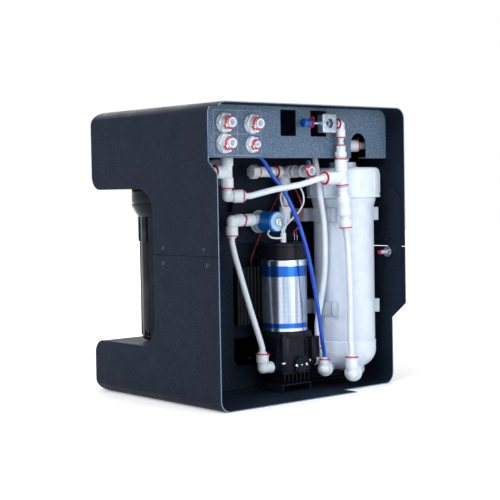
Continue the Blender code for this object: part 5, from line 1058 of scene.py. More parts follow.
@dataclass
class Case(Assembly):
    """Folded steel case: two wraps, the front sheet, the connection panel and their fasteners."""

    width: float = 0.39
    depth: float = 0.324
    height: float = 0.45
    bend: float = 0.018
    split: float = 0.226
    seam: float = 0.0009
    front_corner: float = 0.022
    recess: Triple = (0.0836, 0.326, 0.003)
    recess_corner: float = 0.038
    fold: float = 0.003
    screws: tuple[Pair, ...] = ((0.029, 0.237), (0.129, 0.237), (0.029, 0.214), (0.137, 0.214))
    sink: float = 0.0034
    panel_bottom: float = 0.37
    windows: tuple[Pair, ...] = ((0.0048, 0.037), (-0.059, -0.0255))
    window_z: Pair = (0.4033, 0.4435)
    arch: Triple = (-0.147, -0.113, 0.41)
    thread_holes: Pair = (0.0091, 0.0074)
    plate: tuple[float, float, float, float] = (0.0765, 0.1675, 0.3735, 0.44)
    plate_cross: Pair = (0.1225, 0.405)
    rule: float = 0.0005
    stud: Pair = (0.125, 0.2165)
    rivet: Pair = (0.121, 0.2355)
    partition_screws: tuple[Pair, ...] = ((0.032, 0.1195), (0.0176, 0.0506), (-0.0076, 0.3666))

    def outline(self, inset: float, fold: float) -> Outline:
        """Front and recess line of the case's side, moved into the case.

        Args:
            inset: how far it is moved in.
            fold: radius of the recess's corners.

        Returns:
            Points in Y and Z.
        """
        front = -self.depth / 2 + inset
        bottom, top = self.recess[0] - inset, self.recess[1] + inset
        back = self.recess[2] + inset
        outer, inner = self.front_corner - inset, fold + inset
        return [
            *arc((front + outer, self.height - inset - outer), outer, QUARTER, 2 * QUARTER, 10),
            *arc((front + outer, top + outer), outer, 2 * QUARTER, 3 * QUARTER, 10),
            *arc((back - inner, top - inner), inner, QUARTER, 0.0, 12),
            *arc((back - inner, bottom + inner), inner, 0.0, -QUARTER, 12),
            *arc((front + outer, bottom - outer), outer, QUARTER, 2 * QUARTER, 10),
            *arc((front + outer, inset + outer), outer, 2 * QUARTER, 3 * QUARTER, 10),
        ]

    def sheet(
        self, path: Sequence[Point], near: float, far: float, along: Vector, side: float
    ) -> Piece:
        """Sheet swept along an axis over an open path.

        Args:
            path: points of the path.
            near: where the sweep starts.
            far: where it ends.
            along: axis of the sweep.
            side: which side of the path the thickness goes to, one or minus one.

        Returns:
            The sheet.
        """
        form = bmesh.new()
        rows = [
            [form.verts.new(Vector(spot) + along * place) for spot in path] for place in (near, far)
        ]
        for index in range(len(path) - 1):
            form.faces.new((rows[0][index], rows[0][index + 1], rows[1][index + 1], rows[1][index]))
        made = scene_object(form, "sheet", False)
        shell = made.modifiers.new("thickness", "SOLIDIFY")
        shell.thickness = SHEET
        shell.offset = side
        shell.use_even_offset = True
        return settled(made)

    def wrap(self, split: float, far: float) -> Piece:
        """U-shaped half of the case.

        Args:
            split: height of its open edge.
            far: height of its flat side.

        Returns:
            The bent sheet, cut to the side's outline.
        """
        sign = 1.0 if far > split else -1.0
        corner = (self.width / 2 - self.bend, far - sign * self.bend)
        right = arc(corner, self.bend, 0.0, sign * QUARTER, 12)
        left = [(-x, z) for x, z in reversed(right)]
        path = [(self.width / 2, split), *right, *left, (-self.width / 2, split)]
        sweep = self.depth / 2
        made = self.sheet([(x, 0.0, z) for x, z in path], -sweep, sweep, Y, self._side(path, sweep))
        line = self.outline(0.0, self.recess_corner)
        far_y, over = sweep + ROOM, self.height + ROOM
        points = [(far_y, -ROOM), (far_y, over), (line[0][0], over), *line, (line[-1][0], -ROOM)]
        return shaped(made, [slab(points, self.width + ROOM, (0, 0, 0), Y, Z)], "INTERSECT")

    def _side(self, path: Outline, sweep: float) -> float:
        """Side of the path that is inside the case, as the sheet's faces run.

        Args:
            path: points of the path in X and Z.
            sweep: how far the sheet reaches along Y.

        Returns:
            One or minus one.
        """
        first, second = Vector((path[0][0], 0, path[0][1])), Vector((path[1][0], 0, path[1][1]))
        normal = (second - first).cross(Y * sweep)
        return -1.0 if normal.x > 0 else 1.0

    def holes(self, upper: bool) -> list[Piece]:
        """Cutters for the screw holes of one wrap.

        Args:
            upper: whether it is the upper wrap.

        Returns:
            The cutters.
        """
        made = []
        for side in (-1, 1):
            for y, z in self.screws:
                if (z > self.split) == upper:
                    x = side * self.width / 2
                    made.append(rod((x - ROOM, y, z), (x + ROOM, y, z), self.sink, 0.0, 24))
        return made

    def build_wraps(self) -> None:
        """Upper cover with its cut-away, and lower tray with its own."""
        half, rear = self.width / 2, self.depth / 2
        beyond = rear + ROOM
        notch = [(0.142, 0.443), (0.142, 0.364), (rear, 0.345), (beyond, 0.345), (beyond, 0.443)]
        upper = self.wrap(self.split + self.seam / 2, self.height)
        cut(upper, slab(notch, self.bend * 2, (half, 0, 0), Y, Z), *self.holes(True))
        self.add_wrap(upper, "cover_sheet", "upper_cover")
        notch = [(0.1315, -ROOM), (beyond, -ROOM), (beyond, 0.1336), (rear, 0.1336), (0.1315, 0.1088)]
        wide = half - 0.08 + ROOM
        lower = self.wrap(self.split - self.seam / 2, 0.0)
        cut(lower, slab(notch, wide, (-0.08 - wide / 2, 0, 0), Y, Z), *self.holes(False))
        self.add_wrap(lower, "tray_sheet", "lower_tray")

    def add_wrap(self, item: Piece, name: str, node: str) -> None:
        """Ease and add a bent sheet, with a painted highlight colour on its rear edges.

        Args:
            item: the sheet.
            name: its name.
            node: CAD node that it stands for.
        """
        self.add(eased(item, 0.0003), name, self.looks.steel, Slot.STEEL, [node])
        # The rear cut edges, the faces that look to +Y, take the paler colour as a painted highlight.
        item.data.materials.append(self.looks.edge)
        for face in item.data.polygons:
            if face.normal.y > 0.5:
                face.material_index = 1

    def envelope(self, front: float, back: float) -> Piece:
        """Block that fills the wraps between two depths.

        Args:
            front: its lower Y.
            back: its higher Y.

        Returns:
            The block.
        """
        inset = SHEET + GAP
        half = self.width / 2 - inset
        return box((-half, front, inset), (half, back, self.height - inset), 0.0, self.bend - inset, Y)

    def build_front(self) -> None:
        """Front sheet with the recess and its three neck holes."""
        line = self.outline(SHEET + GAP, self.fold)
        half = self.width / 2
        front = self.sheet([(0.0, y, z) for y, z in line], -half, half, X, 1.0)
        shaped(front, [self.envelope(-self.depth / 2, self.depth / 2)], "INTERSECT")
        ceiling = self.recess[1]
        necks = [
            rod((x, CARTRIDGE_Y, ceiling - ROOM), (x, CARTRIDGE_Y, ceiling + ROOM), 0.03, 0.0, 48)
            for x in CARTRIDGE_X
        ]
        self.add(cut(front, *necks), "front_sheet", self.looks.steel, Slot.STEEL, ["front_fascia"])

    def build_panel(self) -> None:
        """Connection panel with its windows, arched slot, folded foot and side tab."""
        y, bottom = PANEL_Y, self.panel_bottom
        half = self.width / 2 - SHEET - GAP
        plate = self.envelope(y - SHEET, y)
        cut(plate, box((-half - ROOM, y - ROOM, -ROOM), (half + ROOM, y + ROOM, bottom)))
        foot = box((-half, y - 0.018, bottom), (half, y - SHEET / 2, bottom + SHEET))
        tab = box((half - SHEET, y - SHEET / 2, 0.3716), (half, 0.15, 0.402))
        shaped(plate, [foot, tab], "UNION")
        low, high = self.window_z
        cutters = [
            box((near, y - ROOM, low), (far, y + ROOM, high), 0.0, 0.001, Y)
            for near, far in self.windows
        ]
        cutters.append(box((half - ROOM, 0.139, 0.38), (half + ROOM, 0.146, 0.396), 0.0, 0.001, X))
        left, right, top = self.arch
        radius = (right - left) / 2
        slot = [*arc(((left + right) / 2, top - radius), radius, 0.0, pi, 24)]
        slot += [(left, bottom - ROOM), (right, bottom - ROOM)]
        cutters.append(slab(slot, 0.056, (0, y, 0), X, Z))
        large, small = self.thread_holes
        for x, z, radius in (*((*port, large) for port in LARGE_PORTS), (*SMALL_PORT, small)):
            cutters.append(rod((x, y - ROOM, z), (x, y + ROOM, z), radius, 0.0, 40))
        cut(plate, *cutters)
        self.add(
            eased(plate, 0.00025), "panel_sheet", self.looks.panel, Slot.STEEL, ["connection_panel"]
        )

    def build_plate_lines(self) -> None:
        """Thin ruled border and cross lines round the four bulkheads."""
        left, right, low, high = self.plate
        middle_x, middle_z = self.plate_cross
        y, half = PANEL_Y + 0.0001, self.rule / 2
        runs = [((left, z), (right, z)) for z in (low, middle_z, high)]
        runs += [((x, low), (x, high)) for x in (left, middle_x, right)]
        bars = [
            box((x - half, y - 0.0001, z - half), (far_x + half, y + 0.0001, far_z + half))
            for (x, z), (far_x, far_z) in runs
        ]
        self.add(merged(*bars), "panel_rules", self.looks.ink, Slot.STEEL)

    def build_fasteners(self) -> None:
        """Countersunk case screws, the earth nut and stud, rivets and partition screws."""
        heads = []
        for side in (-1, 1):
            for y, z in self.screws:
                heads.append(self.screw((side * (self.width / 2 - 0.0014), y, z), X * side, 0.0031))
        for x, z in self.partition_screws:
            heads.append(self.screw((x, 0.0172, z), Y, 0.003))
        self.add(merged(*heads), "case_screws", self.looks.dark_zinc, Slot.ZINC)
        y, z = self.stud
        seat = -self.width / 2 + 0.0035
        nut = [
            prism((seat, y, z), (seat + 0.0058, y, z), 0.0071, 6, 0.0005),
            rod((seat, y, z), (seat + 0.0009, y, z), 0.0083, 0.0002),
            self.threaded((seat + 0.004, y, z), X, 0.0031, 0.014),
        ]
        self.add(merged(*nut), "earth_nut", self.looks.zinc, Slot.ZINC)
        tip = seat + 0.0175
        cap = rod((tip, y, z), (tip + 0.0025, y, z), 0.0033, 0.0006)
        self.add(cap, "stud_tip", self.looks.red, Slot.ZINC)
        y, z = self.rivet
        domes = []
        for side in (-1, 1):
            base = (side * (self.width / 2 - 0.0035), y, z)
            dome = [(0.0, 0.0), (0.0036, 0.0), *arc((0, 0), 0.0036, 0.05, QUARTER, 8)]
            domes.append(turned([(r, h * 0.5) for r, h in dome], base, X * -side, 32))
        self.add(merged(*domes), "strap_rivets", self.looks.steel, Slot.STEEL)

    def screw(self, at: Point, direction: Point, radius: float) -> Piece:
        """Low domed screw head with a cross recess.

        Args:
            at: middle of the head's foot.
            direction: where the head faces.
            radius: radius of the head.

        Returns:
            The head.
        """
        rise = radius * 0.42
        dome = [(radius * cos(a), rise * sin(a)) for a in (0.0, 0.3, 0.6, 0.9, 1.2)]
        head = turned([(0.0, -0.0006), (radius, -0.0006), *dome, (0.0, rise)], at, direction, 32)
        place = aim(at, direction)
        across, up = (place.to_3x3() @ axis for axis in (X, Y))
        reach, half = radius * 0.55, radius * 0.11
        cross = [(reach, half), (half, half), (half, reach)]
        cross += [(-x, z) for x, z in reversed(cross)]
        cross += [(-x, -z) for x, z in cross]
        top = Vector(at) + Vector(direction) * rise
        return cut(head, slab(cross, radius * 0.5, top, across, up))

    def threaded(self, at: Point, direction: Point, radius: float, length: float) -> Piece:
        """Stud with fine thread ridges.

        Args:
            at: middle of its foot.
            direction: where it points.
            radius: its radius over the ridges.
            length: its length.

        Returns:
            The stud.
        """
        pitch = 0.0008
        profile = [(0.0, 0.0)]
        for index in range(round(length / pitch)):
            profile += [(radius * 0.9, index * pitch), (radius, (index + 0.5) * pitch)]
        profile += [(radius * 0.85, length), (0.0, length)]
        return turned(profile, at, direction, 24)

    def build(self) -> None:
        """Build and dress the case."""
        self.build_wraps()
        self.build_front()
        self.build_panel()
        self.build_plate_lines()
        self.build_fasteners()
        self.dress(self.looks.steel, "partition", "strap_left", "strap_right", "pump_bracket")


@dataclass
class Bulkheads(Assembly):
    """Three large push bulkheads and a small one, through the connection panel."""

    inner: float = 0.097

    def bulkhead(
        self, node: str, size: Size, x: float, z: float, radii: Sequence[float], tips: Sequence[float]
    ) -> None:
        """One bulkhead with its flange, cone, collet, nut and clip.

        Args:
            node: CAD node that it stands for.
            size: radii of its collet and tube.
            x: where its axis is across the panel.
            z: height of its axis.
            radii: radii of its flange, cone and thread.
            tips: where its cone and its collet end.
        """
        flange, cone, thread = radii
        cone_tip, tip = tips
        seat = PANEL_Y + GAP
        bore = size.tube + 0.0003
        rim = size.collet + 0.0022
        profile = stacked(
            (bore, tip - 0.014, tip), (size.collet, tip, tip - 0.0022),
            (size.collet - 0.0008, tip - 0.0026, cone_tip + CLIP_THICKNESS),
            (rim, cone_tip + CLIP_THICKNESS, cone_tip), (cone, seat + 0.0052),
            (cone + 0.0008, seat + 0.004), (flange, seat + 0.0034, seat), (thread, seat, self.inner),
        )
        body = turned(soften(profile, 0.0007), (x, 0.0, z), Y, 56)
        back = PANEL_Y - SHEET - GAP
        nut = prism((x, back - 0.006, z), (x, back, z), thread * 1.42, 6, 0.0005)
        grip = prism((x, seat + 0.003, z), (x, seat + 0.0082, z), cone * 1.14, 6, 0.0005, QUARTER)
        self.add(merged(body, grip, nut), f"{node}_moulding", self.looks.acetal, Slot.WHITE, [node])
        at = (x, cone_tip + CLIP_THICKNESS / 2 + 0.0003, z)
        clip = self.clip(size, at, Y, 215, rim - 0.0002)
        self.add(clip, f"{node}_clip", self.looks.red, Slot.WHITE)

    def build(self) -> None:
        """Build the four bulkheads."""
        for index, port in enumerate(LARGE_PORTS, 1):
            radii, tips = (0.0148, 0.0131, 0.0085), (0.1375, 0.145)
            self.bulkhead(f"bulkhead_large_{index}", LARGE, *port, radii, tips)
        self.bulkhead("bulkhead_small", SMALL, *SMALL_PORT, (0.0123, 0.0106, 0.0068), (0.133, 0.1385))


@dataclass
class NeedleValve(Assembly):
    """Zinc valve block with its spindle, stems and blue union."""

    y: float = 0.137
    z: float = 0.4232
    block_x: Pair = (-0.0612, -0.0318)
    depth: float = 0.013
    height: float = 0.029
    hexagon: float = 0.0082
    spindle: float = 0.0032

    def build_block(self) -> None:
        """Block with its hexagonal recess, spindle bore and stems."""
        low, high = self.block_x
        y, z = self.y, self.z
        half, middle, face = self.height / 2, (low + high) / 2, y + self.depth / 2
        body = box((low, y - self.depth / 2, z - half), (high, face, z + half), 0.0007, 0.003, Y)
        recess = prism(
            (middle, face - 0.0075, z), (middle, face + ROOM, z), self.hexagon, 6, 0.0003, QUARTER
        )
        bore = rod((middle, face - 0.011, z), (middle, face, z), self.spindle + 0.0004, 0.0, 32)
        cut(body, recess, bore)
        stems = [
            rod((high - 0.001, y, z), (-0.0146, y, z), 0.0022, 0.0002),
            rod((low + 0.001, y, z), (-0.0668, y, z), 0.0022, 0.0002),
            rod((high - 0.0005, y, z), (high + 0.0016, y, z), 0.0042, 0.0005),
            rod((low + 0.0005, y, z), (low - 0.0016, y, z), 0.0042, 0.0005),
        ]
        self.add(merged(body, *stems), "needle_block", self.looks.cast, Slot.ZINC, ["valve_block"])

    def build_spindle(self) -> None:
        """Slotted needle spindle, which turns in the block."""
        middle, face = sum(self.block_x) / 2, self.y + self.depth / 2
        z = self.z
        spindle = rod((middle, face - 0.0107, z), (middle, face - 0.0045, z), self.spindle, 0.0004)
        slot = box((middle - 0.006, face - 0.0055, z - 0.0005), (middle + 0.006, face, z + 0.0005))
        needle = cut(spindle, slot)
        self.add(needle, "needle", self.looks.dark_zinc, Slot.ZINC, ["valve_spindle"], Body.NEEDLE)

    def build_union(self) -> None:
        """Blue push union on the left stem, with a white end disc and its clip."""
        reach = 0.0117
        over = reach + CLIP_THICKNESS
        profile = stacked(
            (0.0052, over + 0.0011, over), (0.0046, over, reach), (0.0056, reach, 0.0062),
            (0.0043, 0.0052, 0.0032), (0.0063, 0.0026, -0.0046),
        )
        body = turned(soften(profile, 0.0005), (0.0, self.y, self.z), -X, 40)
        self.add(body, "union_body", self.looks.blue, Slot.BLUE, ["blue_union"])
        at = (-reach - CLIP_THICKNESS / 2, self.y, self.z)
        self.add(self.clip(SMALL, at, -X, 120), "union_clip", self.looks.red, Slot.BLUE)

    def build(self) -> None:
        """Build the valve group."""
        self.build_block()
        self.build_spindle()
        self.build_union()


@dataclass
class Stack(Assembly):
    """Upright group at the right of the bay: elbow, connector, tee and non-return valve."""

    x: float = -0.0763
    y: float = 0.137
    elbow_z: float = 0.4214
    tee_z: float = 0.3396
    elbow_reach: float = 0.0197
    tee_reaches: Triple = (0.0284, 0.0363, 0.0126)
    branch_drop: float = 0.0016
    lean: float = radians(5.9)
    levels: tuple[float, ...] = (0.3205, 0.319, 0.311, 0.3065, 0.2796, 0.277, 0.272, 0.2605)

    @property
    def up(self) -> Vector:
        """Direction of the leaning lower part."""
        return Vector((sin(self.lean), 0.0, cos(self.lean)))

    def build_elbow(self) -> None:
        """Small elbow from the valve block down."""
        side = Arm(X, 0.006, 200, (self.x, self.y, 0.4232))
        arms = [Arm(-Z, self.elbow_reach, 60), side]
        self.fitting("stack_elbow", SMALL, (self.x, self.y, self.elbow_z), arms)

    def build_connector(self) -> None:
        """Stem adaptor with a hexagon."""
        top = self.elbow_z - self.elbow_reach - PAST_CLIP - GAP
        bottom = self.tee_z + self.tee_reaches[0] + PAST_CLIP + GAP
        under, over = 0.3887, 0.3905
        profile = stacked(
            (0.004, top + GRIP, over + 0.0022), (0.0052, over + 0.0022, over), (0.0046, over, under),
            (0.0072, under, 0.378), (LARGE.tube, 0.3722, bottom - GRIP),
        )
        body = turned(soften(profile, 0.0005), (self.x, self.y, 0.0))
        hexagon = prism((self.x, self.y, 0.3712), (self.x, self.y, 0.379), 0.0095, 6, 0.0006)
        self.add(
            merged(body, hexagon), "connector_body", self.looks.acetal, Slot.WHITE, ["stack_connector"]
        )
        clip = self.clip(SMALL, (self.x, self.y, 0.3896), Z, 70)
        self.add(clip, "connector_clip", self.looks.red, Slot.WHITE)

    def build_tee(self) -> None:
        """Large tee with its branch toward the left."""
        at = Vector((self.x, self.y, self.tee_z))
        above, branch, below = self.tee_reaches
        arms = [
            Arm(Z, above, 80), Arm(X, branch, 170, tuple(at - Z * self.branch_drop)),
            Arm(-self.up, below, 100),
        ]
        self.fitting("stack_tee", LARGE, at, arms)

    def build_check_valve(self) -> None:
        """Ringed non-return valve with the collar that takes the brine tube."""
        ring, neck, waist, shoulder, foot, low, collar, groove = (z - self.tee_z for z in self.levels)
        top = -self.tee_reaches[2] - PAST_CLIP - GAP
        under = groove - CLIP_THICKNESS
        profile = stacked(
            (LARGE.tube, top + GRIP, top), (0.0096, top, ring), (0.008, neck, waist),
            (0.0105, shoulder, shoulder - 0.009), (0.01, shoulder - 0.0096, foot + 0.007),
            (0.0105, foot + 0.0064, foot), (0.007, low, collar), (0.01, collar, groove),
            (0.0068, groove, under), (0.0074, under, under - 0.0022),
            (0.005, under - 0.0022, under + 0.001),
        )
        at = (self.x, self.y, self.tee_z)
        body = turned(soften(profile, 0.0006), at, self.up, 48)
        self.add(body, "check_valve_body", self.looks.acetal, Slot.WHITE, ["check_valve"])
        spot = Vector(at) + self.up * (groove - CLIP_THICKNESS / 2)
        self.add(self.clip(LARGE, spot, -self.up, 90), "check_valve_clip", self.looks.red, Slot.WHITE)

    def build(self) -> None:
        """Build the stack."""
        self.build_elbow()
        self.build_connector()
        self.build_tee()
        self.build_check_valve()


@dataclass
class BallValve(Assembly):
    """Ball valve with its tee, side barrel and blue lever."""

    x: float = -0.0365
    z: float = 0.35
    mouth_y: float = 0.113
    ball_y: float = 0.083
    lever_x: float = -0.0565
    lever_size: Triple = (0.004, 0.0115, 0.037)
    tee: Triple = (-0.0365, 0.046, 0.35)
    tee_reaches: Triple = (0.0205, 0.027, 0.018)

    def build_body(self) -> None:
        """Valve barrel with ring collars, its bored mouth, its bonnet and its clip."""
        clip = self.mouth_y - PAST_CLIP
        under, over = clip - CLIP_THICKNESS / 2, clip + CLIP_THICKNESS / 2
        end = self.tee[1] + self.tee_reaches[0] + PAST_CLIP + GAP
        profile = stacked(
            (0.005, self.mouth_y - 0.02, self.mouth_y), (0.0074, self.mouth_y, over),
            (0.0068, over, under), (0.0099, under, under - 0.0075),
            (0.0088, under - 0.0085, self.ball_y + 0.0105),
            (0.0098, self.ball_y + 0.01, self.ball_y + 0.0075),
            (0.009, self.ball_y + 0.007, self.ball_y - 0.007), (0.01, self.ball_y - 0.008, end),
            (LARGE.tube, end, end - GRIP),
        )
        body = turned(soften(profile, 0.0006), (self.x, 0.0, self.z), Y, 48)
        centre = (self.x, self.ball_y, self.z)
        bonnet = [(0.0, 0.004), (0.006, 0.004), (0.006, 0.0125), (0.0048, 0.0135), (0.0048, 0.0158)]
        neck = turned(soften([*bonnet, (0.0, 0.0158)], 0.0005), centre, -X, 36)
        body = merged(body, neck)
        self.add(body, "ball_valve_moulding", self.looks.acetal, Slot.WHITE, ["ball_valve_body"])
        ring = self.clip(LARGE, (self.x, clip, self.z), Y, 160)
        self.add(ring, "ball_valve_clip", self.looks.red, Slot.WHITE)

    def build_lever(self) -> None:
        """Flat lever with a raised rib and a screw boss, on the ball's stem."""
        thick, wide, long = self.lever_size
        half = wide / 2
        middle = long / 2 - half
        outline = [
            *arc((0.0, middle), half * 0.86, 0.0, pi, 12), *arc((0.0, -middle), half, pi, tau, 12),
        ]
        at = Vector((self.lever_x, self.ball_y, self.z))
        plate = slab(outline, thick * 0.62, at + X * thick * 0.19, Y, Z, 0.0005)
        rim = [(y * 0.3, z * 0.86) for y, z in outline]
        rib = slab(rim, thick, at, Y, Z, 0.0005)
        boss = rod(at + X * 0.002, at - X * 0.002, 0.0042, 0.0005)
        stem = rod(at + X * 0.001, (self.x - 0.004, self.ball_y, self.z), 0.0029)
        self.add(
            merged(plate, rib, boss, stem), "lever", self.looks.lever, Slot.LIGHT_BLUE,
            ["ball_valve_lever"], Body.BALL_LEVER,
        )

    def build_barrel(self) -> None:
        """Side barrel with a hexagon end and its clip."""
        y, z = self.tee[1:]
        start = self.tee[0] + self.tee_reaches[2] + PAST_CLIP + GAP
        ring, end = 0.0186, 0.0225
        profile = stacked(
            (0.0074, end, ring + 0.0018), (0.0066, ring + 0.0018, ring), (0.0088, ring, ring - 0.006),
            (0.0083, ring - 0.0066, start + 0.008), (0.0088, start + 0.0074, start + 0.004),
            (LARGE.tube, start + 0.004, start - GRIP),
        )
        barrel = turned(soften(profile, 0.0005), (0.0, y, z), X, 40)
        hexagon = prism((end - 0.0015, y, z), (0.034, y, z), 0.0112, 6, 0.0007)
        self.add(merged(barrel, hexagon), "barrel", self.looks.acetal, Slot.WHITE, ["side_barrel"])
        clip = self.clip(LARGE, (ring + 0.0009, y, z), X, 190, 0.0092)
        self.add(clip, "barrel_clip", self.looks.red, Slot.WHITE)

    def build(self) -> None:
        """Build the ball valve group."""
        self.build_body()
        self.build_lever()
        front, below, side = self.tee_reaches
        arms = [Arm(Y, front), Arm(-Z, below, 80), Arm(X, side, 190)]
        self.fitting("valve_tee", LARGE, self.tee, arms)
        self.build_barrel()


@dataclass
class FeedFittings(Assembly):
    """Left tee under the panel, and the elbow below it that is turned toward the stack."""

    tee: Triple = (0.11, 0.08, 0.3496)
    elbow: Triple = (0.11, 0.08, 0.3125)
    tee_reaches: Triple = (0.0225, 0.025, 0.024)
    elbow_reach: float = 0.025
    turn: float = 150

    def build(self) -> None:
        """Build the tee and the elbow."""
        above, below, side = self.tee_reaches
        arms = [Arm(Z, above), Arm(-Z, below, 60), Arm(X, side, 200)]
        self.fitting("left_tee", LARGE, self.tee, arms)
        top = self.tee[2] - below - PAST_CLIP - GAP - self.elbow[2]
        wide, pin, tip = LARGE.body, LARGE.tube, top + GRIP
        profile = stacked((wide, 0, top), (pin, top, tip))
        stem = turned(soften(profile, 0.0006), self.elbow)
        arm = Arm(polar(self.turn), self.elbow_reach, 185)
        self.fitting("elbow_a", LARGE, self.elbow, [arm], [stem])


@dataclass
class Solenoid(Assembly):
    """Solenoid valve with its coil, core and two elbows."""

    coil_x: float = 0.007
    coil_z: float = 0.271
    coil_radius: float = 0.0165
    coil_y: Pair = (0.047, 0.079)
    elbow_out: Triple = (0.073, 0.044, 0.2745)
    elbow_in: Triple = (-0.0375, 0.046, 0.2765)
    out_reaches: Pair = (0.024, 0.0215)
    in_reaches: Pair = (0.0185, 0.018)

    def build_body(self) -> None:
        """Grey valve body with its right port and core flange."""
        cx, cz = self.coil_x, self.coil_z
        drum = rod((cx, 0.03, cz), (cx, 0.0467, cz), 0.0168, 0.0012, 56)
        x_in, y, z = self.elbow_in
        port_end = x_in + self.in_reaches[1] + PAST_CLIP + GAP
        right = rod((-0.006, y, z), (port_end, y, z), 0.0084, 0.0005)
        stub = rod((port_end + 0.001, y, z), (port_end - GRIP, y, z), LARGE.tube, 0.0)
        y, z = self.elbow_out[1:]
        neck = rod((0.014, y, z), (0.031, y, z), 0.0084, 0.0)
        foot = rod((cx, 0.031, cz), (cx, 0.034, cz), 0.0182, 0.0008, 56)
        body = merged(drum, right, stub, neck, foot)
        self.add(body, "solenoid_block", self.looks.grey, Slot.GREY, ["solenoid_body"])

    def build_collar(self) -> None:
        """White collar with grip flats between the body and the left elbow."""
        x, y, z = self.elbow_out
        end = x - self.out_reaches[1] - PAST_CLIP - GAP
        grip = prism((0.03, y, z), (end - 0.004, y, z), 0.0099, 12, 0.0005)
        ring = rod((end - 0.005, y, z), (end, y, z), 0.0094, 0.0006, 40)
        stub = rod((end - 0.001, y, z), (end + GRIP, y, z), LARGE.tube, 0.0)
        self.add(merged(grip, ring, stub), "solenoid_collar", self.looks.acetal, Slot.GREY)

    def build_coil(self) -> None:
        """Blue coil with a pale end face, and the core's nut and tip."""
        x, z = self.coil_x, self.coil_z
        near, far = self.coil_y
        profile = [
            (0.0063, far - 0.0004), (0.0148, far - 0.0004), (0.0154, far - 0.0016),
            (self.coil_radius, far - 0.0022), (self.coil_radius, near), (0.0063, near),
            (0.0063, far - 0.0004),
        ]
        self.add(
            turned(profile, (x, 0.0, z), Y, 64), "coil", self.looks.coil, Slot.BLUE, ["solenoid_coil"]
        )
        face = [(0.0064, far - 0.0006), (0.0064, far), (0.0146, far), (0.0149, far - 0.0006)]
        self.add(
            turned([*face, face[0]], (x, 0.0, z), Y, 64), "coil_face", self.looks.pale_blue, Slot.BLUE
        )
        nut = [
            prism((x, far + GAP, z), (x, far + 0.0043, z), 0.0078, 6, 0.0005),
            rod((x, 0.052, z), (x, far + 0.005, z), 0.0061, 0.0008, 36),
        ]
        self.add(merged(*nut), "core_nut", self.looks.bright, Slot.ZINC)

    def build(self) -> None:
        """Build the solenoid group."""
        self.build_body()
        self.build_collar()
        self.build_coil()
        self.dress(self.looks.zinc, "solenoid_plunger")
        below, side = self.out_reaches
        arms = [Arm(-Z, below, 100), Arm(-X, side, 160)]
        self.fitting("elbow_solenoid_out", LARGE, self.elbow_out, arms)
        above, side = self.in_reaches
        self.fitting("elbow_solenoid_in", LARGE, self.elbow_in, [Arm(Z, above, 80), Arm(X, side, 190)])


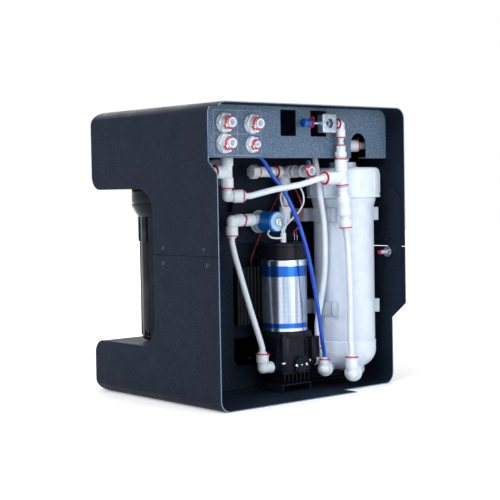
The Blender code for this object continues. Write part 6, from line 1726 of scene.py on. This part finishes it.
@dataclass
class Pump(Assembly):
    """Booster pump: silver motor sleeve, black end cap, black head with fins, and its two elbows."""

    x: float = -0.016
    y: float = 0.064
    can_radius: float = 0.037
    can_z: Pair = (0.0978, 0.211)
    cap_top: float = 0.238
    cap_radius: float = 0.035
    flange_radius: float = 0.0385
    half: float = 0.0335
    head_bottom: float = 0.0345
    column: Pair = (0.027, 0.0048)
    fins: tuple[int, float, float] = (7, 0.0084, 0.0022)
    switch: tuple[Point, Point] = ((-0.055, 0.093, 0.0535), (-0.039, 0.104, 0.088))
    cover: Pair = (-0.018, 0.0445)
    left: Triple = (0.04, 0.074, 0.0425)
    right: Triple = (-0.067, 0.0858, 0.048)
    port_x: Pair = (0.0218, -0.057)
    rises: Pair = (0.0225, 0.0185)
    cover_screws: tuple[Triple, ...] = (
        (-0.0108, 0.0038, 0.0025), (0.0108, 0.0038, 0.0025), (0.0, 0.0042, 0.0014)
    )

    def build_can(self) -> None:
        """Motor sleeve with rolled rims, and the printed foil round its middle."""
        low, high = self.can_z
        radius = self.can_radius
        profile = [
            (0.029, low), (radius - 0.0006, low), (radius, low + 0.0006), (radius, low + 0.005),
            (radius - 0.0006, low + 0.0054), (radius - 0.0006, high - 0.01), (radius, high - 0.0096),
            (radius, high - 0.001), (radius - 0.001, high), (0.029, high), (0.029, low),
        ]
        at = (self.x, self.y, 0.0)
        self.add(
            turned(profile, at, Z, 96), "motor_sleeve", self.looks.rolled, Slot.CAN, ["pump_motor_can"]
        )
        foil = hollow(radius - 0.0007, radius - 0.0001, low + 0.0057, high - 0.0102)
        self.add(turned(foil, at, Z, 96), "motor_foil", self.looks.foil, Slot.CAN)

    def build_cap(self) -> None:
        """End cap with a groove, and the two terminals."""
        bottom, top, radius = self.can_z[1] + GAP, self.cap_top, self.cap_radius
        profile = [
            (0.0, top - 0.0012), (0.013, top - 0.0012), (0.014, top), (radius - 0.003, top),
            *arc((radius - 0.003, top - 0.003), 0.003, QUARTER, 0.0, 5), (radius, 0.232),
            (radius - 0.0012, 0.2316), (radius - 0.0012, 0.2304), (radius, 0.23),
            (radius, bottom + 0.001), (radius - 0.0008, bottom), (0.0, bottom),
        ]
        cap = turned(profile, (self.x, self.y, 0.0), Z, 80)
        self.add(cap, "motor_cap", self.looks.black, Slot.BLACK, ["pump_end_cap"])
        blades = [
            box((x - 0.0004, 0.064, top - 0.001), (x + 0.0004, 0.068, 0.2482), 0.0002)
            for x in (-0.0375, -0.043)
        ]
        self.add(merged(*blades), "terminals", self.looks.bright, Slot.BLACK)

    def build_head(self) -> None:
        """Head with its flange, recessed faces, bolt columns, fins, port stubs and switch."""
        x, y, half = self.x, self.y, self.half
        top = self.can_z[0] - GAP
        low, high = (x - half, y - half, self.head_bottom), (x + half, y + half, 0.089)
        body = box(low, high, 0.0008, 0.017, Z)
        front, left = y + half, x + half
        cut(
            body,
            box((x - 0.015, front - 0.0022, 0.056), (x + 0.015, front + ROOM, 0.084), 0.0, 0.002, Y),
            box((left - 0.0022, y - 0.015, 0.056), (left + ROOM, y + 0.015, 0.084), 0.0, 0.002, X),
        )
        flange = rod((x, y, 0.088), (x, y, top), self.flange_radius, 0.001, 80)
        pieces = [body, flange]
        for spot in self.columns():
            pieces.append(rod((*spot, 0.05), (*spot, top - 0.001), self.column[1], 0.0006, 28))
            pieces.append(rod((*spot, 0.066), (*spot, 0.069), self.column[1] + 0.0004, 0.0004, 28))
        count, pitch, thick = self.fins
        for index in range(count):
            at = x + pitch * (index - (count - 1) / 2)
            fin = box((at - thick / 2, y - 0.028, 0.015), (at + thick / 2, y + 0.028, 0.037), 0.0005)
            pieces.append(fin)
        pieces.append(box((x - 0.029, y - 0.0285, 0.03), (x + 0.029, y + 0.0285, 0.0352), 0.0006))
        for end, (_, port_y, port_z) in zip(self.port_x, (self.left, self.right)):
            pieces.append(rod((x, port_y, port_z), (end, port_y, port_z), 0.0088, 0.0006, 36))
            ring = end - copysign(0.003, end - x)
            pieces.append(
                rod((ring, port_y, port_z), (ring - copysign(0.002, end - x), port_y, port_z), 0.0098)
            )
        low, high = self.switch
        pieces.append(box(low, high, 0.0008))
        near, far = (low[0] + 0.003, low[1] - 0.006, 0.06), (high[0] - 0.002, low[1] + 0.002, 0.08)
        pieces.append(box(near, far))
        body = merged(*pieces)
        self.add(body, "head_casting", self.looks.black, Slot.BLACK, ["pump_head"], sharp=34)

    def columns(self) -> list[Pair]:
        """Middles of the head's four bolt columns."""
        reach = self.column[0]
        return [(self.x + a * reach, self.y + b * reach) for a in (-1, 1) for b in (-1, 1)]

    def build_cover(self) -> None:
        """Lobed adjuster cover with a raised ring, and the silver screws of the head."""
        cx, cz = self.cover
        front = self.y + self.half
        lobes = [
            (0.013 + 0.0014 * cos(10 * tau * index / 120), tau * index / 120) for index in range(120)
        ]
        outline = [(radius * cos(angle), radius * sin(angle)) for radius, angle in lobes]
        star = slab(outline, 0.004, (cx, front + 0.0018, cz), X, Z, 0.0006)
        profile = stacked((0.0085, 0, 0.0052), (0.0068, 0.0052), (0.006, 0.0042))
        ring = turned(soften(profile, 0.0004), (cx, front, cz), Y, 48)
        self.add(merged(star, ring), "head_cover", self.looks.gloss, Slot.BLACK)
        heads = []
        for offset, rise, radius in self.cover_screws:
            heads.append(self.screw((cx + offset, front + rise, cz), Y, radius))
        for spot in self.columns():
            foot = Vector((*spot, 0.0472))
            heads.append(prism(foot, foot + Z * 0.003, 0.004, 6, 0.0004))
        self.add(merged(*heads), "head_screws", self.looks.bright, Slot.BLACK)

    def screw(self, at: Point, direction: Point, radius: float) -> Piece:
        """Plain domed screw head, which faces a direction from its foot."""
        dome = [(radius, radius * 0.25), (radius * 0.8, radius * 0.5), (0.0, radius * 0.62)]
        return turned([(0.0, 0.0), (radius, 0.0), *dome], at, direction, 24)

    def build_elbow(self, name: str, at: Point, rise: float, port: float, turn: float) -> None:
        """Elbow from a port up to its tube.

        Args:
            name: CAD node that it stands for.
            at: centre of the elbow.
            rise: reach of its upper arm.
            port: where the port ends.
            turn: where the clip's tabs point.
        """
        stub = rod(at, (port, *at[1:]), 0.0083, 0.0004, 36)
        root, lip = (port + copysign(part, at[0] - port) for part in (0.0006, 0.0035))
        ring = rod((root, *at[1:]), (lip, *at[1:]), 0.0093, 0.0005, 36)
        self.fitting(name, LARGE, at, [Arm(Z, rise, turn)], [stub, ring])

    def build(self) -> None:
        """Build the pump."""
        self.build_can()
        self.build_cap()
        self.build_head()
        self.build_cover()
        self.build_elbow("elbow_pump_left", self.left, self.rises[0], self.port_x[0], 100)
        self.build_elbow("elbow_pump_right", self.right, self.rises[1], self.port_x[1], 80)
        self.dress(self.looks.zinc, "pump_rotor")
        self.dress(self.looks.black, "power_adapter")


@dataclass
class MembraneHousing(Assembly):
    """White membrane housing with its ribbed cap, cradles, ports and feed tee."""

    x: float = -0.1295
    y: float = 0.086
    radius: float = 0.049
    base: float = 0.05
    seam: float = 0.075
    dome: Pair = (0.024, 0.059)
    neck: Triple = (0.291, 0.306, 0.0525)
    cap_z: Pair = (0.3067, 0.355)
    cap_radius: float = 0.0592
    crown_round: float = 0.007
    boss: Pair = (0.0225, 0.365)
    ribs: int = 12
    rib: Pair = (0.0017, 0.0009)
    cradles: tuple[Pair, ...] = ((0.118, 0.14), (0.269, 0.2905))
    opening: float = 57
    port_turn: float = 35
    spacing: float = 0.0221
    ports: tuple[tuple[int, float], ...] = ((-1, 0.0335), (1, 0.027))
    port_end: float = 0.048
    elbow_reach: float = 0.017
    rises: Pair = (0.016, 0.027)
    feed_z: float = 0.391
    feed_turn: float = -30
    feed_reach: float = 0.026

    def build_body(self) -> None:
        """Housing with its domed foot, weld seam, neck and two port bosses."""
        low, dome_top = self.dome
        foot = [
            (self.base * a, dome_top + (dome_top - low) * b)
            for a, b in arc((0, 0), 1.0, 0.0, -QUARTER, 20)
        ]
        neck_low, neck_high, neck_radius = self.neck
        profile = [
            (0.0, 0.338), (0.0515, 0.338), (0.0515, neck_high), (neck_radius, neck_high),
            (neck_radius, neck_high - 0.003), (self.radius, neck_low), (self.radius, self.seam + 0.003),
            (self.radius - 0.0007, self.seam + 0.0022), (self.radius - 0.0007, self.seam + 0.0008),
            (self.base, self.seam), *foot[:-1], (0.0, low),
        ]
        body = turned(soften(profile, 0.0008), (self.x, self.y, 0.0), Z, 96)
        bosses = []
        for side, height in self.ports:
            start, along = self.port(side, height)
            bosses.append(rod(start + along * 0.004, start + along * self.port_end, 0.01, 0.0007, 40))
        self.add(
            merged(body, *bosses), "housing_shell", self.looks.housing, Slot.WHITE, ["membrane_housing"]
        )
        self.dress(self.looks.film, "membrane_element")

    def port(self, side: int, height: float) -> tuple[Vector, Vector]:
        """Place and direction of a low port.

        Args:
            side: which side of the housing's middle it is on, one or minus one.
            height: height of its axis.

        Returns:
            Where it starts, and its direction.
        """
        along = polar(self.port_turn)
        across = Vector((-along.y, along.x, 0.0))
        return Vector((self.x, self.y, height)) + across * side * self.spacing, along

    def elbow_centre(self, side: int, height: float) -> Vector:
        """Centre of the elbow on a low port."""
        start, along = self.port(side, height)
        return start + along * (self.port_end + GAP + self.elbow_reach)

    def build_cap(self) -> None:
        """Cap with a rounded crown, upright grip ribs, a rim and a hexagonal boss."""
        low, crown = self.cap_z
        wide, bend = self.cap_radius, self.crown_round
        profile = [
            (0.0, crown), *arc((wide - bend, crown - bend), bend, QUARTER, 0.0, 10),
            (wide, low + 0.0046), (wide + 0.0008, low + 0.0036), (wide + 0.0008, low), (0.0, low),
        ]
        top = turned(soften(profile, 0.0006), (self.x, self.y, 0.0), Z, 96)
        thick, proud = self.rib
        reach = wide + proud - thick
        foot, head = Z * (low + 0.007), Z * (crown - bend - 0.002)
        bars = []
        for index in range(self.ribs):
            spot = Vector((self.x, self.y, 0.0)) + polar(360 * (index + 0.5) / self.ribs) * reach
            bars.append(rod(spot + foot, spot + head, thick, 0.0014, 16))
        radius, boss_top = self.boss
        axis = (self.x, self.y)
        boss = prism((*axis, crown - 0.002), (*axis, boss_top - 0.001), radius, 6, 0.001)
        washer = rod((*axis, crown), (*axis, crown + 0.0014), 0.025, 0.0005, 48)
        cap = merged(top, *bars, boss, washer)
        self.add(cap, "housing_cap", self.looks.housing, Slot.WHITE, ["membrane_cap"], sharp=32)

    def build_cradles(self) -> None:
        """Open C-shaped cradles with lips, each on a foot against the partition."""
        for name, (low, high) in zip(("housing_clip_lower", "housing_clip_upper"), self.cradles):
            start = QUARTER + radians(self.opening)
            end = QUARTER + tau - radians(self.opening)
            inner, outer = self.radius + 0.0006, self.radius + 0.005
            lip = 0.007 / outer
            ring = [
                *arc((0, 0), outer + 0.004, start, start + lip, 4),
                *arc((0, 0), outer, start + lip * 1.4, end - lip * 1.4, 56),
                *arc((0, 0), outer + 0.004, end - lip, end, 4), *arc((0, 0), inner, end, start, 60),
            ]
            middle = (low + high) / 2
            band = slab(ring, high - low, (self.x, self.y, middle), X, Y, 0.0008)
            foot = box((-0.183, 0.0171, low), (-0.076, self.y - inner * cos(QUARTER / 2), high), 0.001)
            axis = (self.x, self.y)
            cut(foot, rod((*axis, low - ROOM), (*axis, high + ROOM), inner + 0.002, 0.0, 96))
            self.add(merged(band, foot), f"{name}_moulding", self.looks.grey, Slot.GREY, [name])

    def build_port_elbow(self, name: str, index: int, size: Size, flange: float, seat: float) -> None:
        """Flanged elbow on a low port.

        Args:
            name: CAD node that it stands for.
            index: which of the two ports.
            size: radii of its upper arm.
            flange: radius of its ribbed flange.
            seat: how far the flange is from the port's end.
        """
        start, along = self.port(*self.ports[index])
        across = Vector((-along.y, along.x, 0.0))
        face = start + along * (self.port_end + GAP)
        centre = face + along * self.elbow_reach
        ribs = toothed(flange - 0.0009, flange, 22, 0.5, 2)
        shells = [
            slab(ribs, 0.005, face + along * seat, across, Z, 0.0003),
            rod(face + along * 0.002, centre, 0.0083, 0.0, 36), self.knuckle(0.0092, centre),
        ]
        self.fitting(name, size, centre, [Arm(Z, self.rises[index], 90)], shells)

    def build_feed_tee(self) -> None:
        """Tee over the cap, with a grey plug in its far branch."""
        at = Vector((self.x, self.y, self.feed_z))
        along = polar(self.feed_turn)
        profile = stacked((0.0083, 0, 0.018), (0.0098, 0.019, 0.0257))
        stem = turned(soften(profile, 0.0006), at, -Z)
        arms = [Arm(way, self.feed_reach, 100) for way in (along, -along)]
        self.fitting("feed_tee", LARGE, at, arms, [stem])
        start = mouth(at, -along, self.feed_reach)
        pin, wide, end = 0.0046, 0.0062, 0.0097
        profile = stacked((pin, -GRIP, 0), (wide, 0.0003, end))
        plug = turned(soften(profile, 0.0007), start, -along)
        self.add(plug, "feed_plug_moulding", self.looks.grey, Slot.GREY, ["feed_plug"])

    def build(self) -> None:
        """Build the housing group."""
        self.build_body()
        self.build_cap()
        self.build_cradles()
        self.build_port_elbow("elbow_permeate", 0, SMALL, 0.0125, 0.0085)
        self.build_port_elbow("elbow_brine", 1, LARGE, 0.0143, 0.0025)
        self.build_feed_tee()


@dataclass
class Cartridges(Assembly):
    """Three glossy cartridges in the recess, and the manifold above it."""

    ceiling: float = 0.3275
    collar: Pair = (0.0564, 0.299)
    shoulder: Pair = (0.0467, 0.282)
    wall: float = 0.0446
    foot: Triple = (0.044, 0.006, 0.0865)
    grip: Triple = (0.2435, 0.285, 0.047)
    flute: Triple = (0.095, 0.243, 0.0454)
    grips: int = 10

    def build_one(self, index: int, x: float) -> None:
        """One cartridge with its collar, shoulder, grip ribs and rounded foot.

        Args:
            index: its number.
            x: where its axis is.
        """
        collar, collar_z = self.collar
        shoulder, shoulder_z = self.shoulder
        low, high, tip = self.grip
        foot, fillet, bottom = self.foot
        top = self.ceiling
        profile = [
            (0.0, 0.352), (0.02, 0.352), (0.02, top), (collar, top), (collar, collar_z + 0.006),
            (collar - 0.0008, collar_z + 0.0052), (collar - 0.0008, collar_z + 0.0044),
            (collar, collar_z + 0.0036), (collar, collar_z), (shoulder + 0.0045, shoulder_z + 0.007),
            (shoulder, shoulder_z), (self.wall, high + 0.001), (self.wall, low - 0.001),
            (self.wall - 0.0001, low - 0.004),
            *arc((foot - fillet, bottom + fillet), fillet, 0.0, -QUARTER, 8), (0.03, bottom),
            (0.028, bottom + 0.0015), (0.0, bottom + 0.0015),
        ]
        body = turned(soften(profile, 0.001), (x, CARTRIDGE_Y, 0.0), Z, 96)
        ribs = toothed(self.wall - 0.001, tip, self.grips, 0.5, 4)
        belt = slab(ribs, high - low, (x, CARTRIDGE_Y, (low + high) / 2), X, Y, 0.0004)
        flute_low, flute_high, proud = self.flute
        bars = toothed(self.wall - 0.001, proud, self.grips, 0.62, 4)
        middle = (x, CARTRIDGE_Y, (flute_low + flute_high) / 2)
        lower = slab(bars, flute_high - flute_low, middle, X, Y, 0.0004)
        name = f"cartridge_{index}"
        shell = merged(body, belt, lower)
        self.add(shell, f"{name}_shell", self.looks.gloss, Slot.GLOSS, [name], Body(name), 32)

    def build(self) -> None:
        """Build the cartridges and dress the manifold."""
        for index, x in enumerate(CARTRIDGE_X, 1):
            self.build_one(index, x)
        self.dress(self.looks.acetal, "filter_manifold")


@dataclass
class Tubing(Assembly):
    """Tubes between the fittings."""

    straight: float = 0.006
    brine: tuple[Point, ...] = ((-0.0885, 0.137, 0.225), (-0.0916, 0.137, 0.144), (-0.09, 0.138, 0.085))
    permeate: tuple[Point, ...] = (
        (0.093, 0.083, 0.388), (0.08, 0.082, 0.383), (0.054, 0.095, 0.37), (0.0348, 0.098, 0.344),
        (0.0179, 0.104, 0.321), (0.0051, 0.11, 0.294), (-0.0094, 0.114, 0.258), (-0.0207, 0.117, 0.218),
        (-0.0325, 0.117, 0.171), (-0.044, 0.115, 0.122), (-0.053, 0.112, 0.082),
    )
    across: tuple[Point, ...] = ((0.04, 0.1085, 0.3215), (0.0, 0.1235, 0.3285))
    inlet: tuple[Point, ...] = ((0.07, 0.047, 0.22), (0.0646, 0.05, 0.197), (0.0538, 0.06, 0.142))
    outlet: tuple[Point, ...] = (
        (-0.0678, 0.086, 0.106), (-0.0683, 0.094, 0.143), (-0.07, 0.101, 0.185),
        (-0.0703, 0.1032, 0.228), (-0.068, 0.1038, 0.27), (-0.065, 0.1, 0.308),
        (-0.0648, 0.0945, 0.342), (-0.0648, 0.0895, 0.366), (-0.072, 0.0745, 0.386),
        (-0.085, 0.0625, 0.3915),
    )
    link_up: tuple[Point, ...] = ((0.1095, 0.08, 0.395), (0.105, 0.082, 0.41))
    link_side: tuple[Point, ...] = ((0.156, 0.08, 0.352), (0.164, 0.081, 0.364), (0.158, 0.083, 0.382))

    def run(
        self, name: str, start: tuple[Point, Point], knots: Sequence[Point], end: tuple[Point, Point],
        size: Size = LARGE,
    ) -> None:
        """One tube, pushed a little way into the fitting at each end.

        Args:
            name: CAD node that it stands for.
            start: where it leaves its first fitting, and the direction.
            knots: points of its route.
            end: where it leaves its other fitting, and the direction.
            size: size of its fittings.
        """
        first, last = Vector(start[0]), Vector(end[0])
        out, back = Vector(start[1]).normalized(), Vector(end[1]).normalized()
        grip = GRIP * 0.7
        route = [first - out * grip, first + out * self.straight, *knots, last + back * self.straight]
        route.append(last - back * grip)
        finish, slot = self.looks.tube, Slot.TUBE
        if size is SMALL:
            finish, slot = self.looks.blue_tube, Slot.BLUE_TUBE
        self.add(tube(route, size.tube, 0.003, 24), f"{name}_wall", finish, slot, [name])

    def build(
        self, stack: Stack, housing: MembraneHousing, valve: BallValve, pump: Pump, feed: FeedFittings,
        solenoid: Solenoid, ports: Bulkheads,
    ) -> None:
        """Run every tube between its two fittings.

        Args:
            stack: stack of fittings.
            housing: membrane housing.
            valve: ball valve group.
            pump: pump.
            feed: left tee and elbow.
            solenoid: solenoid group.
            ports: bulkheads.
        """
        tee = Vector((stack.x, stack.y, stack.tee_z))
        drop = stack.levels[-1] - stack.tee_z - CLIP_THICKNESS - COLLET_THICKNESS - GAP
        permeate, brine = (
            (mouth(housing.elbow_centre(*port), Z, rise), Z)
            for port, rise in zip(housing.ports, housing.rises)
        )
        self.run("tube_brine", (tee + stack.up * drop, -stack.up), self.brine, brine)
        small = (SMALL_PORT[0], ports.inner - GAP, SMALL_PORT[1])
        self.run("tube_permeate", (small, -Y), self.permeate, permeate, SMALL)
        turn = polar(feed.turn)
        start = (mouth(feed.elbow, turn, feed.elbow_reach), turn)
        branch = mouth(tee - Z * stack.branch_drop, X, stack.tee_reaches[1])
        self.run("tube_a", start, self.across, (branch, X))
        left, right = ((mouth(at, Z, rise), Z) for at, rise in zip((pump.left, pump.right), pump.rises))
        outflow = mouth(solenoid.elbow_out, -Z, solenoid.out_reaches[0])
        self.run("tube_c", (outflow, -Z), self.inlet, left)
        along = polar(housing.feed_turn)
        feed_at = (housing.x, housing.y, housing.feed_z)
        self.run("tube_d", right, self.outlet, (mouth(feed_at, along, housing.feed_reach), along))
        entry = (mouth(solenoid.elbow_in, Z, solenoid.in_reaches[0]), Z)
        self.run("tube_e", (mouth(valve.tee, -Z, valve.tee_reaches[1]), -Z), (), entry)
        ends = [(x, ports.inner - GAP, z) for x, z in LARGE_PORTS]
        up, _, side = feed.tee_reaches
        self.run("tube_link_up", (mouth(feed.tee, Z, up), Z), self.link_up, (ends[1], -Y))
        self.run("tube_link_side", (mouth(feed.tee, X, side), X), self.link_side, (ends[2], -Y))


@dataclass
class Leads(Assembly):
    """Wires: the white slack loop and coil lead, and the pump's red and black pair."""

    plug: Pair = (0.0015, 0.0845)
    plug_top: float = 0.253
    base: float = 0.2383
    radius: float = 0.0014
    loop: tuple[Point, ...] = (
        (-0.0012, 0.088, 0.265), (0.0003, 0.0885, 0.2837), (0.0066, 0.0885, 0.298),
        (0.0092, 0.088, 0.3095), (0.0052, 0.088, 0.318), (-0.006, 0.088, 0.325),
        (-0.019, 0.088, 0.3285), (-0.031, 0.088, 0.3255), (-0.0375, 0.088, 0.317),
        (-0.0399, 0.088, 0.3087), (-0.0387, 0.088, 0.2986), (-0.0287, 0.088, 0.2858),
        (-0.014, 0.0875, 0.2745),
    )
    coil: tuple[Point, ...] = (
        (0.0197, 0.072, 0.2575), (0.027, 0.0765, 0.253), (0.0255, 0.082, 0.2475),
        (0.016, 0.0845, 0.2455),
    )
    pair: tuple[Point, ...] = (
        (-0.0435, 0.069, 0.2592), (-0.0488, 0.07, 0.2737), (-0.0527, 0.07, 0.2911),
        (-0.0504, 0.069, 0.3028), (-0.047, 0.065, 0.316), (-0.049, 0.052, 0.329),
        (-0.053, 0.037, 0.332), (-0.048, 0.024, 0.318), (-0.03, 0.0205, 0.288), (-0.006, 0.0205, 0.25),
        (0.006, 0.019, 0.225),
    )
    pair_end: Triple = (0.01, 0.0145, 0.1993)
    terminals: Triple = (-0.0375, -0.043, 0.066)

    def build_white(self) -> None:
        """Push connector with ribs, the slack loop and the coil's lead."""
        x, y = self.plug
        profile = [(0.0, self.base), (0.0045, self.base)]
        for level in (0.2425, 0.245, 0.2475):
            profile += [(0.0045, level), (0.0038, level + 0.0006), (0.0045, level + 0.0012)]
        profile += [(0.0045, self.plug_top), (0.0, self.plug_top)]
        plug = turned(soften(profile, 0.0004), (x, y, 0.0), Z, 32)
        spread = 0.00225
        first, last = (Vector((x + side * spread, y, self.plug_top - 0.001)) for side in (-1, 1))
        rise = Z * 0.006
        loop = tube([first, first + rise, *self.loop, last + rise, last], self.radius, 0.003, 14)
        end = Vector((x + spread, y, (self.base + self.plug_top) / 2))
        coil = tube([*self.coil, end], self.radius, 0.003, 14)
        leads = merged(plug, loop, coil)
        self.add(leads, "white_leads", self.looks.wire_white, Slot.WIRE, ["lead_loom"])

    def build_pair(self) -> None:
        """Red wire and black wire from the pump's terminals to the adapter."""
        red_x, black_x, y = self.terminals
        end_x, end_y, end_z = self.pair_end
        wires = {}
        for colour, x, side in (("red", red_x, 1), ("black", black_x, -1)):
            shift = X * side * 0.0008 + Z * side * 0.0003
            start = Vector((x, y, 0.2492))
            goal = Vector((end_x + side * 0.0009, end_y, end_z + 0.002))
            knots = [Vector(spot) + shift for spot in self.pair]
            wire = tube([start, start + Z * 0.005, *knots, goal + Z * 0.006, goal], 0.00085, 0.003, 12)
            boot = stacked((0.0019, 0.0, 0.0045), (0.0012, 0.006))
            wires[colour] = merged(wire, turned(soften(boot, 0.0003), (x, y, 0.247), Z, 20))
        self.add(wires["red"], "red_lead", self.looks.wire_red, Slot.WIRE, ["lead_pump"])
        self.add(wires["black"], "black_lead", self.looks.wire_black, Slot.WIRE)
        sleeve = rod((end_x, end_y, end_z), (end_x, end_y, end_z + 0.006), 0.0032, 0.0005, 24)
        self.add(sleeve, "adapter_sleeve", self.looks.black, Slot.WIRE)

    def build(self) -> None:
        """Build the wires."""
        self.build_white()
        self.build_pair()


@dataclass
class Studio:
    """Camera at the photograph's angle, pale floor, white surroundings and soft lamps."""

    place: Triple = (1.34837, 1.60147, 0.32019)
    right: Triple = (-0.7642, 0.6448, -0.0174)
    up: Triple = (-0.0428, -0.0237, 0.9988)
    lens: float = 92.92
    sensor: float = 36.0
    floor_size: float = 12.0
    world_light: float = 0.42
    haze: Pair = (0.45, 2.0)
    lamps: tuple[tuple[str, Point, float, float], ...] = (
        ("key", (2.2, 0.9, 2.1), 1.6, 40.0), ("fill", (0.1, 2.7, 0.6), 1.8, 28.0),
        ("top", (0.1, 0.3, 2.6), 1.8, 24.0), ("back", (-0.8, -2.2, 1.8), 1.6, 22.0),
    )

    def build_camera(self) -> None:
        """Set the camera from its axes."""
        data = bpy.data.cameras.new("camera")
        data.lens = self.lens
        data.sensor_width = self.sensor
        data.clip_end = 100.0
        camera = bpy.data.objects.new("camera", data)
        right, up = Vector(self.right).normalized(), Vector(self.up)
        up = (up - right * up.dot(right)).normalized()
        turn = Matrix((right, up, right.cross(up))).transposed().to_4x4()
        camera.matrix_world = Matrix.Translation(Vector(self.place)) @ turn
        bpy.context.scene.collection.objects.link(camera)
        bpy.context.scene.camera = camera

    def seen(self, tree: bpy.types.NodeTree) -> Socket:
        """One for rays from the camera, from gloss and through clear pieces, and zero for the rest.

        Args:
            tree: node tree to add to.

        Returns:
            The socket.
        """
        path = add_node(tree, "LightPath")
        share = path.outputs["Is Camera Ray"]
        for name in ("Is Glossy Ray", "Is Transmission Ray"):
            links = {0: share, 1: path.outputs[name]}
            share = add_node(tree, "Math", {"operation": "MAXIMUM"}, links).outputs["Value"]
        return share

    def build_floor(self) -> None:
        """Wide pale floor that keeps the shadow near the unit and turns white farther off."""
        form = bmesh.new()
        half = self.floor_size / 2
        corners = ((-1, -1), (1, -1), (1, 1), (-1, 1))
        form.faces.new([form.verts.new((x * half, y * half, 0.0)) for x, y in corners])
        floor = scene_object(form, "floor")
        # Matt white paper has no glint, so all that shows on it is the unit's soft shadow.
        surface = Surface("matt_white_paper")
        grain = surface.pattern(8.0)
        surface.tint(grain, (0.0, 1.0), "F2F4F6", "EEF0F3")
        surface.fix(Roughness=0.9)
        away = add_node(
            surface.tree, "VectorMath", {"operation": "LENGTH"}, {0: surface.where}
        ).outputs["Value"]
        near, far = self.haze
        scale = {"From Min": near, "From Max": far, "To Min": 0.22}
        lift = add_node(surface.tree, "MapRange", scale, {"Value": away}).outputs["Result"]
        seen = self.seen(surface.tree)
        glow = add_node(surface.tree, "Math", {"operation": "MULTIPLY"}, {0: seen, 1: lift})
        surface.fix(Emission_Color=linear("FFFFFF"))
        surface.feed("Emission Strength", glow.outputs["Value"])
        floor.data.materials.append(surface.material)

    def build_world(self) -> None:
        """White surroundings for the camera and reflections, and a plainer light on matt surfaces."""
        world = bpy.data.worlds.new("studio")
        bpy.context.scene.world = world
        world.use_nodes = True
        tree = world.node_tree
        tree.nodes.clear()
        seen = self.seen(tree)
        shades = [
            add_node(tree, "Background", {"Color": linear("FFFFFF"), "Strength": strength})
            for strength in (self.world_light, 1.0)
        ]
        mixed = add_node(
            tree, "MixShader", {},
            {0: seen, 1: shades[0].outputs["Background"], 2: shades[1].outputs["Background"]},
        )
        add_node(tree, "OutputWorld", {}, {"Surface": mixed.outputs["Shader"]})

    def build_lamps(self) -> None:
        """Large soft lamps that look at the unit."""
        for name, place, size, power in self.lamps:
            data = bpy.data.lights.new(name, "AREA")
            data.shape = "DISK"
            data.size = size
            data.energy = power
            lamp = bpy.data.objects.new(name, data)
            lamp.location = place
            aimed = Vector((0.0, 0.0, 0.22)) - Vector(place)
            lamp.rotation_euler = aimed.to_track_quat("-Z", "Y").to_euler()
            bpy.context.scene.collection.objects.link(lamp)

    def build(self) -> None:
        """Set up the studio."""
        self.build_camera()
        self.build_floor()
        self.build_world()
        self.build_lamps()
        bpy.context.scene.view_settings.view_transform = "Standard"


def main() -> None:
    """Build the studio and every sub-assembly in order."""
    logging.basicConfig(level=logging.INFO, format="%(message)s")
    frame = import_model()
    Studio().build()
    shared = (Finishes(), frame["nodes"])
    Case(*shared).build()
    ports, valve_block, stack = Bulkheads(*shared), NeedleValve(*shared), Stack(*shared)
    valve, feed, solenoid = BallValve(*shared), FeedFittings(*shared), Solenoid(*shared)
    pump, housing = Pump(*shared), MembraneHousing(*shared)
    groups = (ports, valve_block, stack, valve, feed, solenoid, pump, housing)
    for group in (*groups, Cartridges(*shared), Leads(*shared)):
        group.build()
    Tubing(*shared).build(stack, housing, valve, pump, feed, solenoid, ports)


if __name__ == "__main__":
    main()
